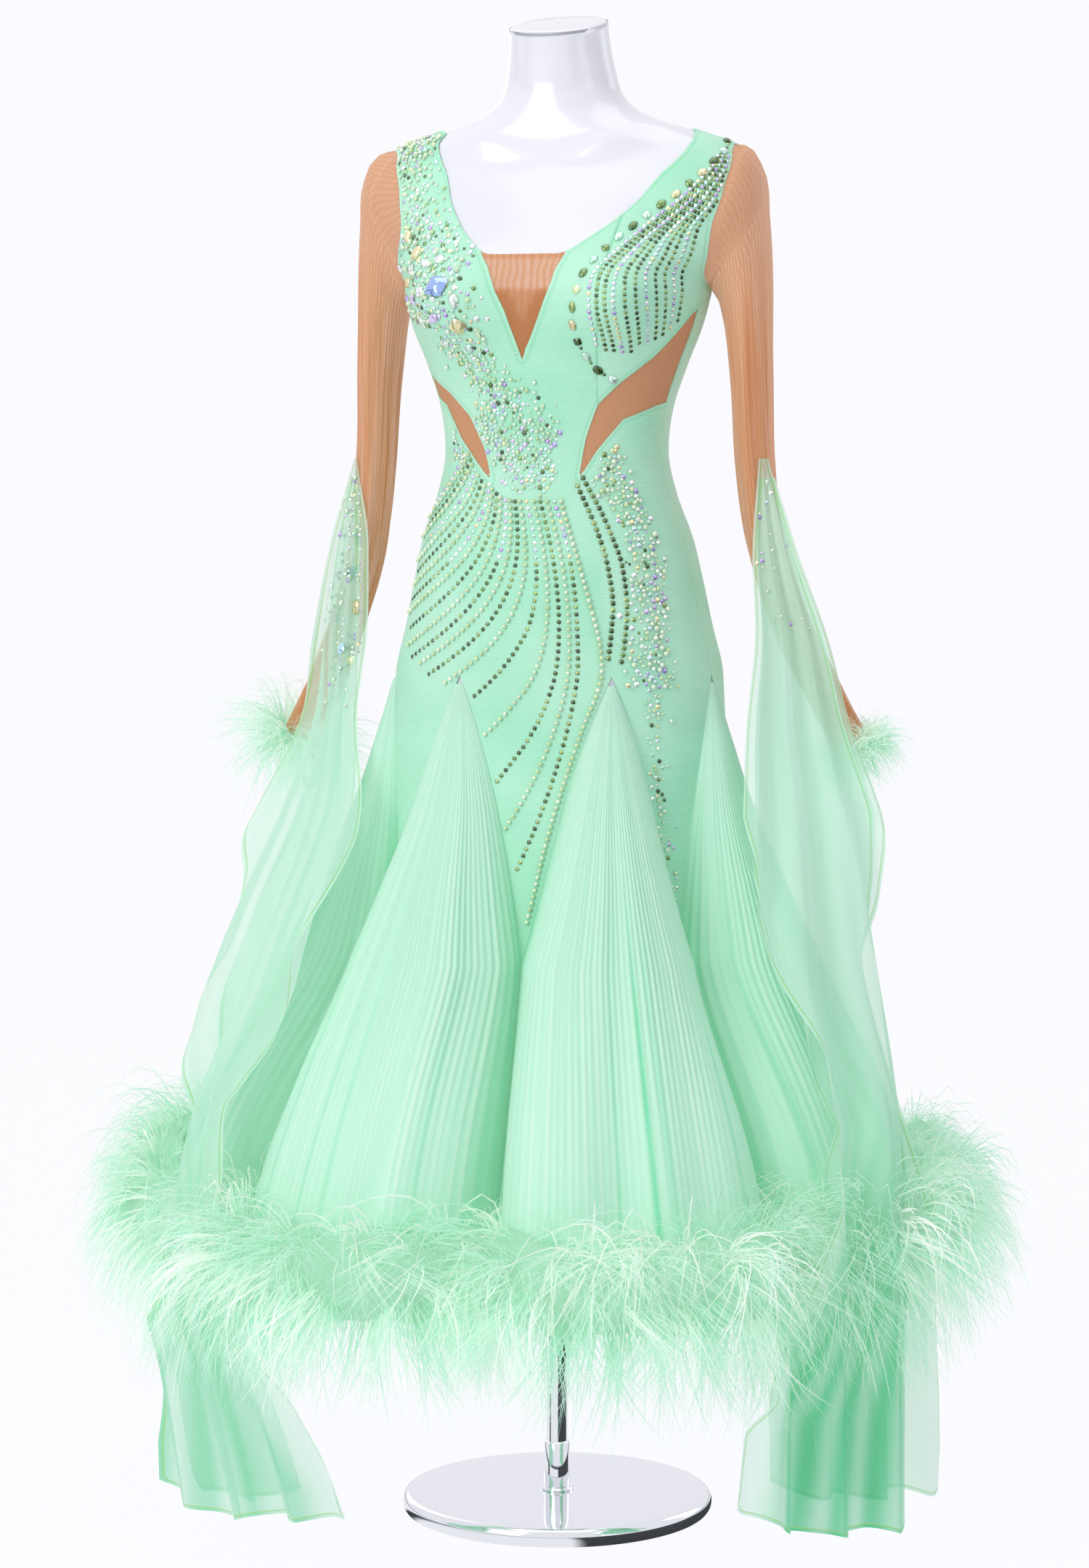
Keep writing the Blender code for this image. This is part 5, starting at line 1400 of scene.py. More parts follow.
class Ribbons:
    """Many thin tapering ribbons gathered into one mesh."""

    def __init__(self) -> None:
        """Start with none."""
        self.points, self.faces, self.along, self.tone, self.count = [], [[], []], [], [], 0

    def add(self, lines: Array, widths: Array, flat: Array, tone: Array) -> None:
        """Add ribbons.

        Args:
            lines: Centre lines, as ribbons by stations by three.
            widths: Full width of each ribbon at its widest.
            flat: Direction in which each ribbon faces.
            tone: Shade of each ribbon, from 0 to 1.
        """
        number, stations = lines.shape[:2]
        tangent = np.gradient(lines, axis=1)
        across = unit(np.cross(tangent, flat[:, None]))
        t = np.linspace(0, 1, stations)
        profile = 0.5 * (0.55 + 0.45 * np.sin(np.pi * np.minimum(t * 1.4, 1.0))) * (1 - 0.65 * t**2)
        reach = across * (widths[:, None] * profile)[..., None]
        body = np.stack([lines[:, :-1] - reach[:, :-1], lines[:, :-1] + reach[:, :-1]], axis=2)
        body = body.reshape(number, -1, 3)
        points = np.concatenate([body, lines[:, -1:]], axis=1)
        per = points.shape[1]
        base = self.count + np.arange(number)[:, None] * per
        step = 2 * np.arange(stations - 2)[None]
        quads = np.stack([base + step, base + step + 1, base + step + 3, base + step + 2], axis=-1)
        last = base[:, 0] + 2 * (stations - 2)
        self.faces[0].append(quads.reshape(-1, 4))
        self.faces[1].append(np.stack([last, last + 1, base[:, 0] + per - 1], axis=-1))
        self.points.append(points.reshape(-1, 3))
        self.along.append(np.tile(np.append(np.repeat(t[:-1], 2), 1.0), number))
        self.tone.append(np.repeat(tone, per))
        self.count += number * per

    def add_grid(self, points: Array, tone: float) -> None:
        """Add an open grid of corners, as rows by columns by three."""
        rows, columns = points.shape[:2]
        self.faces[0].append(lattice(rows, columns) + self.count)
        self.points.append(points.reshape(-1, 3))
        self.along.append(np.full(rows * columns, 0.2))
        self.tone.append(np.full(rows * columns, tone))
        self.count += rows * columns

    def finish(self, name: str, material: Material) -> Object:
        """Make the piece."""
        fields = {"along": np.concatenate(self.along), "tone": np.concatenate(self.tone)}
        faces = [np.concatenate(group) for group in self.faces]
        return make_piece(name, np.concatenate(self.points), faces, material, fields)


def grow(ribbons: Ribbons, kind: Barbs, path: Array, outward: Array, up: Array,
         reach: Array, rng: np.random.Generator) -> None:
    """Grow one kind of barb along a cord.

    Args:
        ribbons: Mesh that they join.
        kind: Kind of barb.
        path: Points along the cord.
        outward: Outward direction at each of them.
        up: Direction that counts as up at the roots.
        reach: Factor on the barbs' length at each of them.
        rng: Random numbers.
    """
    way = travelled(path)
    plumes = max(int(way[-1] * kind.plumes), 1)
    spots = (np.arange(plumes) + rng.uniform(0, 1, plumes)) / plumes * way[-1]
    lift = rng.uniform(*kind.rise, plumes)
    lean = rng.normal(0, PLUME_LEAN, plumes)
    size = rng.uniform(0.86, 1.10, plumes)
    curl = rng.normal(0, PLUME_CURL, plumes)
    shade = rng.uniform(*kind.tone, plumes)
    pick = np.repeat(np.arange(plumes), kind.barbs)
    total = len(pick)
    spots = np.clip(spots[pick] + rng.normal(0, 0.004, total), 0, way[-1])
    root, out = along_path(spots, way, path), unit(along_path(spots, way, outward))
    sideways = unit(np.cross(up, out))
    angle = np.radians(lift[pick] + rng.normal(0, kind.scatter, total))[:, None]
    aside = (lean[pick] + rng.normal(0, BARB_LEAN, total))[:, None]
    start = unit(np.cos(angle) * (out + sideways * aside) + np.sin(angle) * up)
    root = root + up * rng.normal(0, 0.003, (total, 1)) + start * kind.start
    length = rng.uniform(*kind.length, total) * size[pick] * np.interp(spots, way, reach)
    fall = rng.uniform(*kind.fall, total)
    swirl = curl[pick] + rng.normal(0, BARB_CURL, total)
    lines = [root]
    for step in range(kind.segments):
        t = (step + 0.5) / kind.segments
        pull = (fall * t**1.2)[:, None] * np.array([0, 0, -1.0])
        bend = (swirl * t**1.6)[:, None] * sideways * CURL_BEND
        tangent = unit(start * (1.15 - 0.8 * t) + pull + bend)
        lines.append(lines[-1] + tangent * (length / kind.segments)[:, None])
    lines = np.stack(lines, axis=1)
    kept = (np.abs(lines[..., :2]).max(axis=1) < BARB_LIMITS).all(axis=1)
    flat = unit(out + rng.normal(0, 0.55, (total, 3)))
    tone = np.clip(shade[pick] + rng.normal(0, 0.12, total), 0, 1)
    widths = kind.width * rng.uniform(0.7, 1.2, total)
    ribbons.add(lines[kept], widths[kept], flat[kept], tone[kept])


HEM_BARBS = (
    Barbs(58, 22, (0.090, 0.140), (35, 95), (0.70, 1.50), 0.0014, (0.0, 0.60), 7.0, 7),
    Barbs(64, 22, (0.085, 0.130), (5, 65), (0.90, 1.80), 0.0016, (0.0, 0.58), 7.0, 7),
    Barbs(60, 20, (0.100, 0.150), (-45, 15), (0.90, 1.80), 0.0015, (0.0, 0.58), 7.0, 6),
    Barbs(84, 20, (0.115, 0.160), (-84, -45), (0.90, 1.90), 0.0013, (0.0, 0.58)),
    # Pale arcs: barbs paler than the rest, their own tone and in part a painted highlight
    Barbs(74, 14, (0.095, 0.160), (-55, 88), (0.90, 2.60), 0.0022, (0.80, 1.0), 8.0, 9),
    Barbs(180, 20, (0.034, 0.060), (-70, 90), (0.20, 1.00), 0.0009, (0.0, 0.25), 30.0, 3, 0.030),
)
CUFF_BARBS = (
    # Pale arcs: barbs paler than the rest, their own tone and in part a painted highlight
    Barbs(90, 8, (0.055, 0.090), (-60, 80), (0.60, 1.80), 0.0017, (0.75, 1.0), 18.0, 7),
    Barbs(260, 12, (0.060, 0.095), (-10, 80), (0.30, 1.10), 0.0011, (0.20, 0.95), 18.0, 6),
    Barbs(260, 11, (0.060, 0.095), (-80, 10), (0.40, 1.30), 0.0011, (0.10, 0.80), 18.0, 6),
    Barbs(340, 10, (0.030, 0.055), (-70, 70), (0.20, 0.90), 0.0008, (0.10, 0.60), 30.0, 3, 0.012),
)


@dataclass
class FeatherHem:
    """Ostrich feather trim under one godet's hem."""

    index: int
    barbs: tuple[Barbs, ...] = HEM_BARBS
    cord_rise: float = 0.020
    side_rise: float = 0.028
    cord_proud: float = 0.012
    core_radius: float = 0.044
    # Round from the front, where a sleeve float lies over the hem and the barbs reach past it
    float_angles: tuple[float, float] = (-46.0, 57.0)
    float_spread: float = 17.0
    float_reach: float = 0.30
    # Where the trim is fullest: its angle, how wide it is, how much it rises and how far it reaches
    full_angle: float = -104.0
    full_spread: float = 24.0
    full_rise: float = 0.022
    full_reach: float = 0.25
    # Angles off the front between which the trim rises at the sides
    side_from: tuple[float, float] = (50.0, 85.0)
    side_to: tuple[float, float] = (115.0, 150.0)
    stations: int = 61

    def build(self, feather: Material) -> Object:
        """Make the trim of one godet."""
        apex = FIRST_APEX + self.index * SECTOR
        across = np.linspace(-1, 1, self.stations)
        turns = apex + across * (SECTOR / 2 - 0.03)
        angles = wrap(turns)
        path = skirt_points(turns, HEM, 1 - np.abs(across) ** HILL_POWER)
        slope = np.gradient(path, axis=0)
        outward = unit(np.stack([slope[:, 1], -slope[:, 0], 0 * slope[:, 0]], -1))
        outward = unit(outward + unit(path * [1, 1, 0]) * 0.6)
        inset = (np.abs(across) ** 6)[:, None]
        beside = smooth_step(np.abs(angles), *self.side_from)
        beside = beside * (1 - smooth_step(np.abs(angles), *self.side_to))
        full = np.exp(-((angles - self.full_angle) / self.full_spread) ** 2)
        path = path + outward * self.cord_proud * (1 - inset)
        path[:, 2] += self.cord_rise + self.side_rise * beside + self.full_rise * full
        reach = 1 + self.float_reach * sum(
            np.exp(-((angles - centre) / self.float_spread) ** 2) for centre in self.float_angles)
        reach = reach * (1 - 0.12 * np.abs(across) ** 5) + self.full_reach * full
        behind = smooth_step(np.cos(np.radians(180 - angles)), 0.2, 0.8)
        rng = np.random.default_rng(HEM_SEED + self.index)
        ribbons = Ribbons()
        up = np.array([0, 0, 1.0])
        for kind in self.barbs:
            shorter = 1 - (0.35 if kind.rise[1] < 0 else 0.12) * behind
            grow(ribbons, kind, path, outward, up, reach * shorter, rng)
        turns = np.radians(np.linspace(-150, 110, 12))
        bumps = 1 + 0.16 * np.sin(across * 11 + self.index)[:, None] * np.sin(turns * 3)
        swell = self.core_radius * bumps * (0.75 + 0.25 * (1 - inset))
        ribbons.add_grid(path[:, None] + outward[:, None] * (swell * np.cos(turns))[..., None]
                         + up * (swell * np.sin(turns))[..., None], 0.35)
        piece = ribbons.finish("feather_hem_%d" % (self.index + 1), feather)
        piece.visible_glossy = False
        return settle(piece, "feathers", "hem_feathers_%d" % (self.index + 1))


@dataclass
class FeatherCuff:
    """Ostrich feather trim round the end of one sleeve."""

    side: int
    barbs: tuple[Barbs, ...] = CUFF_BARBS
    short_towards_float: float = 0.80

    def build(self, feather: Material) -> Object:
        """Make the cuff, with its barbs shorter on the side of the float."""
        centre, axis, long_way, depth_way = cuff_frame(self.side)
        turns = np.linspace(0, 2 * math.pi, 49)
        ring = np.outer(np.cos(turns), long_way) + np.outer(np.sin(turns), depth_way)
        outward = unit(ring)
        path = centre + axis * CUFF_HEIGHT * 0.55 + ring
        facing = -outward[:, 0] * self.side * 0.6 - outward[:, 1]
        reach = 1 - (1 - self.short_towards_float) * smooth_step(facing, 0.1, 0.8)
        reach = reach * (0.66 if self.side > 0 else 1.25)
        ribbons = Ribbons()
        rng = np.random.default_rng(CUFF_SEED + self.side)
        for kind in self.barbs:
            grow(ribbons, kind, path, outward, unit(-axis + [0, 0, 0.2]), reach, rng)
        band = np.stack([centre + axis * (0.0005 + level) + ring * scale for level, scale in (
            (0.0, 0.97), (0.0, 1.03), (CUFF_HEIGHT, 1.03), (CUFF_HEIGHT, 0.97))])
        ribbons.add_grid(band, 0.2)
        piece = ribbons.finish("feather_cuff_" + arm_name(self.side), feather)
        return settle(piece, "feathers", "cuff_feathers_" + arm_name(self.side))


@dataclass
class FingerLoop:
    """Narrow elastic loop at the cuff that holds the sleeve down over the hand."""

    side: int
    width: float = 0.015
    length: float = 0.040
    ribbon: float = 0.004
    thickness: float = 0.0011
    seat: float = 0.0012
    steps: int = 56
    # Round the ribbon's section: share of its thickness inward, and of half its width
    section: tuple[tuple[float, float], ...] = (
        (0, -1), (0, -0.4), (0, 0.4), (0, 1), (1, 1), (1, 0.4), (1, -0.4), (1, -1))

    def build(self, elastic: Material) -> Object:
        """Make the loop."""
        centre, axis, long_way, _ = cuff_frame(self.side)
        top = centre - long_way + axis * (CUFF_HEIGHT + self.seat)
        turns = np.arange(self.steps) * 2 * math.pi / self.steps
        way = np.stack([self.side * np.sin(turns), 0 * turns, np.cos(turns)], -1)
        spot = top + (way - [0, 0, 1]) * [self.width / 2, 0, self.length / 2]
        points = np.stack([spot - way * inward * self.thickness + [0, aside * self.ribbon / 2, 0]
                           for inward, aside in self.section], axis=1).reshape(-1, 3)
        sides = len(self.section)
        spots = np.arange(self.steps * sides).reshape(self.steps, sides)
        after, beside = np.roll(spots, -1, axis=0), np.roll(spots, -1, axis=1)
        faces = np.stack([spots, beside, np.roll(beside, -1, axis=0), after], -1).reshape(-1, 4)
        run = np.repeat(turns / (2 * math.pi) * 0.09, sides)
        piece = make_piece("finger_elastic_" + arm_name(self.side), points, faces, elastic,
                           {"cloth": np.stack([run, 0 * run, 0 * run], -1)})
        return settle(piece, "elastic", "finger_loop_" + arm_name(self.side))


def float_points(rows: Sequence[FloatRow], across: Array, heights: Array,
                 shift: float = 0.0) -> Array:
    """Points of a sleeve float: a straight run between its two edges, laid in soft folds.

    Args:
        rows: Levels of the float, from the top down.
        across: Places from the inner edge (0) to the outer edge (1).
        heights: Heights of the places.
        shift: How far this layer lies behind the front one.

    Returns:
        The points.
    """
    inner_x, inner_y, outer_x, outer_y, fold = smooth_columns(
        rows[::-1], heights, "inner_x", "inner_y", "outer_x", "outer_y", "fold")
    run_x, run_y = outer_x - inner_x, outer_y - inner_y
    run = unit(np.stack([run_x, run_y], axis=-1))
    fold = fold * (0.62 + 0.38 * smooth_step(heights, 0.25, 0.55))
    wave = fold * np.sin(6 * np.pi * across + 0.6 * np.sin(heights * 6) + shift * 60)
    wave = wave + 0.22 * fold * np.sin(14.5 * np.pi * across + heights * 3)
    wave = (wave - shift * smooth_step(1.05 - heights, 0.0, 0.3)) * np.sign(outer_x)
    x = inner_x + run_x * across + run[..., 1] * wave
    y = inner_y + run_y * across - run[..., 0] * wave
    return np.stack([x, y, heights + 0 * across], axis=-1)


class FloatCut(NamedTuple):
    """How one float is cut: its gathers, how its lower edge slants, and its flat widths.

    The gathers say where across the float, at each height, its cloth begins and ends. The
    second layer has its own place across the float, and its hem is a little higher.
    """

    levels: tuple[FloatRow, ...]
    gathers: tuple[tuple[float, float, float], ...]
    end_low: float
    slant: float
    slant_power: float
    plain: float
    front_width: float
    back_width: float
    back_span: tuple[float, float]
    back_lift: float


FLOAT_LEFT_CUT = FloatCut(
    FLOAT_LEFT_ARM,
    ((0.045, -0.13, 1), (0.18, -0.07, 1), (0.30, 0.26, 0.96), (0.45, 0.52, 0.90), (0.60, 0.32, 0.84),
     (0.745, 0.03, 1.04), (0.88, 0, 1.04), (1.01, 0, 1), (1.104, 0, 1)),
    end_low=0.88, slant=0.046, slant_power=1.3, plain=0.55,
    front_width=0.27, back_width=0.24, back_span=(0.10, 1.08), back_lift=0.028)
FLOAT_RIGHT_CUT = FloatCut(
    FLOAT_RIGHT_ARM,
    ((0.038, -0.20, 0.98), (0.10, -0.20, 0.96), (0.18, -0.10, 0.90), (0.26, 0, 0.66),
     (0.30, 0.06, 0.56), (0.38, 0.22, 0.54), (0.46, 0.30, 0.66), (0.60, 0.14, 0.88),
     (0.72, 0, 1.12), (0.86, 0, 1.10), (1.01, 0, 1), (1.104, 0, 1)),
    end_low=1.0, slant=0.036, slant_power=2.0, plain=0.25,
    front_width=0.30, back_width=0.15, back_span=(0.24, 0.80), back_lift=0.016)


@dataclass
class SleeveFloat:
    """Chiffon float that hangs from the forearm to just above the floor, with a second layer."""

    side: int
    columns: int = 84
    rows: int = 132
    corner: float = 0.030
    layer_gap: float = 0.013
    # Dark stripes where the cloth lies double: how many and how dark, how far they fade
    # towards the top, and the even shade of the back layer
    stripes: float = 15.0
    stripe_shade: float = 0.40
    faded: float = 0.80
    back_shade: float = 0.10

    @property
    def cut(self) -> FloatCut:
        """How this float is cut."""
        return FLOAT_LEFT_CUT if self.side > 0 else FLOAT_RIGHT_CUT

    def build(self, chiffon: Material) -> None:
        """Make the front layer and the one behind it."""
        arm, cut = arm_name(self.side), self.cut
        front = self.layer("float_front_" + arm, chiffon, (0.0, 1.0), 0.0, 0.0)
        settle(front, "chiffon", "float_" + arm)
        back = self.layer("float_back_" + arm, chiffon, cut.back_span, self.layer_gap, cut.back_lift)
        settle(back, "chiffon")

    def layer(self, name: str, chiffon: Material, ends: tuple[float, float],
              shift: float, lift: float) -> Object:
        """Make one layer.

        Args:
            name: Name of the piece.
            chiffon: Its finish.
            ends: Where across the float it begins and ends.
            shift: How far it lies behind the front layer.
            lift: How much higher its lower edge is, 0 for the front layer.

        Returns:
            The layer.
        """
        cut, (start, end) = self.cut, ends
        top, bottom = cut.levels[0].height - shift * 1.5, cut.levels[-1].height + lift
        u, v = np.meshgrid(np.linspace(0, 1, self.columns), np.linspace(0, 1, self.rows))
        wander = 0.004 * np.sin(9 * u + self.side) + 0.003 * np.sin(17 * u)
        rounding = np.maximum(np.maximum(0.07 - u, u - 0.90) / 0.10, 0) ** 2 * self.corner
        low = bottom + wander + 0.004 + rounding * (1.8 if lift else 0.5)
        low = low + cut.slant * (1 - u) ** cut.slant_power
        heights = top + (low - top) * v
        knots = np.array(cut.gathers)
        first, last = (np.interp(heights, knots[:, 0], knots[:, k]) for k in (1, 2))
        narrowed = 0.0 if lift else (end - cut.end_low) * smooth_step(0.45 - heights, 0.0, 0.20)
        across = first + (last - first) * (start + (end - narrowed - start) * u)
        points = float_points(cut.levels, across, heights, shift)
        widths = norm(np.diff(points, axis=1), axis=-1).sum(axis=1)[:, None]
        edge = np.minimum(np.minimum(u, 1 - u) * widths, heights - low)
        stripe = 0.5 + 0.5 * np.sin(self.stripes * np.pi * u + 2.6 * np.sin(5 * heights + self.side))
        lower = 1 - self.faded * smooth_step(heights, 0.15, 0.60)
        deep = (cut.plain + self.stripe_shade * stripe) * lower * smooth_step(u, 0.05, 0.20)
        if lift:
            deep = self.back_shade + 0 * u
        fields = {"edge": edge.ravel(), "deep": deep.ravel(),
                  "cloth": np.stack([u * widths, heights, 0 * u], -1).reshape(-1, 3)}
        faces = lattice(self.rows, self.columns)
        return make_piece(name, points.reshape(-1, 3), faces, chiffon, fields)


@dataclass
class Godet:
    """Sunray-pleated godet of organza, from its narrow apex to the hem."""

    index: int
    pleats: int = 44
    row_height: float = 0.0102
    # Heights of its first row, and of the row down to which its edges run straight
    first_row: float = 0.876
    straight_to: float = 0.862
    # Gap to the crepe at its sides, in degrees, and how much broader its crest is at the hem
    side_gap: float = 0.05
    hem_breadth: float = 1.1
    # Pleats: how far they stand out and how deep they are, as shares of width, and how bright the
    # painted highlight on their crests is
    base_share: float = 0.0095
    depth_share: float = 0.22
    unevenness: tuple[float, float] = (0.45, 1.35)
    brightness: tuple[float, float] = (1.1, 1.6)
    hem_depth: float = 0.16
    deep_from: tuple[float, float] = (0.38, 0.66)
    swing: float = 0.0075
    # Shares of the half width: flat at the very side, and painted shade towards the side
    flat_side: float = 0.05
    side_shade: tuple[float, float] = (0.82, 0.985)
    # Painted shade of folds that run down it: where, how wide and how dark they are, and how far they
    # drift
    crease_count: int = 5
    painted_creases: tuple[tuple[float, float], ...] = ((-0.78, 0.78), (0.010, 0.030), (0.25, 0.7))
    crease_drift: float = 0.03

    def build(self, organza: Material) -> None:
        """Make the godet."""
        across = np.linspace(-1, 1, self.pleats * 4 + 1)[None]
        heights = np.append(np.arange(self.first_row, HEM + 0.003, -self.row_height), HEM)[:, None]
        smooth, out = self.smooth_cloth(across, heights)
        width = norm(np.diff(smooth, axis=1), axis=-1).sum(axis=1)[:, None]
        down = (SKIRT_TOP - heights) / (SKIRT_TOP - HEM)
        phase = (across + 1) / 2 * self.pleats
        crest = 1 - np.abs(2 * (phase % 1.0) - 1)
        rng = np.random.default_rng(GODET_SEED + self.index)
        each = np.clip(phase.astype(int), 0, self.pleats - 1)
        uneven = rng.uniform(*self.unevenness, self.pleats)[each]
        lit = rng.beta(*self.brightness, self.pleats)[each]
        depth = width / self.pleats * self.depth_share * uneven
        depth = depth * (self.hem_depth + (1 - self.hem_depth) * smooth_step(heights, *self.deep_from))
        broad = self.swing * down**2 * (np.sin(8.3 * across + self.index * 1.7)
                                        + 0.6 * np.sin(14.1 * across + 2.4 * self.index))
        wave = self.base_share * width + depth * (crest - 0.5) * 2 + broad
        wave = smooth_step(1 - np.abs(across), 0.0, self.flat_side) * wave
        points = smooth + out * wave[..., None]
        # Painted shade: darker towards the sides, in every few pleats and along long folds
        fold = self.folds(across, heights, down, phase, rng)
        run = (across + 1) / 2 * width
        # The crest field is a painted highlight on the pleats' crests, stronger on some pleats than
        # others
        fields = {"crest": np.broadcast_to(crest**2 * lit * 1.3, run.shape).ravel(),
                  "fold": fold.ravel(),
                  "cloth": np.stack([run, heights + 0 * across, 0 * run], -1).reshape(-1, 3)}
        piece = make_piece("organza_godet_%d" % (self.index + 1), points.reshape(-1, 3),
                           lattice(len(heights), across.shape[1]), organza, fields)
        piece.visible_glossy = False
        settle(piece, "pleated_organza", "godet_%d" % (self.index + 1))

    def smooth_cloth(self, across: Array, heights: Array) -> tuple[Array, Array]:
        """Points of the godet before it is pleated, and the way out of its cloth."""
        apex = FIRST_APEX + self.index * SECTOR
        top = self.straight_to
        near = float(godet_half_angle(top)) * (SKIRT_TOP - heights) / (SKIRT_TOP - top)
        half = np.where(heights > top, near, godet_half_angle(heights)) - self.side_gap
        broader = HILL_POWER * (1 + self.hem_breadth * smooth_step(POINT_TIP - heights, 0.0, 0.2))
        hill = 1 - np.abs(across) ** broader
        smooth = skirt_points(apex + across * half, heights, hill)
        below = heights - 0.004
        lower = skirt_points(apex + across * godet_half_angle(below), below, hill)
        out = -unit(np.cross(np.gradient(smooth, axis=1), lower - smooth))
        inward = (out * smooth * [1, 1, 0]).sum(-1, keepdims=True) < 0
        return smooth, np.where(inward, -out, out)

    def folds(self, across: Array, heights: Array, down: Array, phase: Array,
              rng: np.random.Generator) -> Array:
        """Painted shade of the cloth: at the sides, in every few pleats and in the long folds."""
        side = smooth_step(np.abs(across), *self.side_shade) * smooth_step(0.82 - heights, 0.0, 0.2)
        pleat_shade = 0.5 + 0.5 * np.sin(phase * 1.31 + 4.0 * self.index)
        places, widths, shades = (rng.uniform(*limits, self.crease_count) for limits in self.painted_creases)
        painted_creases = sum(
            shade * np.exp(-((across - place - self.crease_drift * down) / spread) ** 2)
            for place, spread, shade in zip(places, widths, shades))
        return np.clip(0.85 * side * (0.35 + 0.65 * pleat_shade) + 0.05 * pleat_shade * down
                       + painted_creases * smooth_step(down, 0.25, 0.7), 0, 1)


class Cut(Enum):
    """Shapes of stone: the number of sides, how long for its width, and how pointed."""

    PEARL = (10, 1.0, 0.0)
    ROUND = (8, 1.0, 0.0)
    OVAL = (14, 1.38, 0.0)
    SQUARE = (8, 1.0, 0.0)
    NAVETTE = (14, 1.9, 0.55)
    PEAR = (14, 1.5, 0.3)


class Hue(Enum):
    """Colours of the stones: what they are called, and the sRGB values they vary over."""

    PEARL = ("#DFEFCB", "#D0E6B4", "#EAF5DC")
    WHITE_PEARL = ("#F1F9EE", "#E3F3DC")
    PERIDOT = ("#4A6A34", "#6E9150", "#97B46F", "#38541F")
    AURORA = ("#E6F4EC", "#CDE9F4", "#D6C8F0", "#F3EAB6", "#BDEFD8", "#B9A6E8", "#F6F8FF")
    OPAL = ("#CFEFC4", "#E3F2B8", "#B8E8CC", "#D9D3A2", "#C9E9DD")
    LAKE = ("#7FC9E8", "#9AB6EE", "#B7E4F2")


def capped(rings: Array, sides: int, top: float) -> tuple[Array, Array]:
    """Corners and triangles of a stone from its rings, closed at the middle of its top."""
    count = len(rings)
    quads = lattice(count // sides, sides, closed=True)
    last = np.arange(count - sides, count)
    cap = np.stack([last, np.roll(last, -1), np.full(sides, count)], -1)
    return np.vstack([rings, [[0, 0, top]]]), np.vstack([quads[:, [0, 1, 2]], quads[:, [0, 2, 3]], cap])


def stone_shape(cut: Cut) -> tuple[Array, Array]:
    """Corners and triangles of a stone two units wide: a pearl, or crystal that lies flat at 0."""
    sides, long, pointed = cut.value
    if cut is Cut.PEARL:
        levels = np.radians([-28, 5, 38, 66])
        profile = list(zip(np.cos(levels), PEARL_RISE + np.sin(levels)))
        return capped(turned_rings(sides, profile), sides, PEARL_RISE + 1)
    turns = (np.arange(sides) + 0.5) * 2 * math.pi / sides
    x, y = np.cos(turns), np.sin(turns)
    if cut is Cut.SQUARE:
        x, y = np.sign(x) * np.abs(x) ** 0.45, np.sign(y) * np.abs(y) ** 0.45
    taper = 1 - pointed * np.abs(x) ** 2.2 * (1 if cut is Cut.NAVETTE else (x > 0))
    outline = np.stack([x * long, y * taper], -1)
    levels = ((0.98, 0.0), (1.0, 0.16), (0.80, 0.42), (0.52, 0.56))
    if cut is Cut.ROUND:
        levels = ((1.0, 0.10), (0.56, 0.58))
    rings = np.vstack([np.hstack([outline * scale, np.full((sides, 1), height)])
                       for scale, height in levels])
    return capped(rings, sides, levels[-1][1])


class Setting(NamedTuple):
    """Stones to be glued on: where, which way up and along, how wide, and their colours."""

    points: Array
    normals: Array
    along: Array
    widths: Array
    hue: Hue


class StoneBox:
    """Stones of every cut, gathered so that each material becomes one piece."""

    def __init__(self, rng: np.random.Generator) -> None:
        """Start with none."""
        self.rng = rng
        self.groups: dict[bool, list] = {True: [], False: []}
        self.total = 0

    def glue(self, cut: Cut, setting: Setting) -> None:
        """Add stones of one cut."""
        shape, triangles = stone_shape(cut)
        number = len(setting.points)
        if not number:
            return
        up = unit(setting.normals)
        along = unit(setting.along - up * (setting.along * up).sum(-1, keepdims=True))
        if cut in (Cut.PEARL, Cut.ROUND):
            turn = self.rng.uniform(0, 2 * math.pi, number)[:, None]
            along = along * np.cos(turn) + np.cross(up, along) * np.sin(turn)
        frames = np.stack([along, np.cross(up, along), up], axis=1)
        points = setting.points[:, None] + np.einsum(
            "vk,nkc->nvc", shape, frames) * setting.widths[:, None, None] / 2
        faces = triangles[None] + (np.arange(number) * len(shape))[:, None, None]
        palette = np.array([linear(colour) for colour in setting.hue.value])
        tint = palette[self.rng.integers(0, len(palette), number)]
        tint[:, :3] *= self.rng.uniform(0.88, 1.06, (number, 1))
        tints = np.repeat(np.clip(tint, 0, 1), len(shape), axis=0)
        self.groups[cut is Cut.PEARL].append((points.reshape(-1, 3), faces.reshape(-1, 3), tints))
        self.total += number

    def finish(self, pearl: Material, crystal: Material) -> None:
        """Make the two pieces."""
        for name, is_pearl, material in (("pearl", True, pearl), ("crystal", False, crystal)):
            points, faces, tints = zip(*self.groups[is_pearl])
            starts = np.cumsum([0] + [len(corners) for corners in points])
            faces = [triangles + start for triangles, start in zip(faces, starts)]
            piece = make_piece("stones_" + name, np.vstack(points), np.vstack(faces), material,
                               {"tint": np.vstack(tints)}, smooth=is_pearl)
            settle(piece, None)


def crepe_margin(angles: Array, heights: Array) -> Array:
    """How far inside the front crepe's outline each place lies, in metres."""
    depths = outline_depths(angles, heights, 0.0)
    body = -depths[:, [edge.value for edge in Edge if edge is not Edge.CUP]].max(axis=1)
    steps = (angles - FIRST_POINT) / SECTOR
    off_centre = np.abs(steps - np.round(steps)) * SECTOR
    point = (point_half_angle(heights) - off_centre) * POINT_DEGREE
    return np.where(heights >= SKIRT_TOP, body, np.minimum(body, point))


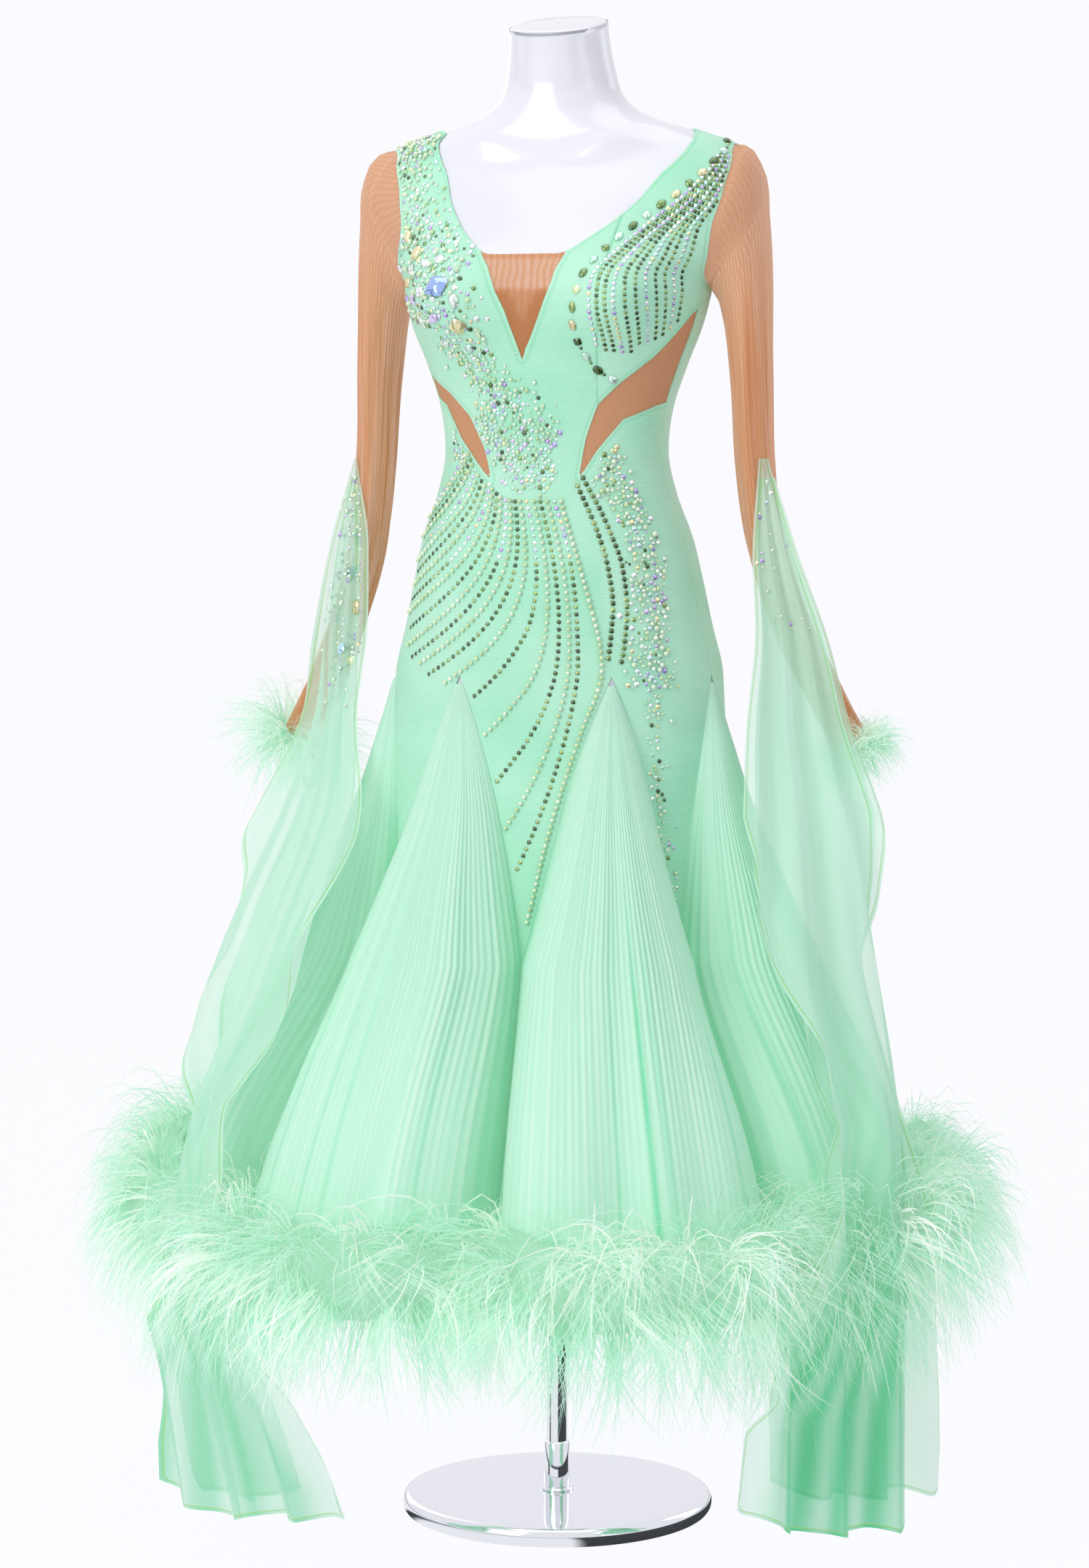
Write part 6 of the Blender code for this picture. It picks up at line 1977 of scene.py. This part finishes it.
def curve_through(anchors: Array, parts: int = 60) -> Array:
    """Smooth open curve through anchors."""
    padded = np.vstack([2 * anchors[0] - anchors[1], anchors, 2 * anchors[-1] - anchors[-2]])
    t = (np.arange(parts) / parts)[:, None]
    spans = [((2 * b) + (c - a) * t + (2 * a - 5 * b + 4 * c - d) * t**2
              + (3 * b - a - 3 * c + d) * t**3) / 2
             for a, b, c, d in zip(padded, padded[1:], padded[2:], padded[3:])]
    return np.vstack(spans + [anchors[-1:]])


# The fan of rows on the cup and the sweep of rows over the hip are made by formula, as a
# blend between the rows below. Each holds its share along the family and its anchors.
CUP_FAN = (
    (0.00, ((60, 1.408), (50, 1.388), (42, 1.366), (34, 1.340), (26.5, 1.308), (22.5, 1.282),
            (23, 1.250), (27, 1.216))),
    (0.28, ((62, 1.408), (53, 1.388), (46, 1.366), (40, 1.344), (34, 1.318), (31, 1.285), (32, 1.250),
            (39, 1.206))),
    (1.00, ((70, 1.406), (64, 1.392), (59, 1.378), (56, 1.360), (54, 1.335), (59, 1.305), (64, 1.275),
            (66, 1.238))),
)
SWEEP = (
    (0.00, ((-37, 1.120), (-49, 1.086), (-68, 1.052))),
    (0.15, ((-32, 1.104), (-44, 1.060), (-66, 1.022))),
    (0.30, ((-25, 1.088), (-36, 1.030), (-66, 0.985))),
    (0.45, ((-18, 1.072), (-27, 1.000), (-64, 0.945))),
    (0.57, ((-12, 1.062), (-18, 0.975), (-54, 0.905))),
    (0.68, ((-7, 1.060), (-9, 0.962), (-40, 0.888))),
    (0.77, ((-3, 1.060), (-1, 0.950), (-25, 0.872))),
    (0.84, ((1, 1.060), (6, 0.925), (-14, 0.830))),
    (0.92, ((5, 1.060), (13, 0.900), (-6, 0.755))),
    (1.00, ((10, 1.060), (18, 0.900), (0.5, 0.690))),
)
EDGE_ROW = (
    (13, 1.060), (21, 0.985), (26, 0.925), (25.5, 0.880), (19.5, 0.830), (13.6, 0.770), (9.0, 0.710),
    (6.4, 0.665), (4.6, 0.635),
)
LARGE_PATH = (
    (78, 1.424), (66, 1.413), (57, 1.404), (48, 1.388), (41, 1.372), (34, 1.354), (29, 1.336),
    (24, 1.318), (19.5, 1.292), (17, 1.268), (16, 1.244), (19, 1.220), (27, 1.196), (38, 1.182),
)
DARK_ROWS = (
    ((21, 1.076), (26, 1.048), (30, 1.016), (32, 0.992), (33, 0.960), (31.5, 0.932), (29, 0.902)),
    ((24, 1.084), (31, 1.052), (35, 1.024), (38, 1.000), (39, 0.968), (38, 0.940), (35, 0.908),
     (33, 0.894)),
)


class Scatter(NamedTuple):
    """Loose spread of stones about a path: half its width, how many, and their sizes."""

    path: tuple[tuple[float, float], ...]
    half_width: float
    count: int
    sizes: tuple[float, float]
    pearls: float
    hue: Hue


SCATTERS = (
    Scatter(((-72, 1.430), (-52, 1.420), (-45, 1.395), (-40, 1.365), (-38, 1.335)), 0.026, 330,
            (0.0024, 0.0050), 0.45, Hue.AURORA),
    Scatter(((-38, 1.340), (-34, 1.305), (-34, 1.270), (-36, 1.235)), 0.038, 400,
            (0.0026, 0.0060), 0.35, Hue.AURORA),
    Scatter(((-32, 1.235), (-26, 1.205), (-16, 1.172), (-4, 1.142), (8, 1.112)), 0.024, 340,
            (0.0024, 0.0050), 0.55, Hue.AURORA),
    Scatter(((-28, 1.150), (-16, 1.118), (-4, 1.096), (8, 1.078)), 0.018, 240,
            (0.0026, 0.0046), 0.55, Hue.AURORA),
    Scatter(((34, 1.104), (44, 1.072), (50, 1.030), (51, 0.985), (49, 0.945), (46, 0.905), (45, 0.872)),
            0.022, 360, (0.0026, 0.0056), 0.55, Hue.AURORA),
    Scatter(((46, 0.872), (47, 0.820), (49.5, 0.760), (51.5, 0.705), (54, 0.650)), 0.010, 70,
            (0.0026, 0.0048), 0.55, Hue.AURORA),
    Scatter(((-52, 1.120), (-42, 1.105), (-34, 1.088)), 0.010, 50, (0.0024, 0.0042), 0.5, Hue.AURORA),
)
# Angle, height, cut and width of each stone in the cluster
CLUSTER = (
    (-31, 1.276, Cut.SQUARE, 0.0190), (-25, 1.238, Cut.SQUARE, 0.0135), (-43, 1.312, Cut.PEAR, 0.0100),
    (-38, 1.300, Cut.NAVETTE, 0.0075), (-50, 1.296, Cut.SQUARE, 0.0095), (-60, 1.284, Cut.PEAR, 0.0095),
    (-24, 1.262, Cut.PEAR, 0.0085), (-41, 1.272, Cut.OVAL, 0.0090), (-50, 1.266, Cut.SQUARE, 0.0100),
    (-35, 1.246, Cut.PEAR, 0.0090), (-46, 1.244, Cut.NAVETTE, 0.0075), (-25, 1.216, Cut.PEAR, 0.0080),
    (-57, 1.252, Cut.SQUARE, 0.0090), (-36, 1.222, Cut.SQUARE, 0.0080), (-31, 1.304, Cut.SQUARE, 0.0085),
    (-53, 1.318, Cut.NAVETTE, 0.0070), (-66, 1.268, Cut.NAVETTE, 0.0075), (-46, 1.330, Cut.PEAR, 0.0080),
    (-64, 1.300, Cut.SQUARE, 0.0075), (-18, 1.230, Cut.NAVETTE, 0.0065),
)
# Stones of the cluster that aren't aurora, by their place in it
CLUSTER_HUES = {0: Hue.LAKE, 1: Hue.OPAL, 11: Hue.OPAL, 19: Hue.OPAL}
# Height, place across the float, cut, width and hue of the right float's large stones
FLOAT_CLUSTER = (
    (1.020, 0.30, Cut.NAVETTE, 0.0090, Hue.OPAL), (0.985, 0.34, Cut.SQUARE, 0.0125, Hue.LAKE),
    (0.948, 0.26, Cut.OVAL, 0.0120, Hue.OPAL), (0.905, 0.42, Cut.SQUARE, 0.0110, Hue.LAKE),
    (0.893, 0.30, Cut.SQUARE, 0.0100, Hue.OPAL),
)


@dataclass
class StoneWork:
    """Pearls and crystals glued to the dress in rows, in loose spreads and in a cluster."""

    seed: int = 620
    seat: float = 0.0002
    # Distances from stone to stone along a row, and widths of the stones
    pitch: float = 0.0074
    close_pitch: float = 0.0062
    dark_pitch: float = 0.0070
    edge_pitch: float = 0.0066
    large_pitch: float = 0.0185
    row_width: float = 0.0042
    pearl_share: float = 1.08
    cup_width: float = 0.0040
    hip_width: float = 0.0050
    between_width: float = 0.0032
    large: tuple[tuple[Cut, float], ...] = (
        (Cut.OVAL, 0.0085), (Cut.ROUND, 0.0082), (Cut.PEAR, 0.0080))
    cup_rows: int = 11
    sweep_rows: int = 21
    # Height above which the rows of the sweep have mixed colours
    mixed_above: float = 1.0
    # Room kept clear to the cloth's edges, round large stones and round loose ones
    margin: float = 0.0035
    large_room: float = 0.0078
    loose_room: float = 0.0024
    loose_spread: float = 0.52
    dark_share: float = 0.18

    def build(self, pearl: Material, crystal: Material) -> None:
        """Glue on every stone."""
        rng = np.random.default_rng(self.seed)
        box = StoneBox(rng)
        taken = [self.large_stones(box)]
        for number in range(self.cup_rows):
            row = self.family(CUP_FAN, number / (self.cup_rows - 1))
            places = self.spaced(row, self.close_pitch)
            hue = Hue.PERIDOT if number % 3 else Hue.AURORA
            self.glue(box, Cut.ROUND, places, self.cup_width, hue)
            taken.append(places)
        for number in range(self.sweep_rows):
            row = self.family(SWEEP, number / (self.sweep_rows - 1))
            places = self.spaced(row, self.pitch)
            taken.append(places)
            if number % 2:
                self.glue(box, Cut.PEARL, places, self.row_width * self.pearl_share, Hue.PEARL)
                continue
            high = places[:, 1] > self.mixed_above
            mixed = Hue.PERIDOT if number % 4 else Hue.AURORA
            self.glue(box, Cut.ROUND, places[high], self.row_width, mixed)
            self.glue(box, Cut.ROUND, places[~high], self.row_width, Hue.PERIDOT)
        for row, pitch, cut, hue in (
                *((row, self.dark_pitch, Cut.ROUND, Hue.PERIDOT) for row in DARK_ROWS),
                (EDGE_ROW, self.edge_pitch, Cut.PEARL, Hue.PEARL)):
            places = self.spaced(np.array(row, float), pitch)
            self.glue(box, cut, places, self.hip_width, hue)
            taken.append(places)
        self.spread(box, rng, np.vstack(taken))
        self.float_stones(box, rng)
        box.finish(pearl, crystal)
        LOG.info("stones: %d glued on", box.total)

    def family(self, rows: Any, share: float) -> Array:
        """Anchors of the row that lies at a share along a family of rows."""
        anchors = np.array([row[1] for row in rows], float)
        shares = np.array([row[0] for row in rows])
        mixed = along_path(np.array([share]), shares, anchors.reshape(len(rows), -1))
        return mixed.reshape(anchors.shape[1:])

    def spaced(self, anchors: Array, pitch: float) -> Array:
        """Places along a row, a true pitch apart on the cloth and clear of its edges."""
        if len(anchors) == 3:
            t = np.linspace(0, 1, 200)[:, None]
            curve = (anchors[0] * (2 * t**2 - 3 * t + 1) + anchors[1] * 4 * (t - t**2)
                     + anchors[2] * (2 * t**2 - t))
        else:
            curve = curve_through(anchors)
        way = travelled(crepe_surface(*curve.T)[0])
        places = along_path(np.arange(0, way[-1], pitch), way, curve)
        return places[crepe_margin(*places.T) > self.margin]

    def glue(self, box: StoneBox, cut: Cut, places: Array, width: Any, hue: Hue,
             turn: float = 0.0) -> None:
        """Glue stones of one cut at places on the crepe."""
        if not len(places):
            return
        points, normals = crepe_surface(*places.T)
        ahead = crepe_surface(places[:, 0] + 0.5, places[:, 1])[0] - points
        along = unit(ahead) * math.cos(turn) + np.cross(normals, unit(ahead)) * math.sin(turn)
        widths = np.broadcast_to(np.asarray(width, float), len(places))
        box.glue(cut, Setting(points + normals * self.seat, normals, along, widths, hue))

    def large_stones(self, box: StoneBox) -> Array:
        """Large stones along the neckline and in the cluster on the bust; returns their places."""
        anchors = np.array(LARGE_PATH, float)
        path = self.spaced(anchors, self.large_pitch)
        for number, place in enumerate(path):
            cut, width = self.large[number % len(self.large)]
            ahead = path[min(number + 1, len(path) - 1)] - path[max(number - 1, 0)]
            turn = math.atan2(ahead[1], ahead[0] * DEGREE_LENGTH)
            self.glue(box, cut, place[None], width, Hue.OPAL if number % 2 else Hue.PERIDOT, turn)
        between = self.spaced(anchors, self.close_pitch)
        ways = flat_map(*between.T)[:, None] - flat_map(*path.T)[None]
        apart = norm(ways, axis=-1).min(axis=1)
        between = between[apart > self.large_room]
        self.glue(box, Cut.ROUND, between, self.between_width, Hue.PERIDOT)
        for number, (angle, height, cut, width) in enumerate(CLUSTER):
            hue = CLUSTER_HUES.get(number, Hue.AURORA)
            self.glue(box, cut, np.array([[angle, height]]), width * 1.2, hue, 0.9 + 1.7 * number)
        heart = np.array([entry[:2] for entry in CLUSTER], float)
        return np.vstack([path, heart, heart + [1.6, 0.004], heart - [1.6, 0.004]])

    def spread(self, box: StoneBox, rng: np.random.Generator, taken: Array) -> None:
        """Loose spreads of small pearls and crystals, which thin out from the middle."""
        kept = flat_map(*taken.T)
        for scatter in SCATTERS:
            curve = curve_through(np.array(scatter.path, float))
            line = flat_map(*curve.T)
            slope = unit(np.gradient(line, axis=0))
            tries = rng.integers(0, len(curve), scatter.count * 3)
            aside = rng.normal(0, self.loose_spread, len(tries)) * scatter.half_width
            spots = line[tries] + np.stack([-slope[tries, 1], slope[tries, 0]], -1) * aside[:, None]
            places = np.stack([spots[:, 0] / DEGREE_LENGTH, height_of_girth(spots[:, 1])], -1)
            inside = crepe_margin(*places.T) > self.margin
            chosen, sizes = [], []
            for spot, place in zip(spots[inside], places[inside]):
                size = rng.uniform(*scatter.sizes)
                if len(chosen) >= scatter.count:
                    break
                if norm(kept - spot, axis=1).min() > size / 2 + self.loose_room:
                    kept = np.vstack([kept, spot])
                    chosen.append(place)
                    sizes.append(size)
            chosen, sizes = np.array(chosen), np.array(sizes)
            is_pearl = rng.uniform(0, 1, len(chosen)) < scatter.pearls
            half = rng.uniform(0, 1, len(chosen)) < 0.5
            for mask, hue in ((half, Hue.PEARL), (~half, Hue.WHITE_PEARL)):
                self.glue(box, Cut.PEARL, chosen[is_pearl & mask], sizes[is_pearl & mask], hue)
            dark = rng.uniform(0, 1, len(chosen)) < self.dark_share
            for mask, hue in ((~dark, scatter.hue), (dark, Hue.PERIDOT)):
                self.glue(box, Cut.ROUND, chosen[~is_pearl & mask], sizes[~is_pearl & mask], hue)

    def float_stones(self, box: StoneBox, rng: np.random.Generator) -> None:
        """Stones on the floats' tops: many on the right arm's, a few on the left arm's."""
        for rows, count, low in ((FLOAT_RIGHT_ARM, 230, 0.845), (FLOAT_LEFT_ARM, 26, 0.93)):
            heights = rng.uniform(low, 1.085, count)
            across = rng.beta(1.6, 2.2, count) * 0.9 + 0.05
            widths = rng.uniform(0.0022, 0.0046, count)
            is_pearl = rng.uniform(0, 1, count) < 0.45
            for mask, cut, hue in ((is_pearl, Cut.PEARL, Hue.WHITE_PEARL),
                                   (~is_pearl, Cut.ROUND, Hue.AURORA)):
                self.on_float(box, rows, across[mask], heights[mask], widths[mask], cut, hue)
            for height, place, cut, width, hue in FLOAT_CLUSTER if rows is FLOAT_RIGHT_ARM else ():
                across, heights, widths = np.array([[place], [height], [width]])
                self.on_float(box, rows, across, heights, widths, cut, hue)

    def on_float(self, box: StoneBox, rows: Sequence[FloatRow], across: Array,
                 heights: Array, widths: Array, cut: Cut, hue: Hue) -> None:
        """Glue stones on the outside of a float."""
        points = float_points(rows, across, heights)
        beside = float_points(rows, across + 0.02, heights) - points
        above = float_points(rows, across, heights + 0.004) - points
        normals = unit(np.cross(beside, above))
        outward = (normals * points * [1, 1, 0]).sum(axis=1, keepdims=True)
        normals = np.where(outward < 0, -normals, normals)
        box.glue(cut, Setting(points + normals * self.seat, normals, above, widths, hue))


@dataclass
class Studio:
    """White studio: paper floor, soft lights, and a camera at the photograph's angle."""

    turn: float = 17.0
    tilt: float = 4.65
    distance: float = 4.1
    aside: float = -0.0133
    height: float = 1.1
    lens: float = 90.77
    sensor: float = 36.0
    floor_size: float = 30.0
    floor_drop: float = 0.0004
    target: tuple[float, float, float] = (0.0, 0.0, 0.85)
    # Direction of the black flag that takes light off the cloth's right side
    black_flag: tuple[float, float, float] = (0.92, -0.39, 0.0)
    # Large soft boxes to the left, the right and above, with two weaker ones behind: name,
    # place, size in metres and power in watts
    soft_boxes: tuple[tuple, ...] = (
        ("left", (-1.3, -3.0, 2.1), (1.6, 2.4), 46), ("right", (2.8, -1.7, 1.7), (1.2, 2.2), 9),
        ("top", (0.1, -0.4, 3.4), (2.4, 2.4), 24), ("back_left", (-2.2, 2.4, 1.8), (1.4, 2.2), 12),
        ("back_right", (2.2, 2.4, 1.8), (1.4, 2.2), 10))

    def build(self, paper: Material) -> None:
        """Make the floor, the lights, the surroundings and the camera."""
        corners = np.array([(-1, -1, 0), (1, -1, 0), (1, 1, 0), (-1, 1, 0)]) * self.floor_size / 2
        floor = make_piece("studio_floor", corners - [0, 0, self.floor_drop], np.array([[0, 1, 2, 3]]),
                           paper, smooth=False)
        self.surroundings()
        self.lights()
        self.camera()
        bpy.context.scene.view_settings.view_transform = "Standard"

    def surroundings(self) -> None:
        """White room: plain to the camera, softly graded to the cloth, banded to the chrome."""
        world = bpy.data.worlds.new("studio_room")
        bpy.context.scene.world = world
        world.use_nodes = True
        tree = world.node_tree
        tree.nodes.clear()
        glossy, seen = (add_node(tree, "LightPath", out="Is %s Ray" % ray)
                        for ray in ("Glossy", "Camera"))
        way = add_node(tree, "TexCoord", out="Generated")
        rise = add_node(tree, "SeparateXYZ", {0: way}, "Z")
        level = add_node(tree, "Math", {"operation": "ABSOLUTE", 0: rise})
        flagged = add_node(tree, "VectorMath", {
            "operation": "DOT_PRODUCT", 0: way, 1: self.black_flag}, "Value")
        soft = lay_over(tree, "#D9DBE4", ("#FFFFFF", rise, -0.4, 0.7),
                        ("#A9ADB8", flagged, 0.10, 0.95, 0.0, 0.80))
        banded = lay_over(tree, "#2A2B30", ("#F7F7FC", level, 0.015, 0.05))
        lit = add_node(tree, "Background", {
            "Color": lay_over(tree, soft, (banded, glossy)),
            "Strength": add_node(tree, "MapRange", {"Value": glossy, **span(0.0, 1.0, 0.64, 1.0)})})
        plain = add_node(tree, "Background", {"Strength": 1.0, "Color": "#FBFBFF"})
        add_node(tree, "OutputWorld", {
            "Surface": add_node(tree, "MixShader", {0: seen, 1: lit, 2: plain})})

    def lights(self) -> None:
        """Add the soft boxes, each facing the dress."""
        for name, place, size, power in self.soft_boxes:
            data = bpy.data.lights.new("soft_box_" + name, "AREA")
            data.shape = "RECTANGLE"
            data.size, data.size_y = size
            data.energy = power
            self.aim(bpy.data.objects.new(data.name, data), Vector(place),
                     Vector(self.target) - Vector(place))

    def camera(self) -> None:
        """Add the camera."""
        turn, tilt = math.radians(self.turn), math.radians(self.tilt)
        towards = Vector((math.sin(turn), -math.cos(turn), 0))
        right = Vector((math.cos(turn), math.sin(turn), 0))
        data = bpy.data.cameras.new("studio_camera")
        data.lens, data.sensor_width = self.lens, self.sensor
        camera = bpy.data.objects.new("studio_camera", data)
        self.aim(camera, towards * self.distance + right * self.aside + Vector((0, 0, self.height)),
                 -towards * math.cos(tilt) - Vector((0, 0, math.sin(tilt))))
        bpy.context.scene.camera = camera

    def aim(self, item: Object, place: Vector, direction: Vector) -> None:
        """Put a light or a camera in its place, facing a direction."""
        item.location = place
        item.rotation_euler = direction.to_track_quat("-Z", "Y").to_euler()
        bpy.context.scene.collection.objects.link(item)


def main() -> None:
    """Make the stand and the form, then the dress on it from the inside out."""
    logging.basicConfig(level=logging.INFO, format="%(message)s")
    crepe, mesh, organza = CrepeFinish().build(), MeshFinish().build(), OrganzaFinish().build()
    chiffon, feather = ChiffonFinish().build(), FeatherFinish().build()
    Studio().build(FloorFinish().build())
    DressForm().build(LacquerFinish().build(), ChromeFinish().build())
    Bodice().build(crepe, mesh)
    elastic = ElasticFinish().build()
    for side in (1, -1):
        Sleeve(side).build(mesh)
        FeatherCuff(side).build(feather)
        FingerLoop(side).build(elastic)
        SleeveFloat(side).build(chiffon)
    for index in range(GODETS):
        Godet(index).build(organza)
        FeatherHem(index).build(feather)
    StoneWork().build(PearlFinish().build(), CrystalFinish().build())


if __name__ == "__main__":
    main()
